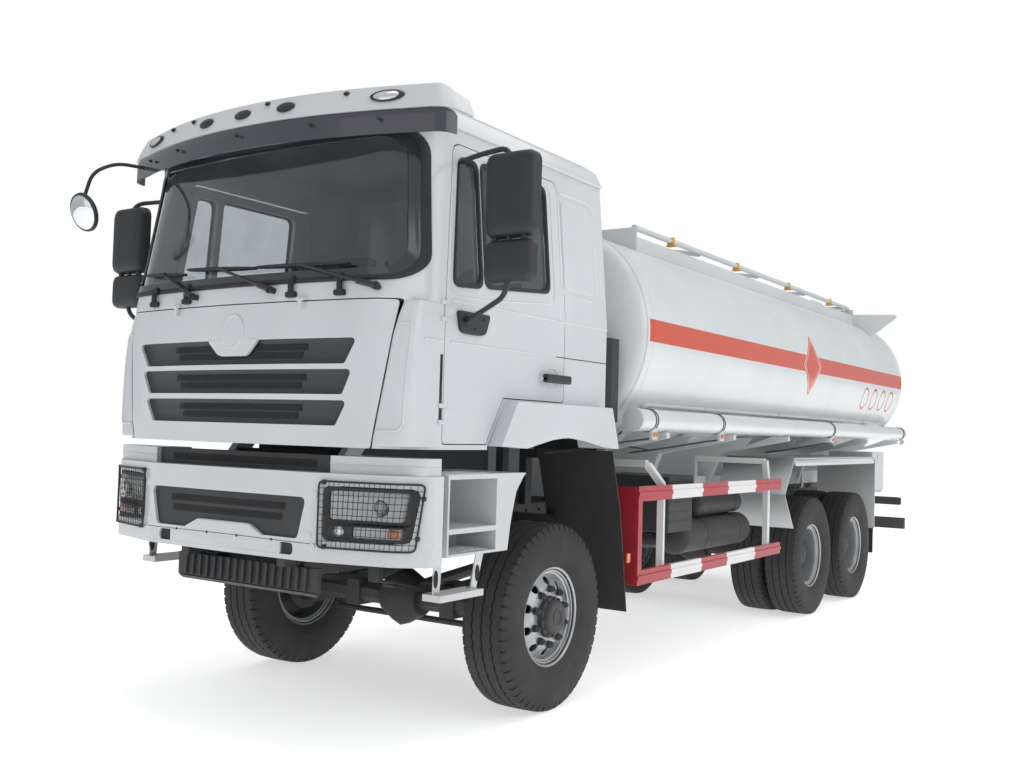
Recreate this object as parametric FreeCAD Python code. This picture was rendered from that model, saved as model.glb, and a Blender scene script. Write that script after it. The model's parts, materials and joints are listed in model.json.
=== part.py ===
import FreeCAD, Part
import math
import os

# Three-axle tanker truck with a tilting cab over the engine.
# Millimetres. X points forward, Y to the truck's left and Z up, with the ground at z = 0.
# While the pieces are made, x = 0 is at the front axle. Every piece is moved forward by
# FRONT_AXLE_X when it is written, so that the origin is at mid length on the ground.
V = FreeCAD.Vector
PARTS_FOLDER = "parts"

# Whole truck
FRONT_AXLE_X = 3225.0
WHEELBASE = 4660.0
BOGIE_SPREAD = 1400.0
FRONT_TRACK = 2030.0
REAR_TRACK = 1840.0
PIN_CLEARANCE = 0.3
SEAM = 6.0

# Wheels and tyres
TYRE_RADIUS = 562.5
TYRE_HALF_WIDTH = 157.5
TREAD_HALF_WIDTH = 136.0
BELLY_RADIUS = 430.0
BEAD_RADIUS = 280.0
BEAD_HALF_WIDTH = 108.0
FLANGE_RADIUS = 302.0
FLANGE_WIDTH = 12.0
RIM_WALL = 12.0
WHEEL_SIDES = 20
BAR_SIDES = 8
CURVE_STEPS = 4
CORNER_STEPS = 2
TWIN_OFFSET = 172.0
HAND_HOLES = 10
HAND_HOLE_CIRCLE = 205.0
HAND_HOLE_RADIUS = 24.0
DRUM_RADIUS = 200.0
HUB_RADIUS = 118.0
SPINDLE_RADIUS = 60.0

# Axles, knuckles and springs
KINGPIN_Y = 830.0
KINGPIN_RADIUS = 25.0
KNUCKLE_EYE_RADIUS = 58.0
KNUCKLE_EYE_HEIGHT = 150.0
KNUCKLE_LUG_HEIGHT = 40.0
AXLE_TUBE_RADIUS = 70.0
DIFF_RADIUS = 185.0
DIFF_HALF_WIDTH = 150.0
TIE_ROD_X = -230.0
TIE_ROD_Z = 385.0
TIE_ROD_RADIUS = 20.0
FRONT_SPRING_Y = 400.0
FRONT_SPRING_HALF_LENGTH = 780.0
REAR_SPRING_Y = 492.0
TRUNNION_RADIUS = 75.0
SPRING_WIDTH = 80.0
LEAF_THICKNESS = 16.0

# Frame
RAIL_OUTER_Y = 430.0
RAIL_BOTTOM = 870.0
RAIL_HEIGHT = 300.0
RAIL_FLANGE = 85.0
RAIL_WALL = 10.0
FRAME_FRONT = 1395.0
FRAME_REAR = -8120.0
CROSSMEMBER_HEIGHT = 170.0
CROSSMEMBER_LENGTH = 90.0
TOW_PIN_X = 1520.0
TOW_PIN_Z = 1041.0
TOW_BORE_RADIUS = 19.0
SUBFRAME_HEIGHT = 140.0
SUBFRAME_WIDTH = 80.0

# Tank
TANK_FRONT = -1060.0
TANK_REAR = -8000.0
TANK_CENTRE_Z = 2400.0
TANK_HALF_WIDTH = 1220.0
TANK_HALF_HEIGHT = 850.0
TANK_CORNER_RADIUS = 480.0
TANK_CORNER_Y = 633.0
TANK_CORNER_Z = 239.0
TANK_DISH = 175.0
TANK_DISH_CURVE = ((1.0, 0.5), (0.55, 0.86), (0.0, 1.0))
TANK_TOP_Z = TANK_CENTRE_Z + TANK_HALF_HEIGHT
MANHOLE_X = -4500.0
MANHOLE_RADIUS = 270.0
MANHOLE_NECK_HEIGHT = 80.0
MANHOLE_NECK_TOP = TANK_TOP_Z + MANHOLE_NECK_HEIGHT
MANHOLE_WALL = 12.0
LID_THICKNESS = 28.0

# Walkway on the tank and its folding handrail
COAMING_Y = 800.0
COAMING_TOP = TANK_TOP_Z - 55.0
COAMING_THICKNESS = 10.0
COAMING_FRONT = -1640.0
COAMING_REAR = -7350.0
WING_TIP_Y = 1325.0
HANDRAIL_Y = 745.0
HANDRAIL_RADIUS = 21.0
HANDRAIL_FRONT = -1710.0
HANDRAIL_REAR = -7345.0
POST_PIVOT_Z = TANK_TOP_Z - 45.0
HANDRAIL_RISE = 80.0
HANDRAIL_Z = POST_PIVOT_Z + HANDRAIL_RISE
POST_LENGTH = 700.0
FIRST_POST_X = -2350.0
POST_PITCH = 1410.0
POST_COUNT = 4

# Hose tubes along the tank
HOSE_TUBE_Y = 1165.0
HOSE_TUBE_Z = 1785.0
HOSE_TUBE_RADIUS = 82.0
HOSE_TUBE_WALL = 5.0
HOSE_TUBE_FRONT = -960.0
HOSE_TUBE_REAR = -8200.0

# Side guards
GUARD_Y = 1220.0
GUARD_FRONT = -970.0
GUARD_REAR = -3770.0
GUARD_TOP = 1325.0
GUARD_BOTTOM = 655.0
BEAM_HEIGHT = 100.0
BEAM_THICKNESS = 30.0
GUARD_POST_SIZE = 50.0

# Fenders, flaps and rear pieces
REAR_FENDER_TOP = 1508.0
REAR_FENDER_INNER_Y = 585.0
REAR_FENDER_OUTER_Y = 1245.0
FENDER_THICKNESS = 14.0
UNDERRUN_X = -8230.0
UNDERRUN_BOTTOM = 603.0
UNDERRUN_HEIGHT = 135.0
UNDERRUN_HALF_WIDTH = 1225.0
LADDER_RAIL_PLACES = (-230.0, 170.0)
FIRST_RUNG_Z = 1080.0
RUNG_PITCH = 290.0
RUNG_COUNT = 7
OUTLET_X = -7600.0
OUTLET_END = -8170.0
OUTLET_Z = 1450.0
OUTLET_RADIUS = 57.0
OUTLET_FLANGE_RADIUS = 92.0
OUTLET_BORE_RADIUS = 50.0
OUTLET_BORE_DEPTH = 120.0
LOCKER_FRONT = -6800.0
LOCKER_REAR = -7290.0
LOCKER_BOTTOM = 1114.0
LOCKER_TOP = 1560.0
LOCKER_OUTER_Y = 1190.0
LOCKER_DEPTH = 480.0
LOCKER_WALL = 12.0

# Cab
CAB_WALL = 55.0
CAB_SKIN = 18.0
CAB_REAR = -585.0
CAB_BOTTOM = 1575.0
CAB_REAR_BOTTOM = 1850.0
CAB_HALF_WIDTH = 1150.0
CAB_ROOF_HALF_WIDTH = CAB_HALF_WIDTH - 82.0
CAB_CORNER_RADIUS = 300.0
CAB_BULGE = 55.0
CAB_FRONT_BOTTOM = 1555.0
CAB_FRONT_BELLY = 1582.0
CAB_FRONT_BELT = 1560.0
CAB_FRONT_ROOF = 1422.0
BELLY_Z = 2150.0
BELT_Z = 2400.0
GUTTER_Z = 3330.0
ROOF_RISE = 145.0
DOOR_FRONT = 1160.0
DOOR_REAR = -55.0
DOOR_BOTTOM = 1600.0
DOOR_TOP = 3235.0
STEP_WELL_REAR = 745.0
LID_BOTTOM = 1575.0
LID_TOP = 2340.0
LID_TOP_HALF_WIDTH = CAB_HALF_WIDTH - 73.0
LID_BOTTOM_HALF_WIDTH = CAB_HALF_WIDTH - 196.0
LID_TOP_CORNER_X = 1444.0
LID_BOTTOM_CORNER_X = 1494.0
LID_EDGE_TAPER = 0.5
LID_SLOTS = ((2004.0, 2137.0, 789.0, 870.0), (1846.0, 1976.0, 774.0, 837.0),
             (1684.0, 1815.0, 731.0, 806.0))
INSERT_THICKNESS = 8.0
INSERT_LAP = 12.0
LID_HINGE_X = 1567.0
LID_HINGE_Z = 2343.0
LID_HINGE_PLACES = (-500.0, 500.0)
GLASS_THICKNESS = 8.0
GLASS_INSET = 14.0
TILT_PIVOT_X = 1360.0
TILT_PIVOT_Z = 1250.0
TILT_PIN_RADIUS = 22.0
DOOR_HINGE_PLACES = (1760.0, 2300.0)
SEAT_INNER_Y = 330.0
STEERING_WHEEL_Y = 560.0
STEERING_WHEEL_RADIUS = 225.0
STEERING_WHEEL_SIDES = 14

VISOR_HALF_WIDTH = CAB_HALF_WIDTH + 130.0
VISOR_RADIUS = 3190.0
VISOR_DEPTH = 30.0

# Bumper
BUMPER_FRONT = 1600.0
BUMPER_TOP = 1441.0
BUMPER_BOTTOM = 985.0
BUMPER_HALF_WIDTH = 1245.0
BUMPER_REAR = 1248.0
BUMPER_WALL = 30.0
BROW_TOP = 1530.0
LAMP_INNER_Y = 705.0
LAMP_OUTER_Y = 1165.0
LAMP_BOTTOM = 1098.0
LAMP_TOP = 1378.0

# Cab steps
STEP_FRONT = 1190.0
STEP_REAR = 738.0
STEP_INNER_Y = 880.0
STEP_OUTER_Y = 1230.0
STEP_TOP = 1448.0
STEP_BOTTOM = 1022.0
STEP_WALL = 14.0
DROP_STEP_Z = 800.0

REAR_AXLES = (-WHEELBASE, -WHEELBASE - BOGIE_SPREAD)
SIDES = (("left", 1.0), ("right", -1.0))


# General shapes
def box(x0, x1, y0, y1, z0, z1):
    """Box between two corners, in any order."""
    low = V(min(x0, x1), min(y0, y1), min(z0, z1))
    return Part.makeBox(abs(x1 - x0), abs(y1 - y0), abs(z1 - z0), low)


def pin(start, end, radius):
    """True cylinder from one point to another, for pins, spindles and their bores."""
    a = V(*start)
    b = V(*end)
    return Part.makeCylinder(radius, (b - a).Length, a, b - a)


def rod(start, end, radius, sides=BAR_SIDES, inside=False):
    """Bar from one point to another, round but for its flat sides.

    The flats touch the stated radius, or with inside the edges do, so that it turns in a flat-sided bore.
    """
    a = V(*start)
    axis = V(*end) - a
    up = V(0, 0, 1) if abs(axis.z) < 0.9 * axis.Length else V(1, 0, 0)
    across = axis.cross(up).normalize()
    other = across.cross(axis).normalize()
    reach = radius if inside else radius / math.cos(math.pi / sides)
    corners = []
    for i in range(sides):
        angle = 2.0 * math.pi * (i + 0.5) / sides
        corners.append(a + across * (reach * math.cos(angle)) + other * (reach * math.sin(angle)))
    return Part.Face(Part.makePolygon(corners + corners[:1])).extrude(axis)


def fuse(shapes):
    """One solid from pieces that touch or overlap."""
    shapes = list(shapes)
    return shapes[0].multiFuse(shapes[1:]).removeSplitter()


def rounded_points(points, radii):
    """Corners of a closed outline, each rounded to its own radius by short chords."""
    count = len(points)
    corners = [V(*p) for p in points]
    if not isinstance(radii, (list, tuple)):
        radii = [radii] * count
    path = []
    for i in range(count):
        corner = corners[i]
        before = (corners[i - 1] - corner).normalize()
        after = (corners[(i + 1) % count] - corner).normalize()
        half = 0.5 * before.getAngle(after)
        if radii[i] <= 0 or abs(half - 0.5 * math.pi) < 1e-6:
            path.append(corner)
            continue
        centre = corner + (before + after).normalize() * (radii[i] / math.sin(half))
        start = corner + before * (radii[i] / math.tan(half)) - centre
        normal = before.cross(after)
        sweep = math.pi - 2 * half
        for step in range(CORNER_STEPS + 1):
            turn = FreeCAD.Rotation(normal, -math.degrees(sweep * step / CORNER_STEPS))
            path.append(centre + turn.multVec(start))
    return path


def apart(shapes):
    """The shapes as separate solids that touch: each gives way to those before it."""
    kept = []
    for shape in shapes:
        near = [other for other in kept if other.BoundBox.intersect(shape.BoundBox)]
        kept.append(shape.cut(near) if near else shape)
    return kept


def rounded_wire(points, radii):
    """Closed wire through points, with its corners rounded by short chords."""
    path = rounded_points(points, radii)
    return Part.makePolygon(path + path[:1])


def plate_xz(points, y0, y1, radii=0.0):
    """Plate with its outline in X and Z, from y0 to y1."""
    wire = rounded_wire([(x, y0, z) for x, z in points], radii)
    return Part.Face(wire).extrude(V(0, y1 - y0, 0))


def plate_yz(points, x0, x1, radii=0.0):
    """Plate with its outline in Y and Z, from x0 to x1."""
    wire = rounded_wire([(x0, y, z) for y, z in points], radii)
    return Part.Face(wire).extrude(V(x1 - x0, 0, 0))


def plate_xy(points, z0, z1, radii=0.0):
    """Plate with its outline in X and Y, from z0 to z1."""
    wire = rounded_wire([(x, y, z0) for x, y in points], radii)
    return Part.Face(wire).extrude(V(0, 0, z1 - z0))


def rect(u0, u1, v0, v1):
    """Corners of a rectangle, for the plate functions."""
    return [(u0, v0), (u1, v0), (u1, v1), (u0, v1)]


def tube_path(points, radius, sides=8):
    """Tube with flat sides whose straight runs meet in mitred corners."""
    path = Part.makePolygon([V(*p) for p in points])
    start = V(*points[0])
    axis = (V(*points[1]) - start).normalize()
    up = V(0, 0, 1) if abs(axis.z) < 0.9 else V(1, 0, 0)
    across = axis.cross(up).normalize()
    other = across.cross(axis).normalize()
    reach = radius / math.cos(math.pi / sides)
    corners = []
    for i in range(sides):
        angle = 2.0 * math.pi * (i + 0.5) / sides
        corners.append(start + across * (reach * math.cos(angle)) + other * (reach * math.sin(angle)))
    return path.makePipeShell([Part.makePolygon(corners + corners[:1])], True, False, 1)


def bar_path(points, width, depth, side):
    """Flat bar whose straight runs meet in mitred corners; side is its width's direction."""
    path = Part.makePolygon([V(*p) for p in points])
    start = V(*points[0])
    along = (V(*points[1]) - start).normalize()
    across = V(*side).normalize()
    up = along.cross(across).normalize()
    w = across * (width / 2)
    d = up * (depth / 2)
    profile = Part.makePolygon([start - w - d, start + w - d, start + w + d, start - w + d, start - w - d])
    return path.makePipeShell([profile], True, False, 1)


def mirrored(shape):
    """The same shape on the truck's other side."""
    return shape.mirror(V(0, 0, 0), V(0, 1, 0))


def on_side(shape, sign):
    """A left-hand shape, or its mirror image for the right."""
    return shape if sign > 0 else mirrored(shape)


def both(shape):
    """A left-hand shape and its mirror image, as separate solids."""
    return [shape, mirrored(shape)]


def closed_solid(faces):
    """Solid from flat faces that close, turned the right way out."""
    solid = Part.Solid(Part.makeShell(faces))
    if solid.Volume < 0:
        solid.reverse()
    return solid


def polygon_face(corners):
    """Flat face through corners in order."""
    return Part.Face(Part.makePolygon(corners + corners[:1]))


def stacked(rings):
    """Solid through closed rings of as many corners each, with flat walls between them."""
    faces = [polygon_face(rings[0]), polygon_face(rings[-1])]
    for lower, upper in zip(rings, rings[1:]):
        count = len(lower)
        for i in range(count):
            j = (i + 1) % count
            if (lower[i] - lower[j]).Length < 1e-6 and (upper[i] - upper[j]).Length < 1e-6:
                continue
            faces.append(polygon_face([lower[i], lower[j], upper[j], upper[i]]))
    return closed_solid(faces)


def arc_points(centre, radius, first_deg, last_deg, steps):
    """Points (u, v) along an arc, ends included."""
    points = []
    for i in range(steps + 1):
        angle = math.radians(first_deg + (last_deg - first_deg) * i / steps)
        points.append((centre[0] + radius * math.cos(angle), centre[1] + radius * math.sin(angle)))
    return points


def turned(profile, sides=WHEEL_SIDES):
    """Solid about the Y axis from a closed profile of (radius, y), on a ring of flat sides.

    The flats touch the stated radius, so a wheel stands on one of them.
    """
    spread = 1.0 / math.cos(math.pi / sides)
    faces = []
    for i in range(sides):
        first = 2.0 * math.pi * (i + 0.5) / sides
        second = 2.0 * math.pi * (i + 1.5) / sides
        for j, (r0, y0) in enumerate(profile):
            r1, y1 = profile[(j + 1) % len(profile)]
            corners = []
            for radius, y, angle in ((r0, y0, first), (r1, y1, first), (r1, y1, second), (r0, y0, second)):
                reach = radius * spread
                corner = V(reach * math.sin(angle), y, -reach * math.cos(angle))
                if not corners or (corner - corners[-1]).Length > 1e-6:
                    corners.append(corner)
            if (corners[0] - corners[-1]).Length < 1e-6:
                corners.pop()
            if len(corners) > 2:
                faces.append(polygon_face(corners))
    return closed_solid(faces).removeSplitter()


def write(name, *shapes):
    """Write one node, moved from the front axle's frame to the truck's own."""
    solids = []
    for shape in shapes:
        solids.extend(shape.Solids)
    node = Part.makeCompound(solids)
    node.translate(V(FRONT_AXLE_X, 0, 0))
    node.exportStep(os.path.join(PARTS_FOLDER, name + ".step"))


# Wheels
def tyre(centre_y):
    """One tyre about the Y axis: tread, bellied walls and bore."""
    half = [(BEAD_RADIUS, BEAD_HALF_WIDTH), (BELLY_RADIUS, TYRE_HALF_WIDTH), (TYRE_RADIUS, TREAD_HALF_WIDTH)]
    profile = [(r, centre_y + y) for r, y in half]
    profile += [(r, centre_y - y) for r, y in reversed(half)]
    return turned(profile)


def hand_holes(circle, radius, y0, y1):
    """Oval hand holes round a wheel disc, as cutters along Y."""
    cutters = []
    for i in range(HAND_HOLES):
        angle = 360.0 * (i + 0.5) / HAND_HOLES
        points = [(-1.5 * radius, circle), (-0.8 * radius, circle - radius), (0.8 * radius, circle - radius),
                  (1.5 * radius, circle), (0.8 * radius, circle + radius), (-0.8 * radius, circle + radius)]
        hole = plate_xz(points, y0, y1)
        hole.rotate(V(0, 0, 0), V(0, 1, 0), angle)
        cutters.append(hole)
    return cutters


def front_rim():
    """Front rim about the Y axis, y outboard: domed disc, planetary hub and brake drum in one."""
    edge = BEAD_HALF_WIDTH
    tip = edge + FLANGE_WIDTH
    inside = BEAD_RADIUS - RIM_WALL
    profile = [
        (0.0, 178.0), (HUB_RADIUS, 172.0), (HUB_RADIUS + 8, 92.0), (inside, 54.0), (inside, tip),
        (FLANGE_RADIUS, tip), (BEAD_RADIUS, edge), (BEAD_RADIUS, -edge), (inside, -edge),
        (inside, 36.0), (DRUM_RADIUS, 60.0), (DRUM_RADIUS, -86.0), (0.0, -86.0),
    ]
    rim = turned(profile)
    holes = hand_holes(HAND_HOLE_CIRCLE + 25, HAND_HOLE_RADIUS * 0.8, 20.0, 110.0)
    spindle_bore = pin((0, -90.0, 0), (0, 60.0, 0), SPINDLE_RADIUS + PIN_CLEARANCE)
    return rim.cut([spindle_bore] + holes)


def rear_rims():
    """Twin rims about the Y axis, bolted back to back, with their hub and brake drum."""
    edge = TWIN_OFFSET + BEAD_HALF_WIDTH
    tip = edge + FLANGE_WIDTH
    inside = BEAD_RADIUS - RIM_WALL
    drum = DRUM_RADIUS - 14
    profile = [
        (0.0, 232.0), (HUB_RADIUS, 226.0), (HUB_RADIUS + 8, 26.0), (inside, 84.0), (inside, tip),
        (FLANGE_RADIUS, tip), (BEAD_RADIUS, edge), (BEAD_RADIUS, -edge), (inside, -edge),
        (inside, -84.0), (drum, -26.0), (drum, -240.0), (0.0, -240.0),
    ]
    rims = turned(profile)
    spindle_bore = pin((0, -245.0, 0), (0, 60.0, 0), SPINDLE_RADIUS + PIN_CLEARANCE)
    holes = hand_holes(HAND_HOLE_CIRCLE + 15, HAND_HOLE_RADIUS * 0.85, -90.0, 90.0)
    return rims.cut([spindle_bore] + holes)


def make_wheels():
    """Two steered wheels and four twin wheel sets."""
    single_tyre = tyre(0.0)
    single_rim = front_rim()
    twin_tyres = [tyre(TWIN_OFFSET), tyre(-TWIN_OFFSET)]
    twin_rims = rear_rims()
    places = [("front", 0.0, FRONT_TRACK / 2, [single_tyre], single_rim)]
    for label, x in zip(("mid", "rear"), REAR_AXLES):
        places.append((label, x, REAR_TRACK / 2, twin_tyres, twin_rims))
    for label, x, y, tyres, rim in places:
        for side, sign in SIDES:
            at = V(x, sign * y, TYRE_RADIUS)
            placed = [on_side(piece, sign).translated(at) for piece in tyres]
            write("tyre_" + label + "_" + side, *placed)
            write("rim_" + label + "_" + side, on_side(rim, sign).translated(at))


# Axles, knuckles, steering and springs
def axle_housing(x, half_length):
    """Axle tube with its round final-drive bulge and cover."""
    z = TYRE_RADIUS
    tube = rod((x, -half_length, z), (x, half_length, z), AXLE_TUBE_RADIUS)
    slope = DIFF_HALF_WIDTH / 2
    profile = [(0.0, -DIFF_HALF_WIDTH), (DIFF_RADIUS - slope, -DIFF_HALF_WIDTH), (DIFF_RADIUS, 0.0),
               (DIFF_RADIUS - slope, DIFF_HALF_WIDTH), (0.0, DIFF_HALF_WIDTH)]
    bulge = turned(profile, 12).translated(V(x, 0, z))
    return tube, bulge


def make_front_axle():
    """Driven front axle: housing, kingpin eyes and spring pads."""
    z = TYRE_RADIUS
    tube, bulge = axle_housing(0.0, KINGPIN_Y - KNUCKLE_EYE_RADIUS + 10.0)
    pieces = [tube, bulge]
    half = KNUCKLE_EYE_HEIGHT / 2
    for sign in (1.0, -1.0):
        y = sign * KINGPIN_Y
        pieces.append(rod((0, y, z - half), (0, y, z + half), KNUCKLE_EYE_RADIUS))
        pad_z = z + AXLE_TUBE_RADIUS
        wide = SPRING_WIDTH / 2 + 15
        pieces.append(box(-85, 85, sign * (FRONT_SPRING_Y - wide), sign * (FRONT_SPRING_Y + wide),
                          z - AXLE_TUBE_RADIUS - 20, pad_z + 12))
    axle = fuse(pieces)
    bores = []
    for sign in (1.0, -1.0):
        y = sign * KINGPIN_Y
        bores.append(pin((0, y, z - half - 1), (0, y, z + half + 1), KINGPIN_RADIUS + PIN_CLEARANCE))
    write("front_axle", axle.cut(bores))


def make_knuckles():
    """Steering knuckles: lugs and kingpin, spindle, brake plate and track rod arm."""
    z = TYRE_RADIUS
    half = KNUCKLE_EYE_HEIGHT / 2
    y = KINGPIN_Y
    web_inner = y + KNUCKLE_EYE_RADIUS + 6.0
    web_outer = web_inner + 22.0
    reach = half + KNUCKLE_LUG_HEIGHT
    pieces = [pin((0, y, z - reach), (0, y, z + reach), KINGPIN_RADIUS)]
    for low, high in ((half + PIN_CLEARANCE, reach), (-reach, -half - PIN_CLEARANCE)):
        lug = rod((0, y, z + low), (0, y, z + high), KNUCKLE_EYE_RADIUS)
        bridge = box(-KNUCKLE_EYE_RADIUS, KNUCKLE_EYE_RADIUS, y, web_outer, z + low, z + high)
        pieces += [lug, bridge]
    pieces.append(box(-KNUCKLE_EYE_RADIUS, KNUCKLE_EYE_RADIUS, web_inner, web_outer, z - reach, z + reach))
    pieces.append(rod((0, web_outer - 4, z), (0, web_outer + 10.0, z), DRUM_RADIUS - 20, 12))
    pieces.append(pin((0, web_inner + 4, z), (0, FRONT_TRACK / 2 + 50.0, z), SPINDLE_RADIUS))
    arm_z = z - reach + 12.0
    arm = plate_xy([(0, y - 30), (0, y + 30), (TIE_ROD_X, y + 22), (TIE_ROD_X - 24, y),
                    (TIE_ROD_X, y - 22)], arm_z - 12, arm_z + 12)
    pieces.append(arm)
    pieces.append(pin((TIE_ROD_X, y, TIE_ROD_Z), (TIE_ROD_X, y, arm_z), 12.0))
    knuckle = fuse(pieces)
    for side, sign in SIDES:
        write("knuckle_" + side, on_side(knuckle, sign))


def make_tie_rod():
    """Track rod with an eye round each knuckle arm's ball pin."""
    ends = []
    for sign in (1.0, -1.0):
        y = sign * KINGPIN_Y
        ends.append(rod((TIE_ROD_X, y, TIE_ROD_Z - 14), (TIE_ROD_X, y, TIE_ROD_Z + 26), 26.0))
    bar = rod((TIE_ROD_X, -KINGPIN_Y, TIE_ROD_Z), (TIE_ROD_X, KINGPIN_Y, TIE_ROD_Z), TIE_ROD_RADIUS)
    pin_holes = []
    for sign in (1.0, -1.0):
        y = sign * KINGPIN_Y
        pin_holes.append(pin((TIE_ROD_X, y, TIE_ROD_Z - PIN_CLEARANCE), (TIE_ROD_X, y, TIE_ROD_Z + 30),
                             12.0 + PIN_CLEARANCE))
    write("tie_rod", fuse([bar] + ends).cut(pin_holes))


def make_rear_axles():
    """Two driven rear axles with spindles inside their hubs, joined by torque arms to the trunnion."""
    z = TYRE_RADIUS
    shapes = []
    for x in REAR_AXLES:
        hub_inner = REAR_TRACK / 2 - 250.0
        tube, bulge = axle_housing(x, hub_inner)
        spindle = pin((x, -REAR_TRACK / 2 - 50, z), (x, REAR_TRACK / 2 + 50, z), SPINDLE_RADIUS)
        pads = []
        for sign in (1.0, -1.0):
            wide = SPRING_WIDTH / 2 + 6
            pads.append(box(x - 90, x + 90, sign * (REAR_SPRING_Y - wide), sign * (REAR_SPRING_Y + wide),
                            z + 20, z + AXLE_TUBE_RADIUS + 16))
        shapes.append(fuse([tube, bulge, spindle] + pads))
    write("rear_axles", *shapes)


def leaf_pack(centre_x, half_length, low_z, high_z, leaves, y):
    """Pack of bent leaves, each shorter than the one before it.

    low_z is the first leaf's mid-length underside and high_z its ends' underside.
    """
    strips = []
    for i in range(leaves):
        reach = half_length * (1.0 - 0.15 * i)
        offset = -i * LEAF_THICKNESS if high_z > low_z else i * LEAF_THICKNESS
        lower = []
        for step in range(-2, 3):
            x = reach * step / 2
            lower.append((centre_x + x, low_z + (high_z - low_z) * (x / half_length) ** 2 + offset))
        upper = [(x, z + LEAF_THICKNESS) for x, z in reversed(lower)]
        strips.append(plate_xz(lower + upper, y - SPRING_WIDTH / 2, y + SPRING_WIDTH / 2))
    return strips


def make_springs():
    """Leaf springs: front pair under the rails, rear pair over the bogie trunnion."""
    z = TYRE_RADIUS
    shapes = []
    front_seat = z + AXLE_TUBE_RADIUS + 12.0
    leaves = 2
    base = front_seat + (leaves - 1) * LEAF_THICKNESS
    end_z = RAIL_BOTTOM - 90.0
    strips = leaf_pack(0.0, FRONT_SPRING_HALF_LENGTH, base, end_z, leaves, FRONT_SPRING_Y)
    clamp = box(-70, 70, FRONT_SPRING_Y - SPRING_WIDTH / 2 - 8, FRONT_SPRING_Y + SPRING_WIDTH / 2 + 8,
                front_seat, base + LEAF_THICKNESS + 22)
    eyes = []
    for sign in (1.0, -1.0):
        x = sign * (FRONT_SPRING_HALF_LENGTH - 4)
        eyes.append(box(x - 22, x + 22, FRONT_SPRING_Y - SPRING_WIDTH / 2, FRONT_SPRING_Y + SPRING_WIDTH / 2,
                        end_z - 4, RAIL_BOTTOM))
    shapes += both(fuse(strips + [clamp] + eyes))
    mid_x = 0.5 * sum(REAR_AXLES)
    seat = z + AXLE_TUBE_RADIUS + 16.0
    peak = seat + 110.0
    strips = leaf_pack(mid_x, BOGIE_SPREAD / 2 + 60, peak, seat, 3, REAR_SPRING_Y)
    clamp = box(mid_x - 95, mid_x + 95, REAR_SPRING_Y - SPRING_WIDTH / 2 - 6,
                REAR_SPRING_Y + SPRING_WIDTH / 2 + 6, peak - 60, peak + 3 * LEAF_THICKNESS + 20)
    trunnion = rod((mid_x, RAIL_OUTER_Y - 60, seat), (mid_x, REAR_SPRING_Y + 46, seat), TRUNNION_RADIUS)
    shapes += both(fuse(strips + [clamp, trunnion]))
    write("leaf_springs", *shapes)


# Frame
def rail():
    """Left frame rail: a channel that opens inward."""
    outer = box(FRAME_REAR, FRAME_FRONT, RAIL_OUTER_Y - RAIL_FLANGE, RAIL_OUTER_Y,
                RAIL_BOTTOM, RAIL_BOTTOM + RAIL_HEIGHT)
    hollow = box(FRAME_REAR - 1, FRAME_FRONT + 1, RAIL_OUTER_Y - RAIL_FLANGE - 1, RAIL_OUTER_Y - RAIL_WALL,
                 RAIL_BOTTOM + RAIL_WALL, RAIL_BOTTOM + RAIL_HEIGHT - RAIL_WALL)
    return outer.cut(hollow)


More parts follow.
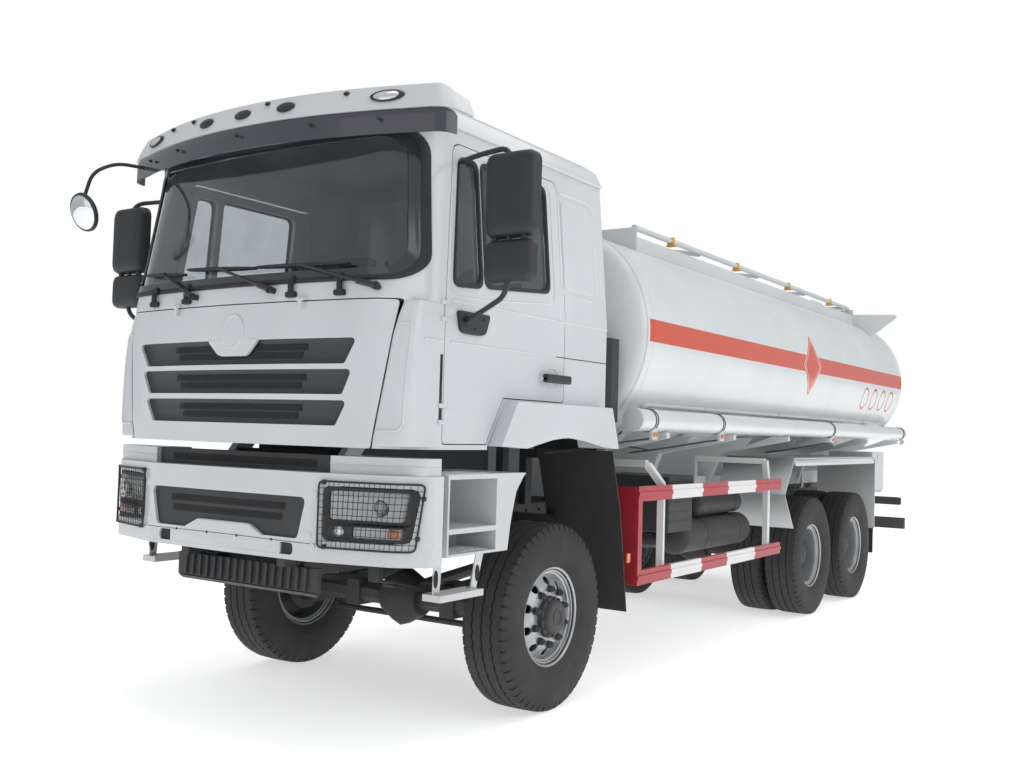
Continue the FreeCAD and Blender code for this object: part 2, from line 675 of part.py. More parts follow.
def make_chassis_frame():
    """Rails, crossmembers, cab pivot brackets, trunnion brackets, step arms and tow coupling."""
    rail_top = RAIL_BOTTOM + RAIL_HEIGHT
    web_inner = RAIL_OUTER_Y - RAIL_WALL
    pieces = both(rail())
    mid_x = 0.5 * sum(REAR_AXLES)
    middle = RAIL_BOTTOM + RAIL_HEIGHT / 2
    half = CROSSMEMBER_LENGTH / 2
    for x in (FRAME_FRONT - 60, -1180.0, -2400.0, -3620.0, mid_x, -7000.0, FRAME_REAR + 60):
        pieces.append(box(x - half, x + half, -web_inner, web_inner,
                          middle - CROSSMEMBER_HEIGHT / 2, middle + CROSSMEMBER_HEIGHT / 2))
    pieces.append(box(1120, 1240, -web_inner, web_inner, RAIL_BOTTOM + RAIL_WALL, RAIL_BOTTOM + 40))
    bracket = plate_xz([(TILT_PIVOT_X - 130, rail_top), (FRAME_FRONT, rail_top),
                        (TILT_PIVOT_X + 35, TILT_PIVOT_Z + 40), (TILT_PIVOT_X - 45, TILT_PIVOT_Z + 40)],
                       RAIL_OUTER_Y - 45, RAIL_OUTER_Y - 8)
    tilt_pin = pin((TILT_PIVOT_X, RAIL_OUTER_Y - 30, TILT_PIVOT_Z),
                   (TILT_PIVOT_X, RAIL_OUTER_Y + 50, TILT_PIVOT_Z), TILT_PIN_RADIUS)
    pieces += both(fuse([bracket, tilt_pin]))
    rest_low = CAB_REAR_BOTTOM - 110
    pieces += both(box(-540, -470, RAIL_OUTER_Y - 60, RAIL_OUTER_Y, rail_top, rest_low))
    pieces.append(box(-540, -470, -RAIL_OUTER_Y, RAIL_OUTER_Y, rest_low, CAB_REAR_BOTTOM - 50.4))
    trunnion_bracket = plate_xz([(mid_x - 190, RAIL_BOTTOM + 120), (mid_x + 190, RAIL_BOTTOM + 120),
                                 (mid_x + 90, 590), (mid_x - 90, 590)], RAIL_OUTER_Y, RAIL_OUTER_Y + 14)
    trunnion_z = TYRE_RADIUS + AXLE_TUBE_RADIUS + 16.0
    trunnion_hole = rod((mid_x, RAIL_OUTER_Y - 60, trunnion_z), (mid_x, REAR_SPRING_Y + 46, trunnion_z),
                        TRUNNION_RADIUS + PIN_CLEARANCE)
    pieces += both(trunnion_bracket.cut(trunnion_hole))
    pieces += both(box(860, 1080, RAIL_OUTER_Y, STEP_INNER_Y, RAIL_BOTTOM + 205, RAIL_BOTTOM + 265))
    tow_inner = RAIL_OUTER_Y - 75
    pieces += both(box(FRAME_FRONT - 80, FRAME_FRONT, tow_inner, web_inner, RAIL_BOTTOM + RAIL_WALL, 1000))
    pieces += both(box(FRAME_FRONT, BUMPER_FRONT - 75, tow_inner, RAIL_OUTER_Y - 15, 930, 985))
    coupling = box(FRAME_FRONT - 30, TOW_PIN_X + 40, -70, 70, TOW_PIN_Z - 35, TOW_PIN_Z + 35)
    jaw = box(TOW_PIN_X - 45, TOW_PIN_X + 50, -80, 80, TOW_PIN_Z - 14, TOW_PIN_Z + 14)
    tow_bore = pin((TOW_PIN_X, 0, TOW_PIN_Z - 60), (TOW_PIN_X, 0, TOW_PIN_Z + 60), TOW_BORE_RADIUS)
    pieces.append(coupling.cut([jaw, tow_bore]))
    write("chassis_frame", *apart(pieces))


def engine_block():
    """Engine, its gearbox and mounts, and the radiator on its bar."""
    rail_top = RAIL_BOTTOM + RAIL_HEIGHT
    web_inner = RAIL_OUTER_Y - RAIL_WALL
    engine_half = RAIL_OUTER_Y - 90
    radiator_half = RAIL_OUTER_Y - RAIL_FLANGE - 1
    engine = box(-420, 1040, -engine_half, engine_half, rail_top - 290, rail_top + 430)
    gearbox = box(-1080, -420, -200, 200, rail_top - 330, rail_top + 60)
    mounts = box(-60, 80, -web_inner, web_inner, rail_top - 200, rail_top - 120)
    radiator = box(1150, 1210, -radiator_half, radiator_half, RAIL_BOTTOM + 40, CAB_BOTTOM - 35)
    return [engine, gearbox, mounts, radiator]


def make_driveline():
    """Engine, radiator, transfer case and propeller shafts to the three driven axles."""
    z = RAIL_BOTTOM + 10.0
    case = box(-2050, -1700, -170, 170, RAIL_BOTTOM - 170, RAIL_BOTTOM + 200)
    hanger = box(-1920, -1830, -RAIL_OUTER_Y + RAIL_WALL, RAIL_OUTER_Y - RAIL_WALL, RAIL_BOTTOM + 130,
                 RAIL_BOTTOM + 200)
    diff_front = REAR_AXLES[0] + DIFF_RADIUS
    shafts = [
        rod((-1080, 0, z), (-1701, 0, z), 48),
        rod((-2049, 0, z - 80), (diff_front - 3, 0, TYRE_RADIUS + 30), 52),
        rod((-1701, -90, z - 150), (-DIFF_RADIUS + 20, -90, TYRE_RADIUS + 20), 40),
    ]
    shaft_to_rear = rod((REAR_AXLES[0] - DIFF_RADIUS + 3, 0, TYRE_RADIUS + 40),
                        (REAR_AXLES[1] + DIFF_RADIUS - 3, 0, TYRE_RADIUS + 40), 45)
    axle_shapes = []
    for x in (0.0,) + REAR_AXLES:
        axle_shapes.append(rod((x, -DIFF_HALF_WIDTH, TYRE_RADIUS), (x, DIFF_HALF_WIDTH, TYRE_RADIUS),
                               DIFF_RADIUS))
    shafts = [shaft.cut(axle_shapes) for shaft in shafts + [shaft_to_rear]]
    write("engine", *apart(engine_block() + [case, hanger] + shafts))


# Tank and what stands on it
def tank_oval(x, scale=1.0):
    """Corners of the tank's section: flat arcs at the sides, top and bottom, tighter ones between them."""
    half_w = TANK_HALF_WIDTH
    half_h = TANK_HALF_HEIGHT
    corner = TANK_CORNER_RADIUS
    cy = TANK_CORNER_Y
    cz = TANK_CORNER_Z
    side_radius = ((cy - half_w) ** 2 + cz ** 2 - corner ** 2) / (2 * (half_w - cy - corner))
    top_radius = ((cz - half_h) ** 2 + cy ** 2 - corner ** 2) / (2 * (half_h - cz - corner))
    side_angle = math.degrees(math.atan2(cz, cy - (half_w - side_radius)))
    top_angle = math.degrees(math.atan2(cz - (half_h - top_radius), cy))
    quarter = arc_points((half_w - side_radius, 0.0), side_radius, 0.0, side_angle, 1)
    quarter += arc_points((cy, cz), corner, side_angle, top_angle, 4)[1:]
    quarter += arc_points((0.0, half_h - top_radius), top_radius, top_angle, 90.0, 3)[1:]
    upper = quarter + [(-y, z) for y, z in reversed(quarter[:-1])]
    outline = upper + [(y, -z) for y, z in reversed(upper[1:-1])]
    return [V(x, y * scale, TANK_CENTRE_Z + z * scale) for y, z in outline]


def tank_body():
    """Oval barrel with dished ends."""
    stations = []
    for share, scale in TANK_DISH_CURVE:
        stations.append(tank_oval(TANK_REAR - TANK_DISH * share, scale))
    for share, scale in reversed(TANK_DISH_CURVE):
        stations.append(tank_oval(TANK_FRONT + TANK_DISH * share, scale))
    return stacked(stations)


def make_tank():
    """Tank with dished ends, manhole neck and the blind well that its lid closes, and the lid."""
    top = MANHOLE_NECK_TOP
    under_lid = top + PIN_CLEARANCE
    neck = rod((MANHOLE_X, 0, TANK_TOP_Z - 60), (MANHOLE_X, 0, top), MANHOLE_RADIUS, 16)
    flange = rod((MANHOLE_X, 0, top - 16), (MANHOLE_X, 0, top), MANHOLE_RADIUS + 35, 16)
    hinge_x = MANHOLE_X - MANHOLE_RADIUS - 62.0
    hinge_z = top + 20.0
    post = box(hinge_x - 22, hinge_x + 40, -60, 60, top - 16, top)
    ears = [box(hinge_x - 22, hinge_x + 22, y0, y0 + 16, top - 10, hinge_z + 20) for y0 in (-60, 44)]
    hinge_pin = rod((hinge_x, -60, hinge_z), (hinge_x, 60, hinge_z), 8, 8, True)
    body = fuse([tank_body(), neck, flange, post, hinge_pin] + ears)
    well = rod((MANHOLE_X, 0, TANK_CENTRE_Z), (MANHOLE_X, 0, top + 1), MANHOLE_RADIUS - MANHOLE_WALL, 16)
    write("tank", body.cut(well))
    lid = rod((MANHOLE_X, 0, under_lid), (MANHOLE_X, 0, top + LID_THICKNESS), MANHOLE_RADIUS + 30, 16)
    arm = box(hinge_x, MANHOLE_X, -34, 34, under_lid + 2, top + LID_THICKNESS)
    eye = rod((hinge_x, -34, hinge_z), (hinge_x, 34, hinge_z), 15)
    pin_hole = rod((hinge_x, -70, hinge_z), (hinge_x, 70, hinge_z), 8 + PIN_CLEARANCE, 8)
    handle_x = MANHOLE_X + 120
    handle = tube_path([(handle_x, -70, top + 20), (handle_x, -70, top + 60), (handle_x, 70, top + 60),
                        (handle_x, 70, top + 20)], 8, 6)
    write("manhole_lid", fuse([fuse([lid, arm, eye]).cut(pin_hole), handle]))


def make_subframe():
    """Box beams on the rails, saddles cut to the tank's belly, and outriggers for the hose tubes."""
    low = RAIL_BOTTOM + RAIL_HEIGHT
    beam = box(FRAME_REAR, TANK_FRONT - 100, RAIL_OUTER_Y - SUBFRAME_WIDTH, RAIL_OUTER_Y, low,
               low + SUBFRAME_HEIGHT)
    pieces = both(beam)
    belly = TANK_CENTRE_Z - TANK_HALF_HEIGHT
    tube_under = HOSE_TUBE_Z - HOSE_TUBE_RADIUS
    saddles = []
    arms = []
    for x in (-1400.0, -2650.0, -3950.0, -5200.0, -6550.0, -7850.0):
        saddles.append(plate_yz([(-RAIL_OUTER_Y, low + 20), (RAIL_OUTER_Y, low + 20), (560, belly - 25),
                                 (800, belly + 30), (860, belly + 130), (-860, belly + 130), (-800, belly + 30),
                                 (-560, belly - 25)], x - 40, x + 40))
        arm = plate_yz([(700, belly + 3), (HOSE_TUBE_Y + 60, tube_under - 40), (HOSE_TUBE_Y + 60, tube_under),
                        (HOSE_TUBE_Y - 90, tube_under), (780, belly + 40)], x - 25, x + 25)
        arms += both(arm)
    pipe_room = rod((OUTLET_X, 0, OUTLET_Z), (OUTLET_END, 0, OUTLET_Z), OUTLET_RADIUS + 5)
    hollow = tank_body()
    write("subframe", *apart(pieces + [piece.cut([hollow, pipe_room]) for piece in saddles + arms]))


def make_walkway():
    """Coaming plates on the tank's shoulders, cross plates and the two tapered wing plates."""
    surface = TANK_CENTRE_Z + TANK_CORNER_Z
    pieces = []
    side = box(COAMING_REAR, COAMING_FRONT, COAMING_Y, COAMING_Y + COAMING_THICKNESS, surface, COAMING_TOP)
    pieces += both(side)
    for x in (COAMING_FRONT, COAMING_REAR):
        pieces.append(box(x - COAMING_THICKNESS / 2, x + COAMING_THICKNESS / 2, -COAMING_Y - COAMING_THICKNESS,
                          COAMING_Y + COAMING_THICKNESS, surface, COAMING_TOP + 75))
    wing = plate_yz([(COAMING_Y - 30, surface), (1010, surface + 280), (WING_TIP_Y - 25, COAMING_TOP - 60),
                     (WING_TIP_Y, COAMING_TOP - 30), (WING_TIP_Y - 25, COAMING_TOP - 5),
                     (COAMING_Y - 30, COAMING_TOP + 15)], COAMING_REAR - COAMING_THICKNESS / 2,
                    COAMING_REAR + COAMING_THICKNESS / 2)
    pieces += both(wing)
    for i in range(POST_COUNT):
        x = FIRST_POST_X - i * POST_PITCH
        pieces.append(box(x - 60, x + 60, HANDRAIL_Y - 100, HANDRAIL_Y - 92, surface, POST_PIVOT_Z + 24))
        pieces.append(box(x - 60, x + 60, HANDRAIL_Y - 100, HANDRAIL_Y + 55, surface, POST_PIVOT_Z - 46))
        pieces.append(rod((x, HANDRAIL_Y - 95, POST_PIVOT_Z), (x, HANDRAIL_Y - 34, POST_PIVOT_Z), 8, 8, True))
    hollow = tank_body()
    neck_room = rod((MANHOLE_X, 0, surface), (MANHOLE_X, 0, MANHOLE_NECK_TOP + 50), MANHOLE_RADIUS + 60)
    write("walkway", fuse(pieces).cut([hollow, neck_room]))


def make_handrail():
    """Top rail lying on its four folded link posts."""
    rise = HANDRAIL_Z - POST_PIVOT_Z
    reach = math.sqrt(POST_LENGTH ** 2 - rise ** 2)
    link_y0 = HANDRAIL_Y - 80
    link_y1 = HANDRAIL_Y - 40
    rail_pieces = [rod((HANDRAIL_FRONT, HANDRAIL_Y, HANDRAIL_Z), (HANDRAIL_REAR, HANDRAIL_Y, HANDRAIL_Z),
                       HANDRAIL_RADIUS)]
    for i in range(POST_COUNT):
        x = FIRST_POST_X - i * POST_PITCH
        tip_x = x - reach
        bar = plate_xz([(x, POST_PIVOT_Z - 18), (tip_x, HANDRAIL_Z - 18), (tip_x, HANDRAIL_Z + 18),
                        (x, POST_PIVOT_Z + 18)], link_y0 + 5, link_y1 - 5)
        eyes = [rod((x, link_y0, POST_PIVOT_Z), (x, link_y1, POST_PIVOT_Z), 22),
                rod((tip_x, link_y0, HANDRAIL_Z), (tip_x, link_y1, HANDRAIL_Z), 20)]
        holes = [rod((x, link_y0 - 1, POST_PIVOT_Z), (x, link_y1 + 1, POST_PIVOT_Z), 8 + PIN_CLEARANCE, 8),
                 rod((tip_x, link_y0 - 1, HANDRAIL_Z), (tip_x, link_y1 + 1, HANDRAIL_Z), 8 + PIN_CLEARANCE, 8)]
        write("rail_post_" + str(i + 1), fuse([bar] + eyes).cut(holes))
        rail_pieces.append(rod((tip_x, link_y0 + 2, HANDRAIL_Z), (tip_x, HANDRAIL_Y, HANDRAIL_Z), 8, 8, True))
    write("handrail", fuse(rail_pieces))


def make_hose_tubes():
    """Hose tubes on both sides with end caps and the tabs of the small marker lamps below."""
    outer = rod((HOSE_TUBE_REAR, HOSE_TUBE_Y, HOSE_TUBE_Z), (HOSE_TUBE_FRONT, HOSE_TUBE_Y, HOSE_TUBE_Z),
                HOSE_TUBE_RADIUS, 16)
    pieces = [outer]
    for x in (-1180.0, -2380.0, -5270.0, -8080.0):
        pieces.append(box(x - 20, x + 20, HOSE_TUBE_Y + 40, HOSE_TUBE_Y + 62,
                          HOSE_TUBE_Z - 135, HOSE_TUBE_Z - 50))
    write("hose_tubes", *both(fuse(pieces)))


# Guards, fenders, tanks and lockers on the frame
def make_side_guards():
    """Two beams on bent posts each side, with a deep plate at the front end."""
    y = GUARD_Y
    pieces = [box(GUARD_FRONT - 60, GUARD_FRONT, y - BEAM_THICKNESS, y, GUARD_BOTTOM, GUARD_TOP)]
    for low in (GUARD_BOTTOM, GUARD_TOP - BEAM_HEIGHT):
        middle = low + BEAM_HEIGHT / 2
        pieces.append(box(GUARD_REAR, GUARD_FRONT - 60, y - BEAM_THICKNESS, y, low, low + BEAM_HEIGHT))
        pieces.append(box(GUARD_REAR, GUARD_FRONT, y, y + 8, middle - 14, middle + 14))
    inner = y - BEAM_THICKNESS - GUARD_POST_SIZE / 2
    hanger_half = GUARD_POST_SIZE / 2
    for x, lean in ((-1430.0, 120.0), (-3550.0, -120.0)):
        top_x = x + lean
        pieces.append(box(top_x - hanger_half, top_x + hanger_half, RAIL_OUTER_Y, RAIL_OUTER_Y + 12,
                          RAIL_BOTTOM + RAIL_HEIGHT - 60, 1501))
        pieces.append(bar_path([(top_x, RAIL_OUTER_Y + 12, 1476), (top_x, inner - 60, 1476)],
                               GUARD_POST_SIZE, GUARD_POST_SIZE, (1, 0, 0)))
        pieces.append(bar_path([(top_x, inner - 60, 1476), (x, inner, 1330), (x, inner, GUARD_BOTTOM + 10)],
                               GUARD_POST_SIZE, GUARD_POST_SIZE, (1, 0, 0)))
    guard = apart(pieces)
    write("side_guards", *(guard + [mirrored(piece) for piece in guard]))


def make_rear_fenders():
    """Flat-topped wheel covers over the bogie with slanting ends and stays to the frame."""
    t = FENDER_THICKNESS
    top = REAR_FENDER_TOP
    front_x = -4050.0
    rear_x = -6750.0
    outside = [(-4040, 860), (-3800, 1180), (front_x, top), (rear_x, top), (rear_x - 40, top - 40),
               (rear_x - 40, 700)]
    inside = [(-4040 - t, 860), (-3800 - t, 1172), (front_x - 8, top - t), (rear_x + 6, top - t),
              (rear_x - 40 + t, top - 45), (rear_x - 40 + t, 700)]
    panels = []
    for i in range(len(outside) - 1):
        corners = [outside[i], outside[i + 1], inside[i + 1], inside[i]]
        panels.append(plate_xz(corners, REAR_FENDER_INNER_Y, REAR_FENDER_OUTER_Y))
    lip = plate_xz([(front_x - 8, top - t), (rear_x + 6, top - t), (rear_x + 6, top - 75),
                    (front_x - 60, top - 75)], REAR_FENDER_OUTER_Y - 16, REAR_FENDER_OUTER_Y)
    stays = []
    for x in (-4300.0, 0.5 * sum(REAR_AXLES), -6680.0):
        stays.append(box(x - 25, x + 25, RAIL_OUTER_Y, RAIL_OUTER_Y + 12, RAIL_BOTTOM + RAIL_HEIGHT - 50,
                         top - t))
        stays.append(box(x - 25, x + 25, RAIL_OUTER_Y + 12, REAR_FENDER_INNER_Y + 200, top - t - 40, top - t))
    fender = apart(panels + [lip] + stays)
    write("rear_fenders", *(fender + [mirrored(piece) for piece in fender]))


def make_mudflaps():
    """Curved flaps behind the front wheels and flat ones behind the bogie."""
    t = 10.0
    front = plate_xz([(-572, 1570), (-700, 1170), (-816, 500), (-816 - t, 500), (-700 - t, 1172),
                      (-572 - t, 1570)], 640.0, GUARD_Y)
    bracket = box(-680, -620, RAIL_OUTER_Y, 660, RAIL_BOTTOM + 200, RAIL_BOTTOM + 250)
    bracket = bracket.fuse(box(-720, -620, 640, 700, RAIL_BOTTOM + 200, RAIL_BOTTOM + 250))
    rear_x = -6790.3
    rear = box(rear_x - t, rear_x, 640, 1225, 420, 760)
    rear = rear.fuse(box(rear_x - t - 8, rear_x - t, 640, 1225, 640, 760))
    write("mudflaps", *(both(front.fuse(bracket)) + both(rear)))


def make_air_tanks():
    """Brake reservoirs and the battery box on the left side of the frame."""
    big = rod((-2150, 900, 880), (-3560, 900, 880), 140)
    small = [rod((-2500, 900, 1120), (-3440, 900, 1120), 95)]
    brackets = []
    for x in (-2400.0, -3300.0):
        brackets.append(box(x - 25, x + 25, RAIL_OUTER_Y, 905, 1010, 1050))
        brackets.append(box(x - 25, x + 25, 740, 905, 860, 1050))
    tanks = fuse([big] + small + brackets)
    battery = box(-1650, -2080, RAIL_OUTER_Y + 120, 1120, 960, 1380)
    lip = box(-1640, -2090, RAIL_OUTER_Y + 110, 1130, 1300, 1330)
    shelf = box(-1900, -1800, RAIL_OUTER_Y, RAIL_OUTER_Y + 130, 1040, 1110)
    write("air_tanks", tanks, fuse([battery, lip, shelf]))


def make_fuel_tank():
    """Fuel tank with rounded edges on straps, on the right side of the frame."""
    section = rounded_wire([(-1300, -RAIL_OUTER_Y - 60, 700), (-1300, -1120, 700), (-1300, -1120, 1245),
                            (-1300, -RAIL_OUTER_Y - 60, 1245)], 90.0)
    tank = Part.Face(section).extrude(V(-1250, 0, 0))
    band_wire = rounded_wire([(-1400, -RAIL_OUTER_Y, 692), (-1400, -1128, 692), (-1400, -1128, 1253),
                              (-1400, -RAIL_OUTER_Y, 1253)], [0, 98.0, 98.0, 0])
    bands = []
    for shift in (-100.0, -960.0):
        bands.append(Part.Face(band_wire).extrude(V(-60, 0, 0)).translated(V(shift, 0, 0)))
    cap = rod((-1650, -950, 1235), (-1650, -950, 1290), 50)
    write("fuel_tank", fuse([tank, cap] + bands))


def make_rear_end():
    """Underrun bar, tail lamps, rear ladder and the locker with its drop-down door."""
    bar = box(UNDERRUN_X - 40, UNDERRUN_X + 30, -UNDERRUN_HALF_WIDTH, UNDERRUN_HALF_WIDTH, UNDERRUN_BOTTOM,
              UNDERRUN_BOTTOM + UNDERRUN_HEIGHT)
    drops = []
    for sign in (1.0, -1.0):
        y0 = sign * (RAIL_OUTER_Y - 70)
        y1 = sign * RAIL_OUTER_Y
        drops.append(plate_xz([(UNDERRUN_X + 30, UNDERRUN_BOTTOM + 10),
                               (UNDERRUN_X - 20, UNDERRUN_BOTTOM + 125),
                               (UNDERRUN_X - 20, RAIL_BOTTOM + 120), (FRAME_REAR - 0.3, RAIL_BOTTOM + 120),
                               (FRAME_REAR - 0.3, RAIL_BOTTOM + 10)], y0, y1))
    lamp_bar = box(UNDERRUN_X - 20, UNDERRUN_X + 20, -1180, 1180, 900, 985)
    lamps = []
    for sign in (1.0, -1.0):
        lamps.append(box(UNDERRUN_X - 60, UNDERRUN_X - 20, sign * 700, sign * 1150, 895, 990))
    write("underrun_bar", fuse([bar, lamp_bar] + drops), *lamps)
    rail_x = UNDERRUN_X - 28
    rail_top = TANK_TOP_Z + 200
    rails = []
    for y in LADDER_RAIL_PLACES:
        rails.append(tube_path([(rail_x, y, 985), (rail_x, y, TANK_TOP_Z + 80), (UNDERRUN_X + 110, y, rail_top),
                                (TANK_REAR + 240, y, rail_top), (TANK_REAR + 300, y, TANK_TOP_Z - 50)], 17, 6))
    stays = [rod((rail_x, y, 2250), (TANK_REAR - 20, y, 2250), 13, 6) for y in LADDER_RAIL_PLACES]
    rungs = []
    for i in range(RUNG_COUNT):
        z = FIRST_RUNG_Z + i * RUNG_PITCH
        rungs.append(rod((rail_x, LADDER_RAIL_PLACES[0], z), (rail_x, LADDER_RAIL_PLACES[1], z), 13, 6))
    hollow = tank_body()
    ladder = apart([piece.cut(hollow) for piece in rails + stays] + rungs)
    pipe = fuse([rod((OUTLET_X, 0, OUTLET_Z - 40), (OUTLET_X, 0, 1600), OUTLET_RADIUS, 12),
                 rod((OUTLET_X + 40, 0, OUTLET_Z), (OUTLET_END, 0, OUTLET_Z), OUTLET_RADIUS, 12),
                 rod((OUTLET_END + 20, 0, OUTLET_Z), (OUTLET_END, 0, OUTLET_Z), OUTLET_FLANGE_RADIUS, 16)])
    bore = pin((OUTLET_END - 1, 0, OUTLET_Z), (OUTLET_END + OUTLET_BORE_DEPTH, 0, OUTLET_Z), OUTLET_BORE_RADIUS)
    write("rear_ladder", *ladder, pipe.cut([hollow, bore]))


def make_locker():
    """Open-fronted locker on the frame and its door, hinged along the bottom edge."""
    wall = LOCKER_WALL
    inner_y = LOCKER_OUTER_Y - LOCKER_DEPTH
    body = box(LOCKER_FRONT, LOCKER_REAR, inner_y, LOCKER_OUTER_Y, LOCKER_BOTTOM, LOCKER_TOP)
    room = box(LOCKER_FRONT - wall, LOCKER_REAR + wall, inner_y + wall, LOCKER_OUTER_Y + 1,
               LOCKER_BOTTOM + wall, LOCKER_TOP - wall)
    arm = box(LOCKER_FRONT - 200, LOCKER_FRONT - 260, RAIL_OUTER_Y, inner_y,
              LOCKER_BOTTOM + 5, LOCKER_BOTTOM + 50)
    hinge_y = LOCKER_OUTER_Y + 14.0
    hinge_z = LOCKER_BOTTOM - 12.0
    pins = []
    eyes = []
    holes = []
    for x in (LOCKER_FRONT - 110, LOCKER_REAR + 110):
        pins.append(rod((x - 40, hinge_y, hinge_z), (x + 40, hinge_y, hinge_z), 5, 8, True))
        pins.append(box(x + 24, x + 40, LOCKER_OUTER_Y - 40, hinge_y, hinge_z - 5, LOCKER_BOTTOM + 4))
        pins.append(box(x - 40, x - 24, LOCKER_OUTER_Y - 40, hinge_y, hinge_z - 5, LOCKER_BOTTOM + 4))
        eyes.append(rod((x - 22, hinge_y, hinge_z), (x + 22, hinge_y, hinge_z), 10, 8))
        eyes.append(box(x - 22, x + 22, hinge_y - 6, hinge_y + 6, hinge_z, LOCKER_BOTTOM + 40))
        holes.append(rod((x - 30, hinge_y, hinge_z), (x + 30, hinge_y, hinge_z), 5 + PIN_CLEARANCE, 8))
    write("locker", fuse([body.cut(room), arm] + pins))
    door = box(LOCKER_FRONT - 3, LOCKER_REAR + 3, LOCKER_OUTER_Y + PIN_CLEARANCE, LOCKER_OUTER_Y + 16,
               LOCKER_BOTTOM + 4, LOCKER_TOP - 3)
    knob = box(-7080, -7010, LOCKER_OUTER_Y + 15, LOCKER_OUTER_Y + 28, LOCKER_TOP - 90, LOCKER_TOP - 40)
    write("locker_door", fuse([door, knob] + eyes).cut(holes))


# Bumper and lamps
def bumper_band(depth, z0, z1):
    """Solid in plan from the bumper's outer face inwards, narrowed by depth."""
    front = BUMPER_FRONT - depth
    half = BUMPER_HALF_WIDTH - depth
    rear = BUMPER_REAR
    points = [(rear, -half), (rear + 90, -half), (front - 140, -half + 150), (front - 12, -620), (front, 0),
              (front - 12, 620), (front - 140, half - 150), (rear + 90, half), (rear, half)]
    radii = [0, 60, 140, 200, 0, 200, 140, 60, 0]
    return plate_xy(points, z0, z1, radii)


def lamp_opening(grow):
    """Opening of the left headlight, seen from the front."""
    g = grow
    return plate_yz([(LAMP_INNER_Y - g, LAMP_BOTTOM - g), (LAMP_OUTER_Y + g, LAMP_BOTTOM - g),
                     (LAMP_OUTER_Y + 40 + g, LAMP_TOP + g), (LAMP_INNER_Y - g, LAMP_TOP + g)], 1200, 1700, 35.0)


def skid_plate():
    """Upright plate below the bumper, on two arms from the rails."""
    bars = [box(FRAME_FRONT + PIN_CLEARANCE, FRAME_FRONT + 30, -560, 560, 795, 925)]
    for sign in (1.0, -1.0):
        bars.append(box(FRAME_FRONT - 55, FRAME_FRONT + 1, sign * 300, sign * 345, 820, RAIL_BOTTOM))
    return fuse(bars)


def make_bumper():
    """White bumper shell with openings, its dark centre grille, headlights and slatted skid plate."""
    shell = bumper_band(0, BUMPER_BOTTOM, BUMPER_TOP).cut(
        bumper_band(BUMPER_WALL, BUMPER_BOTTOM - 1, BUMPER_TOP + 1))
    grille_hole = plate_yz([(-562, 1097), (562, 1097), (614, 1312), (-614, 1312)], 1400, 1700, 25.0)
    tow_hole = plate_yz(rect(-534, 534, 1010, 1072), 1400, 1700, 20.0)
    lamps = both(lamp_opening(0.0))
    shell = shell.cut([grille_hole, tow_hole] + lamps)
    brackets = []
    for sign in (1.0, -1.0):
        brackets.append(box(FRAME_FRONT - 40, BUMPER_FRONT - 36, sign * (RAIL_OUTER_Y + 0.3),
                            sign * (RAIL_OUTER_Y + 20), 1000, 1090))
        brackets.append(box(BUMPER_FRONT - 60, BUMPER_FRONT - 32, sign * (RAIL_OUTER_Y - 60),
                            sign * (RAIL_OUTER_Y + 20), 1074, 1094))
    brow = plate_xy([(BUMPER_REAR, 700), (1500, 700), (1470, 850), (BUMPER_REAR + 120, BUMPER_HALF_WIDTH - 20),
                     (BUMPER_REAR, BUMPER_HALF_WIDTH - 20)], BUMPER_TOP - 25, BROW_TOP, [0, 0, 80, 60, 0])
    brow = brow.cut(box(BUMPER_REAR - 1, 1400, 0, 1150, BUMPER_TOP - 30, BROW_TOP - 25))
    band = bumper_band(BUMPER_WALL - 12, BUMPER_TOP - 40, BUMPER_TOP).cut(
        box(1100, BUMPER_FRONT - 130, -690, 690, 1300, 1500)).cut(bumper_band(150, 1300, 1500))
    shell = fuse([shell, band] + both(brow) + brackets)
    shell = shell.cut(both(lamp_opening(0.0)))
    write("bumper", shell)
    inner = bumper_band(BUMPER_WALL - 14, 1080, 1330).cut(bumper_band(BUMPER_WALL + 4, 1079, 1331))
    mesh = inner.common(plate_yz([(-562, 1097), (562, 1097), (614, 1312), (-614, 1312)], 1400, 1700, 25.0))
    strip = box(1450, 1480, -685, 685, BUMPER_TOP + 0.3 - 12, BROW_TOP)
    strip = strip.fuse(box(1455, BUMPER_FRONT - 40, -660, 660, BUMPER_TOP - 40, BUMPER_TOP - 12)).cut(shell)
    write("bumper_grille", mesh, strip, skid_plate())
    lens = bumper_band(6.0, 1080, 1420).cut(bumper_band(140.0, 1079, 1421)).common(lamp_opening(-PIN_CLEARANCE))
    write("headlights", *both(lens))


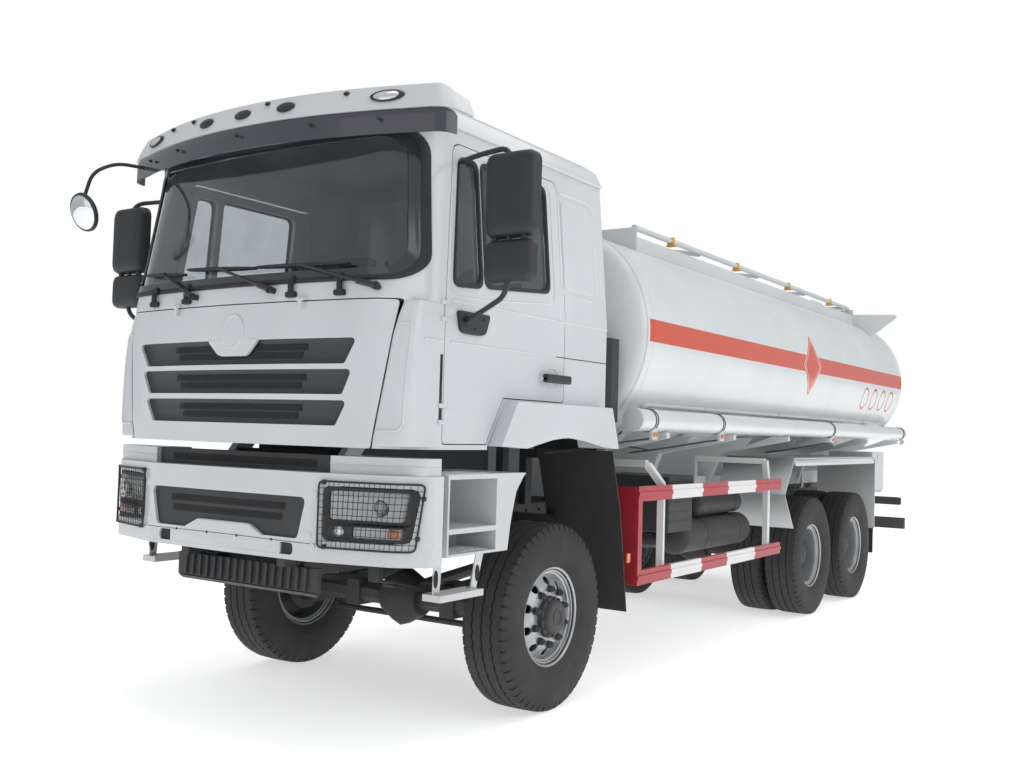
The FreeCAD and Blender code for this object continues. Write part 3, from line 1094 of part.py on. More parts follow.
def make_cab_steps():
    """Recessed step boxes below the doors, the rear filler to the wheel arch and the hanging step."""
    w = STEP_WALL
    shell = box(STEP_REAR, STEP_FRONT, STEP_INNER_Y, STEP_OUTER_Y, STEP_BOTTOM, STEP_TOP)
    rooms = [box(STEP_REAR + w, STEP_FRONT - w, STEP_INNER_Y + w, STEP_OUTER_Y + 1, STEP_BOTTOM + 145,
                 STEP_TOP - w - 12),
             box(STEP_REAR + w, STEP_FRONT - w, STEP_INNER_Y + 80, STEP_OUTER_Y + 1, STEP_BOTTOM + w,
                 STEP_BOTTOM + 118)]
    filler = plate_xz([(STEP_REAR + 1, STEP_TOP), (470, STEP_TOP), (560, 1346), (609, 1178), (636, STEP_BOTTOM),
                       (STEP_REAR + 1, STEP_BOTTOM)], STEP_OUTER_Y - 20, STEP_OUTER_Y)
    top_plate = box(470, STEP_REAR + 1, 760, STEP_OUTER_Y, STEP_TOP - w, STEP_TOP)
    hangers = []
    for top_x, foot_x in ((765.0, 840.0), (1140.0, 1160.0)):
        hangers.append(plate_xz([(top_x - 25, STEP_BOTTOM + 10), (top_x + 45, STEP_BOTTOM + 10),
                                 (foot_x + 25, DROP_STEP_Z), (foot_x - 25, DROP_STEP_Z)],
                                STEP_OUTER_Y - 90, STEP_OUTER_Y - 82))
    tread = box(STEP_REAR + 72, STEP_FRONT, STEP_OUTER_Y - 150, STEP_OUTER_Y - 30, DROP_STEP_Z - 10,
                DROP_STEP_Z + 26)
    steps = fuse([shell.cut(rooms), filler, top_plate, tread] + hangers)
    write("cab_steps", *both(steps))


# Cab
def cab_section(z, half_width, front_x, inset):
    """Corners of the cab's plan outline at one height, moved inwards by inset.

    Both front corners are arcs and the front bows forward between them. Every height has as many
    corners, and matching edges are parallel, so the walls between two heights are flat.
    """
    half = half_width - inset
    radius = CAB_CORNER_RADIUS - inset
    rear = CAB_REAR + inset
    span = half - radius
    bow = CAB_BULGE * span / (CAB_HALF_WIDTH - CAB_CORNER_RADIUS)
    edge = front_x - inset - bow
    bow_radius = (span ** 2 + bow ** 2) / (2 * bow)
    bow_angle = math.degrees(math.asin(span / bow_radius))
    corner = arc_points((edge - radius, -span), radius, -90.0, 0.0, CURVE_STEPS)
    bowed = arc_points((front_x - inset - bow_radius, 0.0), bow_radius, -bow_angle, bow_angle, CURVE_STEPS)
    other = [(x, -y) for x, y in reversed(corner)]
    outline = [(rear, half), (rear, -half)] + corner + bowed[1:-1] + other
    return [V(x, y, z) for x, y in outline]


def cab_volume(inset=0.0):
    """Solid inside the cab's outer surface, moved inwards by inset."""
    stations = [
        (CAB_BOTTOM - 1.0, CAB_HALF_WIDTH, CAB_FRONT_BOTTOM),
        (BELLY_Z, CAB_HALF_WIDTH, CAB_FRONT_BELLY),
        (BELT_Z, CAB_HALF_WIDTH, CAB_FRONT_BELT),
        (GUTTER_Z, CAB_ROOF_HALF_WIDTH, CAB_FRONT_ROOF),
    ]
    return stacked([cab_section(z, half, front, inset) for z, half, front in stations])


def cab_side_cutter(grow):
    """What is below the stepped lower edge of the cab's side, grown by a seam."""
    return plate_xz([(CAB_REAR - 100, CAB_BOTTOM - 50), (STEP_WELL_REAR + grow, CAB_BOTTOM - 50),
                     (STEP_WELL_REAR + grow, DOOR_BOTTOM), (585 + grow, CAB_REAR_BOTTOM + grow),
                     (CAB_REAR - 100, CAB_REAR_BOTTOM + grow)], -1400, 1400)


def door_outline(gap):
    """Corners of the left door in X and Z, inside its opening by a gap."""
    g = gap
    return [(DOOR_FRONT - g, DOOR_BOTTOM + g), (DOOR_FRONT - g, BELT_Z), (1045 - g, DOOR_TOP - g),
            (0 + g, DOOR_TOP - g), (DOOR_REAR + g, DOOR_TOP - 130), (DOOR_REAR + g, CAB_REAR_BOTTOM + 12 + g),
            (598 + 0.4 * g, CAB_REAR_BOTTOM + 12 + g), (STEP_WELL_REAR + 12 + g, DOOR_BOTTOM + g)]


def door_prism(gap, y0=700.0, y1=1400.0):
    """The left door's outline as a block across the cab's side."""
    radii = [20, 0, 60, 40, 0, 20, 0, 0]
    return plate_xz(door_outline(gap), y0, y1, radii)


def main_window(grow=0.0):
    """Main window of the left door."""
    g = grow
    return plate_xz([(130 - g, 2530 - g), (790 + g, 2475 - g), (790 + g, 3165 + g), (130 - g, 3165 + g)],
                    700, 1400, 45.0)


def vent_window(grow=0.0):
    """Vent window ahead of the main window."""
    g = grow
    return plate_xz([(835 - g, 2470 - g), (1085 + g, 2450 - g), (1000 + g, 3155 + g), (835 - g, 3155 + g)],
                    700, 1400, 30.0)


def windscreen_prism(grow=0.0):
    """Windscreen outline seen from the front."""
    g = grow
    low_half = CAB_HALF_WIDTH - 45 + g
    high_half = CAB_ROOF_HALF_WIDTH - 68 + g
    return plate_yz([(-low_half, 2480 - g), (low_half, 2480 - g), (high_half, 3235 + g),
                     (-high_half, 3235 + g)], 1150, 1800, 110.0)


def lid_prism():
    """Opening for the front lid, seen from the front."""
    return plate_yz([(-LID_BOTTOM_HALF_WIDTH, LID_BOTTOM - 5), (LID_BOTTOM_HALF_WIDTH, LID_BOTTOM - 5),
                     (LID_TOP_HALF_WIDTH, LID_TOP), (-LID_TOP_HALF_WIDTH, LID_TOP)], 1250, 1800, 12.0)


def lid_block():
    """The lid's own outline, a seam inside its opening at the surface.

    Its sides draw in behind the surface, so that they clear the opening while the lid swings up.
    """
    rings = []
    for x in (1250.0, 1800.0):
        low_half = LID_BOTTOM_HALF_WIDTH - SEAM + LID_EDGE_TAPER * (x - LID_BOTTOM_CORNER_X)
        high_half = LID_TOP_HALF_WIDTH - SEAM + LID_EDGE_TAPER * (x - LID_TOP_CORNER_X)
        rings.append(rounded_points([(x, -low_half, LID_BOTTOM - 5), (x, low_half, LID_BOTTOM - 5),
                                     (x, high_half, LID_TOP - SEAM), (x, -high_half, LID_TOP - SEAM)], 16.0))
    return stacked(rings)


def lid_slot(low, high, low_half, high_half, grow=0.0):
    """One of the lid's grille openings, seen from the front."""
    g = grow
    return plate_yz([(-low_half - g, low - g), (low_half + g, low - g), (high_half + g, high + g),
                     (-high_half - g, high + g)], 1250, 1800, 18.0)


def cab_floor():
    """Stepped floor with the engine tunnel, and the firewall behind the front lid."""
    floor_z = CAB_REAR_BOTTOM - 50.0
    half = CAB_HALF_WIDTH - 10.0
    rear_floor = box(CAB_REAR + 5, 700, -half, half, floor_z, CAB_REAR_BOTTOM + 10)
    well_wall = box(640, 700, -half, half, CAB_BOTTOM + 25, CAB_REAR_BOTTOM + 10)
    front_floor = box(640, 1420, -half, half, CAB_BOTTOM + 25, CAB_BOTTOM + 75)
    tunnel = box(640, 1360, -450, 450, CAB_BOTTOM + 20, CAB_REAR_BOTTOM + 10)
    firewall = box(1300, 1355, -half, half, CAB_BOTTOM + 25, BELT_Z + 40)
    inside = fuse([rear_floor, front_floor, tunnel, firewall, well_wall]).common(cab_volume(1.0))
    return inside.cut(box(500, 1310, -400, 400, CAB_BOTTOM - 50, floor_z))


def pivot_arm():
    """Left tilting arm below the cab's floor, leaning back so that it clears the bumper when tilted."""
    y0 = RAIL_OUTER_Y - 4
    y1 = RAIL_OUTER_Y + 46
    x = TILT_PIVOT_X
    z = TILT_PIVOT_Z
    arm = plate_xz([(x - 60, z - 35), (x + 25, z - 35), (x + 40, z + 12), (x - 15, z + 50),
                    (x - 270, CAB_BOTTOM + 30), (x - 410, CAB_BOTTOM + 30), (x - 98, z + 12)], y0, y1)
    eye = rod((x, y0, z), (x, y1, z), 44)
    return arm.fuse(eye).cut(pin((x, y0 - 6, z), (x, y1 + 14, z), TILT_PIN_RADIUS + PIN_CLEARANCE))


def door_hinge_lugs():
    """Lugs and pins of the left door's two hinges."""
    x = DOOR_FRONT - 3
    y = CAB_HALF_WIDTH + 2
    lugs = []
    for z in DOOR_HINGE_PLACES:
        lugs.append(rod((x, y, z - 55), (x, y, z + 55), 6, 8, True))
        for low in (z - 55, z + 31):
            lugs.append(box(x - 6, x + 43, y - 16, y + 8, low, low + 24))
    return lugs


def lid_hinge_lugs():
    """Lugs and pins of the front lid's two hinges."""
    x = LID_HINGE_X
    lugs = []
    for y in LID_HINGE_PLACES:
        lugs.append(rod((x, y - 28, LID_HINGE_Z), (x, y + 28, LID_HINGE_Z), 5, 8, True))
        for low in (y - 28, y + 14):
            lugs.append(box(x - 50, x + 7, low, low + 14, LID_TOP + 1, LID_TOP + 13))
            lugs.append(box(x - 7, x + 7, low, low + 14, LID_HINGE_Z - 7, LID_TOP + 13))
    return lugs


def make_cab_shell():
    """Hollow cab: walls, floor and firewall, openings for doors, windscreen and lid, and pivot arms."""
    walls = cab_volume(0.0).cut(cab_volume(CAB_WALL))
    shell = fuse([walls, cab_floor()])
    rest_half = CAB_HALF_WIDTH - 60
    below = cab_side_cutter(0.0).cut(box(CAB_REAR, 700.1, -rest_half, rest_half, CAB_REAR_BOTTOM - 50, 1900))
    eye_rooms = []
    for z in DOOR_HINGE_PLACES:
        eye_rooms.append(rod((DOOR_FRONT - 3, CAB_HALF_WIDTH + 2, z - 31),
                             (DOOR_FRONT - 3, CAB_HALF_WIDTH + 2, z + 31), 17, 8))
    shell = shell.cut(both(door_prism(0.0)) + [windscreen_prism(), lid_prism(), below] + both(fuse(eye_rooms)))
    write("cab_shell", fuse([shell] + both(pivot_arm()) + both(fuse(door_hinge_lugs())) + lid_hinge_lugs()))


def make_cab_roof():
    """Crowned roof on the cab walls, hollow below."""
    def dome(inset, rise):
        sections = [(0.0, inset - 10.0), (rise * 0.55, inset + 18.0), (rise * 0.85, inset + 75.0),
                    (rise, inset + 210.0)]
        return stacked([cab_section(GUTTER_Z + PIN_CLEARANCE + dz, CAB_ROOF_HALF_WIDTH, CAB_FRONT_ROOF, i)
                        for dz, i in sections])
    roof = dome(0.0, ROOF_RISE).cut(dome(CAB_WALL, ROOF_RISE - 45.0))
    write("cab_roof", roof)


def make_glass():
    """Windscreen sheet set in the cab's front opening."""
    sheet = cab_volume(GLASS_INSET).cut(cab_volume(GLASS_INSET + GLASS_THICKNESS))
    write("windscreen", sheet.common(windscreen_prism(-0.1)))
    for side, sign in SIDES:
        panes = [sheet.common(window) for window in (main_window(-0.1), vent_window(-0.1))]
        write("glass_door_" + side, *[on_side(pane, sign) for pane in panes])


def make_doors():
    """Doors with a stepped edge, window openings, hinge eyes and a pull handle."""
    skin = cab_volume(0.0).cut(cab_volume(CAB_SKIN)).common(door_prism(SEAM))
    body = cab_volume(CAB_SKIN - 1).cut(cab_volume(CAB_WALL)).common(door_prism(SEAM + 12))
    pieces = [fuse([skin, body]).cut([main_window(), vent_window()])]
    holes = []
    x = DOOR_FRONT - 3
    y = CAB_HALF_WIDTH + 2
    for z in DOOR_HINGE_PLACES:
        pieces.append(rod((x, y, z - 30), (x, y, z + 30), 13, 8))
        pieces.append(box(x - 57, x - 3, y - 5, y + 6, z - 28, z + 28))
        holes.append(rod((x, y, z - 32), (x, y, z + 32), 6 + PIN_CLEARANCE, 8))
        for low in (z - 56, z + 30):
            holes.append(box(x - 13, DOOR_FRONT, y - 22, y + 18, low, low + 26))
    grip = y + 40
    handle = [(215, y - 7, 2000), (215, grip, 2000), (-5, grip, 2000), (-5, y - 7, 2000)]
    pieces.append(tube_path(handle, 13, 6))
    door = fuse(pieces).cut(holes)
    write("door_left", door)
    write("door_right", mirrored(door))


def mirror_head(y0, y1, z0, z1, front, rear):
    """Mirror housing with cut corners, drawn in towards its front."""
    face = [(y0, z0 + 30), (y0 + 30, z0), (y1 - 30, z0), (y1, z0 + 30), (y1, z1 - 30), (y1 - 30, z1),
            (y0 + 30, z1), (y0, z1 - 30)]
    middle_y = 0.5 * (y0 + y1)
    middle_z = 0.5 * (z0 + z1)
    rings = []
    for x, share in ((rear, 1.0), (front - 35, 0.98), (front, 0.86)):
        rings.append([V(x, middle_y + (y - middle_y) * share, middle_z + (z - middle_z) * share)
                      for y, z in face])
    return stacked(rings)


def make_mirrors():
    """Two-part door mirror on its bent arm, one set for each door."""
    side = CAB_HALF_WIDTH
    main = mirror_head(side + 235, side + 540, 2660, 3100, 1190, 1095)
    lower = mirror_head(side + 235, side + 530, 2430, 2650, 1185, 1100)
    mount = box(780, 1065, side + PIN_CLEARANCE, side + 22, 2195, 2315)
    arm = tube_path([(1000, side + 12, 2255), (1060, side + 150, 2300), (1145, side + 380, 2380),
                     (1145, side + 380, 3125), (1060, side + 110, 3135), (985, side - 64, 3135)], 14, 6)
    mirror = fuse([main, lower, mount, arm]).cut(cab_volume(0.0))
    for label, sign in SIDES:
        write("mirrors_" + label, on_side(mirror, sign))


def make_front_lid():
    """Front lid with its three grille openings, a hinge line at the top and dark inserts behind them."""
    skin = cab_volume(0.0).cut(cab_volume(CAB_SKIN))
    backing = cab_volume(CAB_SKIN).cut(cab_volume(CAB_SKIN + INSERT_THICKNESS))
    slots = []
    inserts = []
    for low, high, low_half, high_half in LID_SLOTS:
        slots.append(lid_slot(low, high, low_half, high_half))
        inserts.append(backing.common(lid_slot(low, high, low_half, high_half, INSERT_LAP)))
    eyes = []
    holes = []
    x = LID_HINGE_X
    for y in LID_HINGE_PLACES:
        eyes.append(rod((x, y - 12, LID_HINGE_Z), (x, y + 12, LID_HINGE_Z), 10, 8))
        eyes.append(box(x - 8, x + 6, y - 12, y + 12, LID_TOP - 50, LID_HINGE_Z))
        eyes.append(box(x - 32, x + 6, y - 12, y + 12, LID_TOP - 50, LID_TOP - 10))
        holes.append(rod((x, y - 20, LID_HINGE_Z), (x, y + 20, LID_HINGE_Z), 5 + PIN_CLEARANCE, 8))
    lid = skin.common(lid_block()).cut(slots)
    write("front_lid", fuse([lid] + eyes).cut(holes))
    write("grille_inserts", *inserts)


def make_cab_fenders():
    """Wheel arches that tilt with the cab."""
    inner = CAB_HALF_WIDTH - 190
    outer = CAB_HALF_WIDTH + 95
    under_floor = CAB_REAR_BOTTOM - 1
    outline = [(738, 1595), (655, 1736), (585, under_floor), (-520, under_floor), (-619, 1585),
               (-575, 1585), (-400, 1596), (-154, 1634), (32, 1652), (207, 1636), (431, 1595), (480, 1585)]
    fender = plate_xz(outline, inner, outer)
    hollow = plate_xz([(700, 1560), (560, CAB_REAR_BOTTOM - 22), (-495, CAB_REAR_BOTTOM - 22), (-585, 1560)],
                      inner - 20, outer - 20)
    floor_room = box(-700, 800, 0, CAB_HALF_WIDTH - 59.7, CAB_REAR_BOTTOM - 50 - PIN_CLEARANCE,
                     CAB_REAR_BOTTOM + 50)
    write("cab_fenders", *both(fender.cut([hollow, floor_room])))


def visor_x(front_x, y):
    """The visor's outer face at one Y, where it stands at front_x in the middle."""
    return front_x - VISOR_RADIUS + math.sqrt(VISOR_RADIUS ** 2 - y ** 2)


def visor_ring(z, front_x):
    """Corners of the visor's curved section at one height."""
    sweep = math.degrees(math.asin(VISOR_HALF_WIDTH / VISOR_RADIUS))
    centre = (front_x - VISOR_RADIUS, 0.0)
    outer = arc_points(centre, VISOR_RADIUS, -sweep, sweep, 2 * CURVE_STEPS)
    inner = arc_points(centre, VISOR_RADIUS - VISOR_DEPTH, sweep, -sweep, 2 * CURVE_STEPS)
    return [V(x, y, z) for x, y in outer + inner]


def make_visor():
    """Curved sun visor on brackets, and the round front mirror on its bent arm."""
    low_x = CAB_FRONT_ROOF + 179
    pieces = [stacked([visor_ring(3245, low_x), visor_ring(3300, low_x), visor_ring(3465, low_x - 72)])]
    for y in (-900.0, -300.0, 300.0, 900.0):
        pieces.append(box(CAB_FRONT_ROOF - 160, visor_x(low_x - 45, y), y - 12, y + 12,
                          GUTTER_Z + 2, GUTTER_Z + 60))
    roof_block = stacked([cab_section(GUTTER_Z + PIN_CLEARANCE + dz, CAB_ROOF_HALF_WIDTH, CAB_FRONT_ROOF, i)
                          for dz, i in ((-60.0, -10.3), (0.0, -10.3), (ROOF_RISE * 0.55, 17.7))])
    arm_y = -1080.0
    arm_x = visor_x(low_x, arm_y) - 0.5 * VISOR_DEPTH
    pieces.append(tube_path([(arm_x, arm_y, 3262), (1560, -1130, 3262), (1700, -1165, 3180),
                             (1762, -1169, 2960)], 11, 6))
    pieces.append(rod((1730, -1168, 2930), (1795, -1168, 2905), 118, 12))
    write("visor", fuse(pieces).cut(roof_block))


def make_cab_interior():
    """Seats, bunk, dashboard with steering wheel."""
    floor = CAB_REAR_BOTTOM + 10.0
    under = floor + PIN_CLEARANCE
    seats = []
    for sign in (1.0, -1.0):
        y0 = sign * SEAT_INNER_Y
        y1 = sign * (CAB_HALF_WIDTH - 300)
        base = box(60, 560, y0, y1, under, floor + 300)
        back = plate_xz([(60, floor + 250), (150, floor + 250), (40, floor + 950), (-60, floor + 950)],
                        y0, y1, 20.0)
        seats.append(base.fuse(back))
    bunk_half = CAB_HALF_WIDTH - 150
    bunk = box(CAB_REAR + CAB_WALL + PIN_CLEARANCE, -80, -bunk_half, bunk_half, under, floor + 330)
    write("seats", *(seats + [bunk]))
    dash_half = CAB_HALF_WIDTH - 90
    dash = plate_xz([(1299.7, 2000), (1180, 2000), (1060, 2200), (1090, 2360), (1299.7, 2430)],
                    -dash_half, dash_half, [0, 20, 30, 30, 0])
    hub_x = 860.0
    hub_z = 2336.0
    y = STEERING_WHEEL_Y
    column = rod((1090, y, 2190), (hub_x + 10, y, hub_z - 6), 28)
    tilt = math.atan2(140.0, -220.0)
    rim_points = []
    for i in range(STEERING_WHEEL_SIDES + 1):
        angle = 2 * math.pi * i / STEERING_WHEEL_SIDES
        up = STEERING_WHEEL_RADIUS * math.sin(angle)
        rim_points.append((hub_x + up * math.sin(tilt), y + STEERING_WHEEL_RADIUS * math.cos(angle),
                           hub_z - up * math.cos(tilt)))
    wheel = tube_path(rim_points, 15, 6)
    spoke_reach = STEERING_WHEEL_RADIUS - 3
    spoke = rod((hub_x, y - spoke_reach, hub_z), (hub_x, y + spoke_reach, hub_z), 12, 6)
    dash = dash.common(cab_volume(CAB_WALL + PIN_CLEARANCE))
    write("dashboard", fuse([dash, column, wheel, spoke]))


def make_wipers():
    """Three wipers parked on the windscreen's lower edge."""
    arms = []
    for y in (964.0, 284.0, -340.0):
        x = 1572 - 0.000078 * y * y
        arm = fuse([rod((x - 40, y, 2392), (x + 8, y, 2398), 16, 8),
                    rod((x + 2, y, 2398), (x - 2, y - 360, 2520), 8, 6)])
        arms.append(sorted(arm.cut(cab_volume(0.0)).Solids, key=lambda solid: solid.Volume)[-1])
    write("wipers", *arms)


def make_air_intake():
    """Air cleaner and its duct in the gap behind the cab."""
    body = rod((-800, 985, 1760), (-800, 985, 2330), 120)
    duct = box(-860, -740, 500, 900, 1500, 1640)
    drop = box(-860, -740, 900, 1010, 1500, 1765)
    leg = box(-840, -760, RAIL_OUTER_Y - 60, RAIL_OUTER_Y, RAIL_BOTTOM + RAIL_HEIGHT, 1510)
    foot = box(-840, -760, RAIL_OUTER_Y - 60, 520, 1500, 1560)
    write("air_intake", fuse([body, duct, drop, leg, foot]))


def main():
    """Write every node."""
    os.makedirs(PARTS_FOLDER, exist_ok=True)
    make_wheels()
    make_front_axle()
    make_knuckles()
    make_tie_rod()
    make_rear_axles()
    make_springs()
    make_chassis_frame()
    make_driveline()
    make_tank()
    make_subframe()
    make_walkway()
    make_handrail()
    make_hose_tubes()
    make_side_guards()
    make_rear_fenders()
    make_mudflaps()
    make_air_tanks()
    make_fuel_tank()
    make_rear_end()
    make_locker()
    make_bumper()
    make_cab_steps()
    make_cab_shell()
    make_cab_roof()
    make_glass()
    make_doors()
    make_mirrors()
    make_front_lid()
    make_cab_fenders()
    make_visor()
    make_cab_interior()
    make_wipers()
    make_air_intake()


main()
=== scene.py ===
"""Finish, fine parts, light and camera of the tanker truck.

Sizes are in millimetres unless a name says otherwise. X runs forwards from the front
axle, Y to the truck's left and Z up from the ground. spot() turns such a point into the
shared frame in metres. Shaders work in the shared frame, so their sizes are in metres.
"""

import json
import logging
import math
from dataclasses import dataclass, field
from enum import StrEnum
from typing import Callable, Iterable, Optional, Sequence

import bmesh
import bpy
from mathutils import Matrix, Vector
from mathutils.bvhtree import BVHTree
from mathutils.geometry import tessellate_polygon

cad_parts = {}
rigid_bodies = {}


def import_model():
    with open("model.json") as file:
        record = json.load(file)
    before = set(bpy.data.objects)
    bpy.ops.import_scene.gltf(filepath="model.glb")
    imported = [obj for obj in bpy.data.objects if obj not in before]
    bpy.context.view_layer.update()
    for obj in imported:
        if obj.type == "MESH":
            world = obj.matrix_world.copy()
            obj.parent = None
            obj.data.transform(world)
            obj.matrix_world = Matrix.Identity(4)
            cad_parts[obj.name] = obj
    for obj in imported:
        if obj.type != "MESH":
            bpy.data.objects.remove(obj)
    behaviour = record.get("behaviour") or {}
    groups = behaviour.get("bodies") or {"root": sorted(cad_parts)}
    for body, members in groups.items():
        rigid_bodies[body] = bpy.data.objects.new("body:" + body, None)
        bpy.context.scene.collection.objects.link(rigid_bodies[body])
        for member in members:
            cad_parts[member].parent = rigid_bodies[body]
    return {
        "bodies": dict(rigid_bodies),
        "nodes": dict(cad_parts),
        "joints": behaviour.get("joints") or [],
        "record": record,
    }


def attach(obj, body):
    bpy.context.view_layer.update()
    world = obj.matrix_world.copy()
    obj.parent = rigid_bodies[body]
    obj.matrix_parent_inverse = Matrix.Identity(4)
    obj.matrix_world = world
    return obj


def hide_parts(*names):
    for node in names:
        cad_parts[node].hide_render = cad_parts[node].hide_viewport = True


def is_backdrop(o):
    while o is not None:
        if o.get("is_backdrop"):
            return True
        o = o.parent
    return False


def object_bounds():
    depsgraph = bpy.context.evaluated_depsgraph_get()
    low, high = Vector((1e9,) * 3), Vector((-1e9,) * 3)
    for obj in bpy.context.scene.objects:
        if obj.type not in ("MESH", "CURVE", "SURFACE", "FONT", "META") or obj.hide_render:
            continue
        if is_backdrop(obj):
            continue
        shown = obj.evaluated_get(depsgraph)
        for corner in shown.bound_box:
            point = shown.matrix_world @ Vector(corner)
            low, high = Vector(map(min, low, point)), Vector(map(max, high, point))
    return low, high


LOG = logging.getLogger("tanker")
MM = 0.001
FRONT_AXLE = 3225.0
TURN = 2.0 * math.pi
SIDES = (("left", 1.0), ("right", -1.0))
MERGE_DISTANCE = 2e-5
FLAT_ANGLE = math.radians(0.4)
PROBE_START = 2500.0
FORWARDS = (1.0, 0.0, 0.0)
LEFTWARDS = (0.0, 1.0, 0.0)
UPWARDS = (0.0, 0.0, 1.0)
WHITE = (1.0, 1.0, 1.0, 1.0)

Point = Sequence[float]
Pair = tuple[float, float]
Triple = tuple[float, float, float]
Outline = Sequence[Sequence[float]]
Place = Callable[[float, float, float], Point]
Socket = bpy.types.NodeSocket


class Slot(StrEnum):
    """The record's material slots."""

    TYRE = "tyre"
    RIM = "rim"
    CHASSIS = "chassis"
    CAST = "cast"
    TRIM = "trim"
    ALUMINIUM = "aluminium"
    GUARD = "guard"
    RUBBER = "rubber"
    CAB_WHITE = "cab_white"
    TANK_WHITE = "tank_white"
    BLACK_PLASTIC = "black_plastic"
    GREY_PLASTIC = "grey_plastic"
    GLASS = "glass"
    LAMP = "lamp"


def spot(point: Point) -> Vector:
    """Gives the point in the shared frame in metres; Args: point; Returns: a vector."""
    return Vector(((point[0] + FRONT_AXLE) * MM, point[1] * MM, point[2] * MM))


def between(low: float, high: float, share: float) -> float:
    """Gives the value at a share of the way from low to high; Returns: a number."""
    return low + (high - low) * share


def rounded(points: Iterable[Point], radius: float, closed: bool = False, steps: int = 5) -> list[Vector]:
    """Rounds the corners of a path.

    Args:
        points: corners in order, in two or three dimensions.
        radius: distance along each side at which the rounding starts.
        closed: whether the last corner joins the first.
        steps: pieces in each rounded corner.
    Returns:
        The points of the rounded path.
    """
    corners = [Vector(p) for p in points]
    count = len(corners)
    made: list[Vector] = []
    for i, corner in enumerate(corners):
        if not closed and i in (0, count - 1):
            made.append(corner)
            continue
        before = corners[i - 1] - corner
        after = corners[(i + 1) % count] - corner
        cut = min(radius, before.length * 0.49, after.length * 0.49)
        start = corner + before.normalized() * cut
        end = corner + after.normalized() * cut
        for k in range(steps + 1):
            t = k / steps
            made.append(start * (1 - t) ** 2 + corner * (2 * t * (1 - t)) + end * t * t)
    return made


def compass(steps: int) -> list[Pair]:
    """Gives the cosine and sine of even steps round a whole turn; Args: steps; Returns: the pairs."""
    return [(math.cos(TURN * i / steps), math.sin(TURN * i / steps)) for i in range(steps)]


def circle(centre: Point, radius: float, steps: int = 24, high: Optional[float] = None) -> list[Vector]:
    """Gives a circle or oval in two dimensions.

    Args:
        centre: middle of the circle.
        radius: half width.
        steps: number of points.
        high: half height where it is an oval.
    Returns:
        The points in order.
    """
    tall = radius if high is None else high
    return [Vector((centre[0] + radius * c, centre[1] + tall * s)) for c, s in compass(steps)]


def eased(value: float, low: float, high: float) -> float:
    """Gives a smooth rise from 0 to 1 between two values; Args: value, low, high; Returns: the share."""
    share = min(max((value - low) / (high - low), 0.0), 1.0)
    return share * share * (3 - 2 * share)


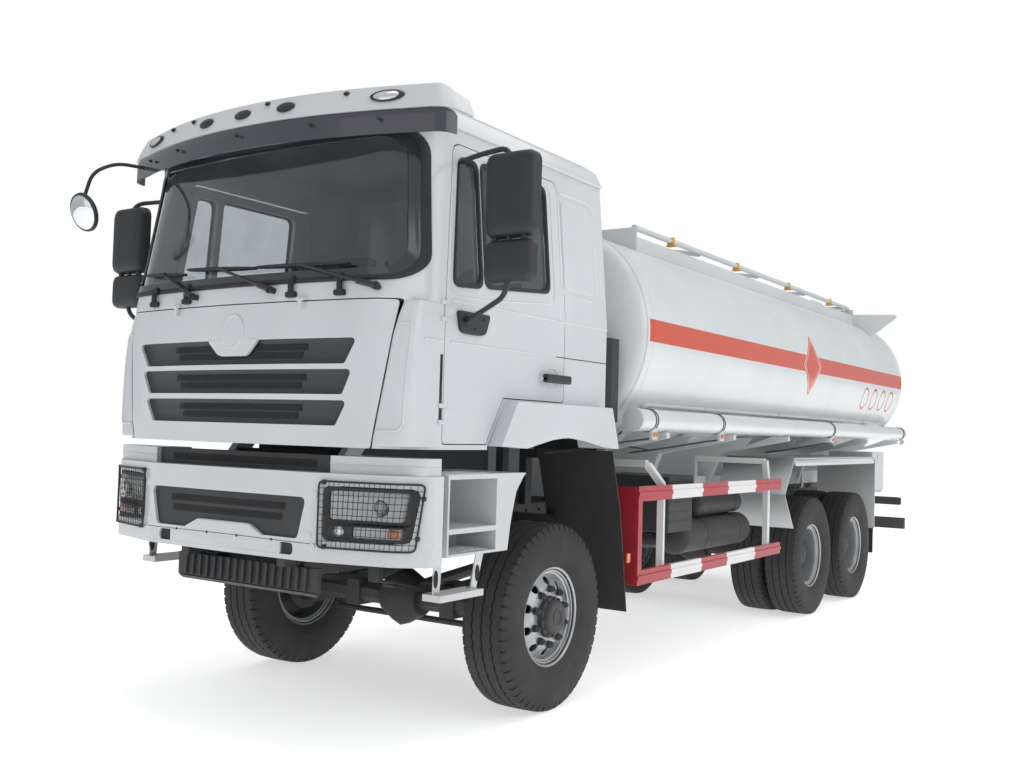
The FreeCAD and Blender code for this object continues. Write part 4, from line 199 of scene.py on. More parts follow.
class Shape:
    """A mesh being drawn in millimetres, with a finish number for each face."""

    def __init__(self) -> None:
        """Starts with nothing drawn."""
        self.points: list[Vector] = []
        self.faces: list[tuple[int, ...]] = []
        self.finishes: list[int] = []

    def add(self, points: Iterable[Point], faces: Iterable[Sequence[int]], finish: int = 0) -> None:
        """Adds points and the faces between them.

        Args:
            points: the new points.
            faces: corner numbers counted from the first new point.
            finish: finish number of the faces.
        """
        base = len(self.points)
        self.points.extend(Vector(p) for p in points)
        for face in faces:
            self.faces.append(tuple(base + i for i in face))
            self.finishes.append(finish)

    def take(self, other: "Shape", move: Callable[[Vector], Point] = tuple,
             finish: Optional[int] = None) -> None:
        """Adds another shape.

        Args:
            other: the shape to copy.
            move: where each of its points goes.
            finish: finish number for all of it, or its own where none is given.
        """
        base = len(self.points)
        self.points.extend(Vector(move(p)) for p in other.points)
        for face, own in zip(other.faces, other.finishes):
            self.faces.append(tuple(base + i for i in face))
            self.finishes.append(own if finish is None else finish)

    def loft(self, rings: Sequence[Sequence[Point]], finish: int = 0, closed: bool = True, caps: bool = True,
             looped: bool = False) -> None:
        """Joins rings of points by faces.

        Args:
            rings: lists of points, all of one length.
            finish: finish number.
            closed: whether each ring joins its own start.
            caps: whether the first and last ring are filled.
            looped: whether the last ring joins the first.
        """
        count = len(rings[0])
        points = [p for ring in rings for p in ring]
        faces: list[tuple[int, ...]] = []
        for i in range(len(rings) if looped else len(rings) - 1):
            low = i * count
            high = (i + 1) % len(rings) * count
            for k in range(count if closed else count - 1):
                n = (k + 1) % count
                faces.append((low + k, low + n, high + n, high + k))
        if caps and closed and not looped:
            faces.append(tuple(range(count)))
            faces.append(tuple(range(len(points) - count, len(points))))
        self.add(points, faces, finish)

    def block(self, low: Point, high: Point, finish: int = 0) -> None:
        """Adds a block between two corners, its edges softened later; Args: low, high, finish."""
        xs, ys, zs = zip(low, high)
        ring = [(xs[0], ys[0]), (xs[1], ys[0]), (xs[1], ys[1]), (xs[0], ys[1])]
        self.loft([[(x, y, z) for x, y in ring] for z in zs], finish)

    def sheet(self, outline: Outline, place: Place, front: float, back: float, holes: Sequence[Outline] = (),
              finish: int = 0) -> None:
        """Adds a plate with holes.

        Args:
            outline: its edge in two dimensions.
            place: turns width, height and depth into a point.
            front: depth of one face.
            back: depth of the other.
            holes: edges of the holes.
            finish: finish number.
        """
        loops = [[Vector((p[0], p[1], 0.0)) for p in loop] for loop in (outline, *holes)]
        flat = [p for loop in loops for p in loop]
        total = len(flat)
        points = [place(p.x, p.y, front) for p in flat] + [place(p.x, p.y, back) for p in flat]
        faces: list[tuple[int, ...]] = []
        for a, b, c in tessellate_polygon(loops):
            faces.append((a, b, c))
            faces.append((total + c, total + b, total + a))
        start = 0
        for loop in loops:
            size = len(loop)
            for i in range(size):
                a = start + i
                b = start + (i + 1) % size
                faces.append((b, a, total + a, total + b))
            start += size
        self.add(points, faces, finish)

    def tube(self, path: Sequence[Point], radius: float, sides: int = 10, finish: int = 0,
             looped: bool = False) -> None:
        """Adds a round bar along a path.

        Args:
            path: points along its middle.
            radius: half its thickness.
            sides: sides of its section.
            finish: finish number.
            looped: whether its end joins its start.
        """
        points = [Vector(p) for p in path]
        count = len(points)
        rings = []
        normal: Optional[Vector] = None
        for i, point in enumerate(points):
            before = points[i - 1] if i or looped else point
            after = points[(i + 1) % count] if i < count - 1 or looped else point
            along = (after - before).normalized()
            normal = along.orthogonal() if normal is None else normal - along * normal.dot(along)
            normal.normalize()
            across = along.cross(normal)
            rings.append([point + (normal * c + across * s) * radius for c, s in compass(sides)])
        self.loft(rings, finish, looped=looped)

    def turned(self, profile: Sequence[Point], centre: Point, side: float = 1.0, steps: int = 48,
               finish: int = 0, whole: bool = False, axis: Point = LEFTWARDS) -> None:
        """Adds a shape turned round an axis.

        Args:
            profile: pairs of distance along the axis and radius.
            centre: point the distances are measured from.
            side: 1 or -1, the way the distances run.
            steps: pieces round the axis.
            finish: finish number.
            whole: whether the profile is a closed section.
            axis: direction of the axis.
        """
        along = Vector(axis).normalized()
        first = along.orthogonal().normalized()
        second = along.cross(first)
        middle = Vector(centre)
        rings = []
        for c, s in compass(steps):
            ray = first * c + second * s
            rings.append([middle + along * (p[0] * side) + ray * p[1] for p in profile])
        self.loft(rings, finish, closed=whole, looped=True)

    def mesh(self, name: str) -> bpy.types.Mesh:
        """Makes the drawn mesh in metres with its normals outwards; Args: name; Returns: the mesh."""
        made = bpy.data.meshes.new(name)
        made.from_pydata([spot(p) for p in self.points], [], self.faces)
        for polygon, finish in zip(made.polygons, self.finishes):
            polygon.material_index = finish
        work = bmesh.new()
        work.from_mesh(made)
        bmesh.ops.remove_doubles(work, verts=work.verts, dist=MERGE_DISTANCE)
        bmesh.ops.recalc_face_normals(work, faces=work.faces)
        work.to_mesh(made)
        work.free()
        return made


class Wiring:
    """Lays nodes in one tree and joins them."""

    def __init__(self, tree: bpy.types.NodeTree) -> None:
        """Keeps the tree to work in; Args: tree."""
        self.tree = tree

    def node(self, kind: str, inputs: Optional[dict] = None, **settings: object) -> bpy.types.Node:
        """Adds one node.

        Args:
            kind: its type name.
            inputs: values or sockets by input name or number.
            settings: properties of the node.
        Returns:
            The node.
        """
        made = self.tree.nodes.new(kind)
        for key, value in settings.items():
            setattr(made, key, value)
        for key, value in (inputs or {}).items():
            if isinstance(value, Socket):
                self.link(value, made.inputs[key])
            else:
                made.inputs[key].default_value = value
        return made

    def link(self, value: Socket, target: Socket) -> None:
        """Joins an output to an input; Args: value, target."""
        self.tree.links.new(value, target)

    def ends(self) -> tuple[Sequence[Socket], Sequence[Socket]]:
        """Adds the two ends of a group; Returns: what comes in and what goes out."""
        return self.node("NodeGroupInput").outputs, self.node("NodeGroupOutput").inputs

    def place(self) -> Socket:
        """Gives the place on the object; Returns: its coordinates."""
        return self.node("ShaderNodeTexCoord").outputs["Object"]

    def axes(self, place: Socket) -> Sequence[Socket]:
        """Splits a place; Args: place; Returns: its X, Y and Z."""
        return self.node("ShaderNodeSeparateXYZ", {0: place}).outputs

    def math(self, operation: str, first: object, second: object = 0.0, clamp: bool = False) -> Socket:
        """Adds a sum of two values; Args: operation, first, second, clamp; Returns: its output."""
        made = self.node("ShaderNodeMath", {0: first, 1: second}, operation=operation, use_clamp=clamp)
        return made.outputs[0]

    def times(self, first: object, *others: object) -> Socket:
        """Multiplies values in turn; Args: first, others; Returns: the product."""
        for other in others:
            first = self.math("MULTIPLY", first, other)
        return first

    def above(self, value: Socket, limit: float) -> Socket:
        """Marks where a value is above a limit; Args: value, limit; Returns: 0 or 1."""
        return self.math("GREATER_THAN", value, limit)

    def below(self, value: Socket, limit: float) -> Socket:
        """Marks where a value is below a limit; Args: value, limit; Returns: 0 or 1."""
        return self.math("LESS_THAN", value, limit)

    def beside(self, axes: Sequence[Socket], limit: float) -> Socket:
        """Marks what lies further out than a limit on both sides; Args: axes, limit; Returns: 0 or 1."""
        return self.above(self.math("ABSOLUTE", axes[1]), limit)

    def away(self, value: Socket, middle: float) -> Socket:
        """Gives the distance from a middle; Args: value, middle; Returns: the distance."""
        return self.math("ABSOLUTE", self.math("SUBTRACT", value, middle))

    def blend(self, share: object, first: object, second: object, kind: str = "MIX") -> Socket:
        """Mixes two colours; Args: share, first, second, kind of mix; Returns: the mixed colour."""
        made = self.node("ShaderNodeMix", {0: share, 6: first, 7: second}, data_type="RGBA", blend_type=kind)
        return made.outputs[2]

    def ranged(self, value: object, low: float, high: float, to_low: float = 0.0,
               to_high: float = 1.0) -> Socket:
        """Maps a value from one range to another; Args: value and both ranges; Returns: the output."""
        made = self.node("ShaderNodeMapRange", {0: value, 1: low, 2: high, 3: to_low, 4: to_high})
        return made.outputs[0]

    def noise(self, vector: object, scale: object, detail: float = 4.0) -> Socket:
        """Adds cloudy noise; Args: vector, scale, detail; Returns: its value."""
        made = self.node("ShaderNodeTexNoise", {"Vector": vector, "Scale": scale, "Detail": detail})
        return made.outputs[0]

    def vectors(self, operation: str, inputs: dict, output: object = 0) -> Socket:
        """Adds a sum of vectors; Args: operation, inputs, output wanted; Returns: that output."""
        return self.node("ShaderNodeVectorMath", inputs, operation=operation).outputs[output]

    def joined(self, inputs: dict) -> Socket:
        """Joins numbers into a vector; Args: inputs by axis; Returns: the vector."""
        return self.node("ShaderNodeCombineXYZ", inputs).outputs[0]


def colour4(colour: Sequence[float]) -> tuple[float, float, float, float]:
    """Gives a colour with full cover; Args: colour; Returns: four numbers."""
    return (colour[0], colour[1], colour[2], 1.0)


def started_material(name: str) -> tuple[bpy.types.Material, Optional[Wiring]]:
    """Gets a material, or starts it where it doesn't exist yet.

    Args:
        name: its name.
    Returns:
        The material, and the wiring to fill it where it is new.
    """
    known = bpy.data.materials.get(name)
    if known is not None:
        return known, None
    made = bpy.data.materials.new(name)
    made.use_nodes = True
    return made, Wiring(made.node_tree)


def started_group(name: str, kind: str, inputs: Sequence[tuple],
                  outputs: Sequence[Sequence[str]]) -> tuple[bpy.types.NodeTree, Optional[Wiring]]:
    """Gets a node group, or starts it where it doesn't exist yet.

    Args:
        name: its name.
        kind: type of tree, Shader or Geometry.
        inputs: name, kind and, where it has one, value of each input.
        outputs: name and kind of each output.
    Returns:
        The group, and the wiring to fill it where it is new.
    """
    known = bpy.data.node_groups.get(name)
    if known is not None:
        return known, None
    group = bpy.data.node_groups.new(name, kind + "NodeTree")
    for way, sockets in (("INPUT", inputs), ("OUTPUT", outputs)):
        for label, socket, *values in sockets:
            made = group.interface.new_socket(name=label, in_out=way, socket_type="NodeSocket" + socket)
            for value in values:
                made.default_value = value
    return group, Wiring(group)


def road_film_group() -> bpy.types.NodeTree:
    """Builds the road film, thickest near the ground and broken up by noise; Returns: the group."""
    group, wiring = started_group("RoadFilm", "Shader", [("Clean", "Color", (0.8, 0.8, 0.8, 1.0)),
                                                         ("Dust", "Color", (0.24, 0.215, 0.185, 1.0)),
                                                         ("Amount", "Float", 0.3), ("Top", "Float", 1.5)],
                                  [("Color", "Color"), ("Mask", "Float")])
    if wiring is None:
        return group
    enter, leave = wiring.ends()
    place = wiring.place()
    share = wiring.math("DIVIDE", wiring.axes(place)[2], enter["Top"])
    low = wiring.ranged(share, 0.0, 1.0, 1.0, 0.0)
    broad = wiring.ranged(wiring.noise(place, 2.3, 5.0), 0.35, 0.7)
    fine = wiring.ranged(wiring.noise(place, 26.0, 6.0), 0.3, 0.75, 0.35, 1.0)
    spread = wiring.math("ADD", wiring.times(low, 0.35), wiring.times(broad, fine, low))
    mask = wiring.math("MULTIPLY", spread, enter["Amount"], clamp=True)
    wiring.link(wiring.blend(mask, enter["Clean"], enter["Dust"]), leave["Color"])
    wiring.link(mask, leave["Mask"])
    return group


def grain_group() -> bpy.types.NodeTree:
    """Builds the fine surface grain as a height; Returns: the group."""
    group, wiring = started_group("SurfaceGrain", "Shader", [("Size", "Float", 3.0), ("Wave", "Float", 0.2)],
                                  [("Height", "Float")])
    if wiring is None:
        return group
    enter, leave = wiring.ends()
    place = wiring.place()
    fine = wiring.noise(place, wiring.math("DIVIDE", 1000.0, enter["Size"]), 3.0)
    slow = wiring.times(wiring.noise(place, 3.1, 1.0), enter["Wave"])
    wiring.link(wiring.math("ADD", fine, slow), leave["Height"])
    return group


def edge_wear_group() -> bpy.types.NodeTree:
    """Builds a mask of exposed edges broken up by noise; Returns: the group."""
    group, wiring = started_group("EdgeWear", "Shader", [("Width", "Float", 0.004), ("Amount", "Float", 0.3)],
                                  [("Mask", "Float")])
    if wiring is None:
        return group
    enter, leave = wiring.ends()
    soft = wiring.node("ShaderNodeBevel", {"Radius": enter["Width"]}, samples=4).outputs[0]
    plain = wiring.node("ShaderNodeNewGeometry").outputs["Normal"]
    edge = wiring.ranged(wiring.vectors("DOT_PRODUCT", {0: soft, 1: plain}, "Value"), 0.99, 0.9)
    broken = wiring.ranged(wiring.noise(wiring.place(), 60.0, 6.0), 0.45, 0.65)
    mask = wiring.math("MULTIPLY", wiring.times(edge, broken), enter["Amount"], clamp=True)
    wiring.link(mask, leave["Mask"])
    return group


@dataclass(frozen=True)
class Finish:
    """A finish: its colour, gloss, grain and how much road film it carries."""

    name: str
    colour: Triple
    roughness: float = 0.5
    metallic: float = 0.0
    coat: float = 0.0
    coat_roughness: float = 0.08
    grain: float = 0.05
    grain_size: float = 3.0
    grain_height: float = 0.004
    uneven: float = 0.04
    film: float = 0.3
    film_top: float = 1.5
    film_roughness: float = 0.85
    wear: float = 0.0
    bare: Triple = (0.35, 0.35, 0.36)

    def tint(self, wiring: Wiring, place: Socket, plain: Socket) -> Socket:
        """Lays the pattern of the finish over its plain colour; Returns: the colour."""
        return plain

    def relief(self, wiring: Wiring, place: Socket, height: Socket) -> Socket:
        """Adds pressed lines to the height of the surface; Returns: the height."""
        return height

    def material(self) -> bpy.types.Material:
        """Makes the material, or gets it where it is known; Returns: the material."""
        made, wiring = started_material(self.name)
        if wiring is None:
            return made
        made.diffuse_color = colour4(self.colour)
        shader = made.node_tree.nodes["Principled BSDF"].inputs
        place = wiring.place()
        cloud = wiring.ranged(wiring.noise(place, 1.7, 3.0), 0.3, 0.7, 1.0 - self.uneven, 1.0 + self.uneven)
        plain = wiring.node("ShaderNodeRGB").outputs[0]
        plain.default_value = colour4(self.colour)
        grey = wiring.joined({0: cloud, 1: cloud, 2: cloud})
        colour = wiring.blend(1.0, self.tint(wiring, place, plain), grey, "MULTIPLY")
        if self.wear > 0:
            edge = wiring.node("ShaderNodeGroup", node_tree=edge_wear_group())
            edge.inputs["Amount"].default_value = self.wear
            colour = wiring.blend(edge.outputs["Mask"], colour, colour4(self.bare))
        film = wiring.node("ShaderNodeGroup", node_tree=road_film_group())
        film.inputs["Amount"].default_value = self.film
        film.inputs["Top"].default_value = self.film_top
        wiring.link(colour, film.inputs["Clean"])
        wiring.link(film.outputs["Color"], shader["Base Color"])
        dull = max(self.roughness, self.film_roughness)
        rough = wiring.ranged(film.outputs["Mask"], 0.0, 0.8, self.roughness, dull)
        patch = wiring.ranged(wiring.noise(place, 9.0, 4.0), 0.3, 0.7, 0.94, 1.08)
        wiring.link(wiring.times(rough, patch), shader["Roughness"])
        grain = wiring.node("ShaderNodeGroup", node_tree=grain_group())
        grain.inputs["Size"].default_value = self.grain_size
        height = self.relief(wiring, place, grain.outputs["Height"])
        bump = wiring.node("ShaderNodeBump", {"Strength": self.grain, "Distance": self.grain_height,
                                              "Height": height})
        wiring.link(bump.outputs[0], shader["Normal"])
        shader["Metallic"].default_value = self.metallic
        shader["Coat Weight"].default_value = self.coat
        shader["Coat Roughness"].default_value = self.coat_roughness
        return made


@dataclass(frozen=True)
class Glass(Finish):
    """Clear or tinted glass."""

    roughness: float = 0.0
    clearness: float = 1.0
    refraction: float = 1.45
    haze: float = 0.03
    dulled: float = 0.93

    def material(self) -> bpy.types.Material:
        """Makes the material, or gets it where it is known; Returns: the material."""
        made, wiring = started_material(self.name)
        if wiring is None:
            return made
        shader = made.node_tree.nodes["Principled BSDF"].inputs
        place = wiring.place()
        haze = wiring.ranged(wiring.noise(place, 2.0, 5.0), 0.4, 0.75, self.roughness,
                             self.roughness + self.haze)
        dull = tuple(self.dulled * c for c in self.colour)
        share = wiring.ranged(wiring.noise(place, 5.0, 4.0), 0.4, 0.7)
        wiring.link(wiring.blend(share, colour4(self.colour), colour4(dull)), shader["Base Color"])
        wiring.link(haze, shader["Roughness"])
        shader["Transmission Weight"].default_value = self.clearness
        shader["Metallic"].default_value = self.metallic
        shader["IOR"].default_value = self.refraction
        return made


@dataclass(frozen=True)
class CabPaint(Finish):
    """Cab paint with the pressed waist lines of the doors."""

    creases: tuple[float, ...] = (2.157, 2.35)
    crease_width: float = 0.012
    crease_depth: float = 3.5
    side_y: float = 1.12

    def relief(self, wiring: Wiring, place: Socket, height: Socket) -> Socket:
        """Adds the pressed lines; Returns: the height."""
        axes = wiring.axes(place)
        total = height
        for level in self.creases:
            line = wiring.ranged(wiring.away(axes[2], level), 0.0, self.crease_width, self.crease_depth, 0.0)
            total = wiring.math("ADD", total, wiring.times(line, wiring.beside(axes, self.side_y)))
        return total


@dataclass(frozen=True)
class TankPaint(Finish):
    """Tank paint with its belt, blank diamond plate and blank ring signs."""

    belt: Triple = (0.62, 0.085, 0.045)
    belt_low: float = 2.335
    belt_high: float = 2.494
    belt_front: float = 2.14
    side_y: float = 0.9
    diamond: Pair = (-1.385, 2.40)
    diamond_half: Pair = (0.255, 0.31)
    plate: Triple = (0.78, 0.78, 0.76)
    inner_line: Triple = (0.70, 0.70, 0.68)
    rings: tuple[float, ...] = (-3.335, -3.685, -4.035, -4.375)
    ring_height: float = 2.163
    ring_radii: Pair = (0.098, 0.125)
    ring_red: Triple = (0.45, 0.06, 0.05)

    def tint(self, wiring: Wiring, place: Socket, plain: Socket) -> Socket:
        """Lays belt, diamond and rings over the white; Returns: the colour."""
        axes = wiring.axes(place)
        beside = wiring.beside(axes, self.side_y)
        band = wiring.times(wiring.above(axes[2], self.belt_low), wiring.below(axes[2], self.belt_high),
                            wiring.below(axes[0], self.belt_front), beside)
        colour = wiring.blend(band, plain, colour4(self.belt))
        across, upright = [wiring.math("DIVIDE", wiring.away(axes[axis], self.diamond[i]),
                                       self.diamond_half[i])
                           for i, axis in enumerate((0, 2))]
        reach = wiring.math("ADD", across, upright)
        for size, tone in ((1.0, self.plate), (0.955, self.belt), (0.83, self.inner_line), (0.79, self.belt)):
            colour = wiring.blend(wiring.times(wiring.below(reach, size), beside), colour, colour4(tone))
        for middle in self.rings:
            flat = wiring.joined({0: wiring.math("SUBTRACT", axes[0], middle),
                                  1: wiring.math("SUBTRACT", axes[2], self.ring_height)})
            far = wiring.vectors("LENGTH", {0: flat}, "Value")
            rim = wiring.times(wiring.below(far, self.ring_radii[1]), wiring.above(far, self.ring_radii[0]),
                               beside)
            colour = wiring.blend(rim, colour, colour4(self.ring_red))
        return colour


@dataclass(frozen=True)
class GuardPaint(Finish):
    """Paint in red and white lengths along the guard beams, with the front plate all red."""

    red: Triple = (0.42, 0.018, 0.03)
    lengths: tuple[Pair, ...] = ((1.725, 2.4), (0.688, 1.187), (-0.6, 0.08))
    beam_y: float = 1.193
    plate_x: float = 2.2

    def tint(self, wiring: Wiring, place: Socket, plain: Socket) -> Socket:
        """Lays the red lengths over the white; Returns: the colour."""
        axes = wiring.axes(place)
        total: object = 0.0
        for low, high in self.lengths:
            here = wiring.times(wiring.above(axes[0], low), wiring.below(axes[0], high))
            total = wiring.math("ADD", here, total, clamp=True)
        beams = wiring.times(total, wiring.beside(axes, self.beam_y))
        total = wiring.math("ADD", beams, wiring.above(axes[0], self.plate_x), clamp=True)
        return wiring.blend(total, plain, colour4(self.red))


CAB_WHITE = CabPaint("CabWhite", (0.63, 0.65, 0.67), roughness=0.22, coat=0.35, grain=0.01, film=0.16,
                     film_top=1.9)
TANK_WHITE = TankPaint("TankWhite", (0.66, 0.69, 0.69), roughness=0.25, coat=0.3, grain=0.012, film=0.05,
                       film_top=1.8)
TRIM_WHITE = Finish("TrimWhite", (0.60, 0.62, 0.63), roughness=0.4, coat=0.1, grain=0.02, film=0.2,
                    film_top=1.7)
GUARD_PAINT = GuardPaint("GuardPaint", (0.76, 0.76, 0.75), roughness=0.35, coat=0.15, grain=0.02, film=0.2)
TYRE_RUBBER = Finish("TyreRubber", (0.026, 0.026, 0.027), roughness=0.82, grain=0.22, grain_size=5.0,
                     uneven=0.1, film=0.15, film_top=1.5)
SEAL_RUBBER = Finish("SealRubber", (0.016, 0.017, 0.019), roughness=0.6, grain=0.08, film=0.1, film_top=3.0)
BLACK_PLASTIC = Finish("BlackPlastic", (0.022, 0.024, 0.027), roughness=0.48, grain=0.12, grain_size=2.0,
                       film=0.14, film_top=2.4)
GREY_PLASTIC = Finish("GreyPlastic", (0.036, 0.040, 0.046), roughness=0.5, grain=0.14, grain_size=2.0,
                      film=0.1, film_top=2.6)
# Near-black used as painted shade. Sheets behind the grille mesh stand in for the shaded space behind the
# grilles, and ovals on the step brackets stand in for the shade seen through their holes.
SHADE_BLACK = Finish("PaintedShadeBlack", (0.008, 0.009, 0.010), roughness=0.7, grain=0.05, film=0.05)
CHASSIS_PAINT = Finish("ChassisPaint", (0.028, 0.030, 0.033), roughness=0.55, grain=0.15, grain_size=4.0,
                       film=0.34, film_top=1.4, wear=0.25)
CAST_IRON = Finish("CastIron", (0.045, 0.046, 0.048), roughness=0.62, metallic=0.3, grain=0.35,
                   grain_size=6.0, film=0.36, wear=0.3)
RIM_SILVER = Finish("RimSilver", (0.46, 0.475, 0.49), roughness=0.36, metallic=0.72, coat=0.1, grain=0.05,
                    film=0.2, film_top=1.3)
HUB_GREY = Finish("HubGrey", (0.052, 0.054, 0.058), roughness=0.5, metallic=0.35, grain=0.2, film=0.2,
                  film_top=1.3)
ALUMINIUM = Finish("Aluminium", (0.62, 0.63, 0.64), roughness=0.38, metallic=0.85, grain=0.12, grain_size=1.5,
                   film=0.25, film_top=1.3)
LAMP_WALL = Finish("LampWall", (0.42, 0.43, 0.44), roughness=0.3, metallic=0.7, grain=0.05, film=0.0)
CHROME = Finish("LampChrome", (0.72, 0.73, 0.75), roughness=0.1, metallic=1.0, grain=0.01, film=0.0)
AMBER = Finish("AmberLens", (0.62, 0.17, 0.012), roughness=0.2, coat=0.6, grain=0.05, film=0.1)
RED_LENS = Finish("RedLens", (0.42, 0.015, 0.012), roughness=0.2, coat=0.6, grain=0.05, film=0.1)
MARKER_YELLOW = Finish("MarkerYellow", (0.70, 0.42, 0.06), roughness=0.45, grain=0.05, film=0.05)
SMOKED = Finish("SmokedLip", (0.05, 0.05, 0.062), roughness=0.16, coat=0.5, grain=0.02, film=0.05,
                film_top=4.0)
CLOTH = Finish("CushionCloth", (0.14, 0.145, 0.155), roughness=0.9, grain=0.5, grain_size=1.5, film=0.0)
CABIN_GREY = Finish("CabinGrey", (0.22, 0.225, 0.23), roughness=0.7, grain=0.2, film=0.0)
MIRROR_FACE = Finish("MirrorFace", (0.80, 0.82, 0.84), roughness=0.03, metallic=1.0, grain=0.0, film=0.0)
SCREEN_BAND = Finish("ScreenBand", (0.030, 0.034, 0.038), roughness=0.1, coat=0.6, grain=0.02, film=0.03)
SCREEN_GLASS = Glass("ScreenGlass", (0.62, 0.66, 0.68))
LAMP_GLASS = Glass("LampGlass", (0.95, 0.97, 0.98))


class Checked:
    """The checked nodes: their meshes, and where lines meet their faces."""

    def __init__(self, frame: dict) -> None:
        """Keeps the loaded frame; Args: frame."""
        self.nodes: dict[str, bpy.types.Object] = frame["nodes"]

    def mesh(self, node: str, name: str) -> bpy.types.Mesh:
        """Copies a node's mesh with its points merged and its flat faces joined.

        Args:
            node: the node.
            name: name of the copy.
        Returns:
            The copied mesh in the shared frame.
        """
        source = self.nodes[node]
        work = bmesh.new()
        work.from_mesh(source.data)
        work.transform(source.matrix_world)
        bmesh.ops.remove_doubles(work, verts=work.verts, dist=MERGE_DISTANCE)
        bmesh.ops.dissolve_limit(work, angle_limit=FLAT_ANGLE, verts=work.verts, edges=work.edges)
        made = bpy.data.meshes.new(name)
        work.to_mesh(made)
        work.free()
        for attribute in list(made.attributes):
            if attribute.name == "custom_normal":
                made.attributes.remove(attribute)
        for polygon in made.polygons:
            polygon.material_index = 0
        return made

    def probe(self, *nodes: str) -> "Probe":
        """Makes a probe of some nodes; Args: nodes; Returns: the probe."""
        return Probe([self.nodes[node] for node in nodes])


class Probe:
    """Finds where straight lines meet the faces of some nodes."""

    def __init__(self, sources: Sequence[bpy.types.Object]) -> None:
        """Sorts the faces for the search; Args: sources, the nodes' objects."""
        work = bmesh.new()
        for source in sources:
            copy = source.data.copy()
            copy.transform(source.matrix_world)
            work.from_mesh(copy)
            bpy.data.meshes.remove(copy)
        self.tree = BVHTree.FromBMesh(work)
        work.free()

    def hit(self, start: Point, way: Point) -> Optional[Vector]:
        """Finds the first face on a line; Args: start, way; Returns: the point in millimetres, if any."""
        found = self.tree.ray_cast(spot(start), Vector(way))[0]
        if found is None:
            return None
        return Vector((found.x / MM - FRONT_AXLE, found.y / MM, found.z / MM))

    def x_at(self, y: float, z: float, other: float = 0.0) -> float:
        """Finds the foremost X at a place seen from the front; Returns: X, or other where nothing is met."""
        found = self.hit((PROBE_START, y, z), (-1.0, 0.0, 0.0))
        return other if found is None else found.x

    def y_at(self, x: float, z: float, side: float, other: float = 0.0) -> float:
        """Finds the outermost Y at a place seen from one side; Returns: Y, or other where nothing is met."""
        found = self.hit((x, side * PROBE_START, z), (0.0, -side, 0.0))
        return other if found is None else found.y


def settle(piece: bpy.types.Object) -> None:
    """Turns a piece with modifiers into a plain mesh; Args: piece."""
    old = piece.data
    name = old.name
    made = evaluated(piece)
    piece.modifiers.clear()
    piece.data = made
    bpy.data.meshes.remove(old)
    made.name = name


def evaluated(piece: bpy.types.Object) -> bpy.types.Mesh:
    """Makes a mesh of a piece with its modifiers; Args: piece; Returns: the mesh."""
    graph = bpy.context.evaluated_depsgraph_get()
    return bpy.data.meshes.new_from_object(piece.evaluated_get(graph), depsgraph=graph)


def linked(name: str, data: bpy.types.ID) -> bpy.types.Object:
    """Puts an object into the scene; Args: name, data; Returns: the object."""
    made = bpy.data.objects.new(name, data)
    bpy.context.scene.collection.objects.link(made)
    return made


def repeated(unit: Shape, tree: bpy.types.NodeTree, values: dict[str, object], finish: Finish) -> Shape:
    """Repeats a drawn unit with Geometry Nodes.

    Args:
        unit: the shape to repeat, drawn in millimetres round the origin.
        tree: the node tree that lays out the copies.
        values: its inputs by name.
        finish: finish of the copies.
    Returns:
        The copies as one shape.
    """
    mesh = bpy.data.meshes.new("unit")
    mesh.from_pydata([tuple(p) for p in unit.points], [], unit.faces)
    carrier = linked("unit", mesh)
    modifier = carrier.modifiers.new("Layout", "NODES")
    modifier.node_group = tree
    given = {**values, "Material": finish.material()}
    for item in tree.interface.items_tree:
        if item.item_type == "SOCKET" and item.in_out == "INPUT" and item.name in given:
            modifier[item.identifier] = given[item.name]
    made = evaluated(carrier)
    copies = Shape()
    copies.add([v.co.copy() for v in made.vertices], [tuple(p.vertices) for p in made.polygons])
    bpy.data.objects.remove(carrier)
    bpy.data.meshes.remove(mesh)
    bpy.data.meshes.remove(made)
    return copies


def layout_tree(name: str, *inputs: tuple[str, str]) -> tuple[bpy.types.NodeTree, Optional[Wiring]]:
    """Gets a layout tree or starts a missing one; Args: name, inputs; Returns: the tree and its wiring."""
    shape = ("Geometry", "Geometry")
    return started_group(name, "Geometry", [shape, *inputs, ("Material", "Material")], [shape])


def set_copies(wiring: Wiring, points: bpy.types.Node, turned: dict[str, Socket], enter: Sequence[Socket],
               leave: Sequence[Socket]) -> None:
    """Sets a copy on each point and dresses it.

    Args:
        wiring: the tree's wiring.
        points: the node that gives the points.
        turned: turn or scale of the copies, by input name.
        enter: what comes into the tree.
        leave: what goes out of it.
    """
    copies = wiring.node("GeometryNodeInstanceOnPoints", {"Points": points.outputs[0],
                                                          "Instance": enter["Geometry"], **turned})
    real = wiring.node("GeometryNodeRealizeInstances", {0: copies.outputs[0]})
    dressed = wiring.node("GeometryNodeSetMaterial", {"Geometry": real.outputs[0],
                                                      "Material": enter["Material"]})
    wiring.link(dressed.outputs[0], leave[0])


def ring_tree() -> bpy.types.NodeTree:
    """Builds the layout of copies round the Y axis; Returns: the tree."""
    tree, wiring = layout_tree("RingLayout", ("Count", "Int"), ("Seed", "Int"), ("Wobble", "Float"))
    if wiring is None:
        return tree
    enter, leave = wiring.ends()
    points = wiring.node("GeometryNodePoints", {"Count": enter["Count"]})
    index = wiring.node("GeometryNodeInputIndex").outputs[0]
    angle = wiring.times(index, wiring.math("DIVIDE", TURN, enter["Count"]))
    loose = wiring.node("FunctionNodeRandomValue", {"Seed": enter["Seed"]}, data_type="FLOAT")
    shake = wiring.times(wiring.math("SUBTRACT", loose.outputs[1], 0.5), enter["Wobble"])
    turn = wiring.joined({1: wiring.math("ADD", angle, shake)})
    set_copies(wiring, points, {"Rotation": turn}, enter, leave)
    return tree


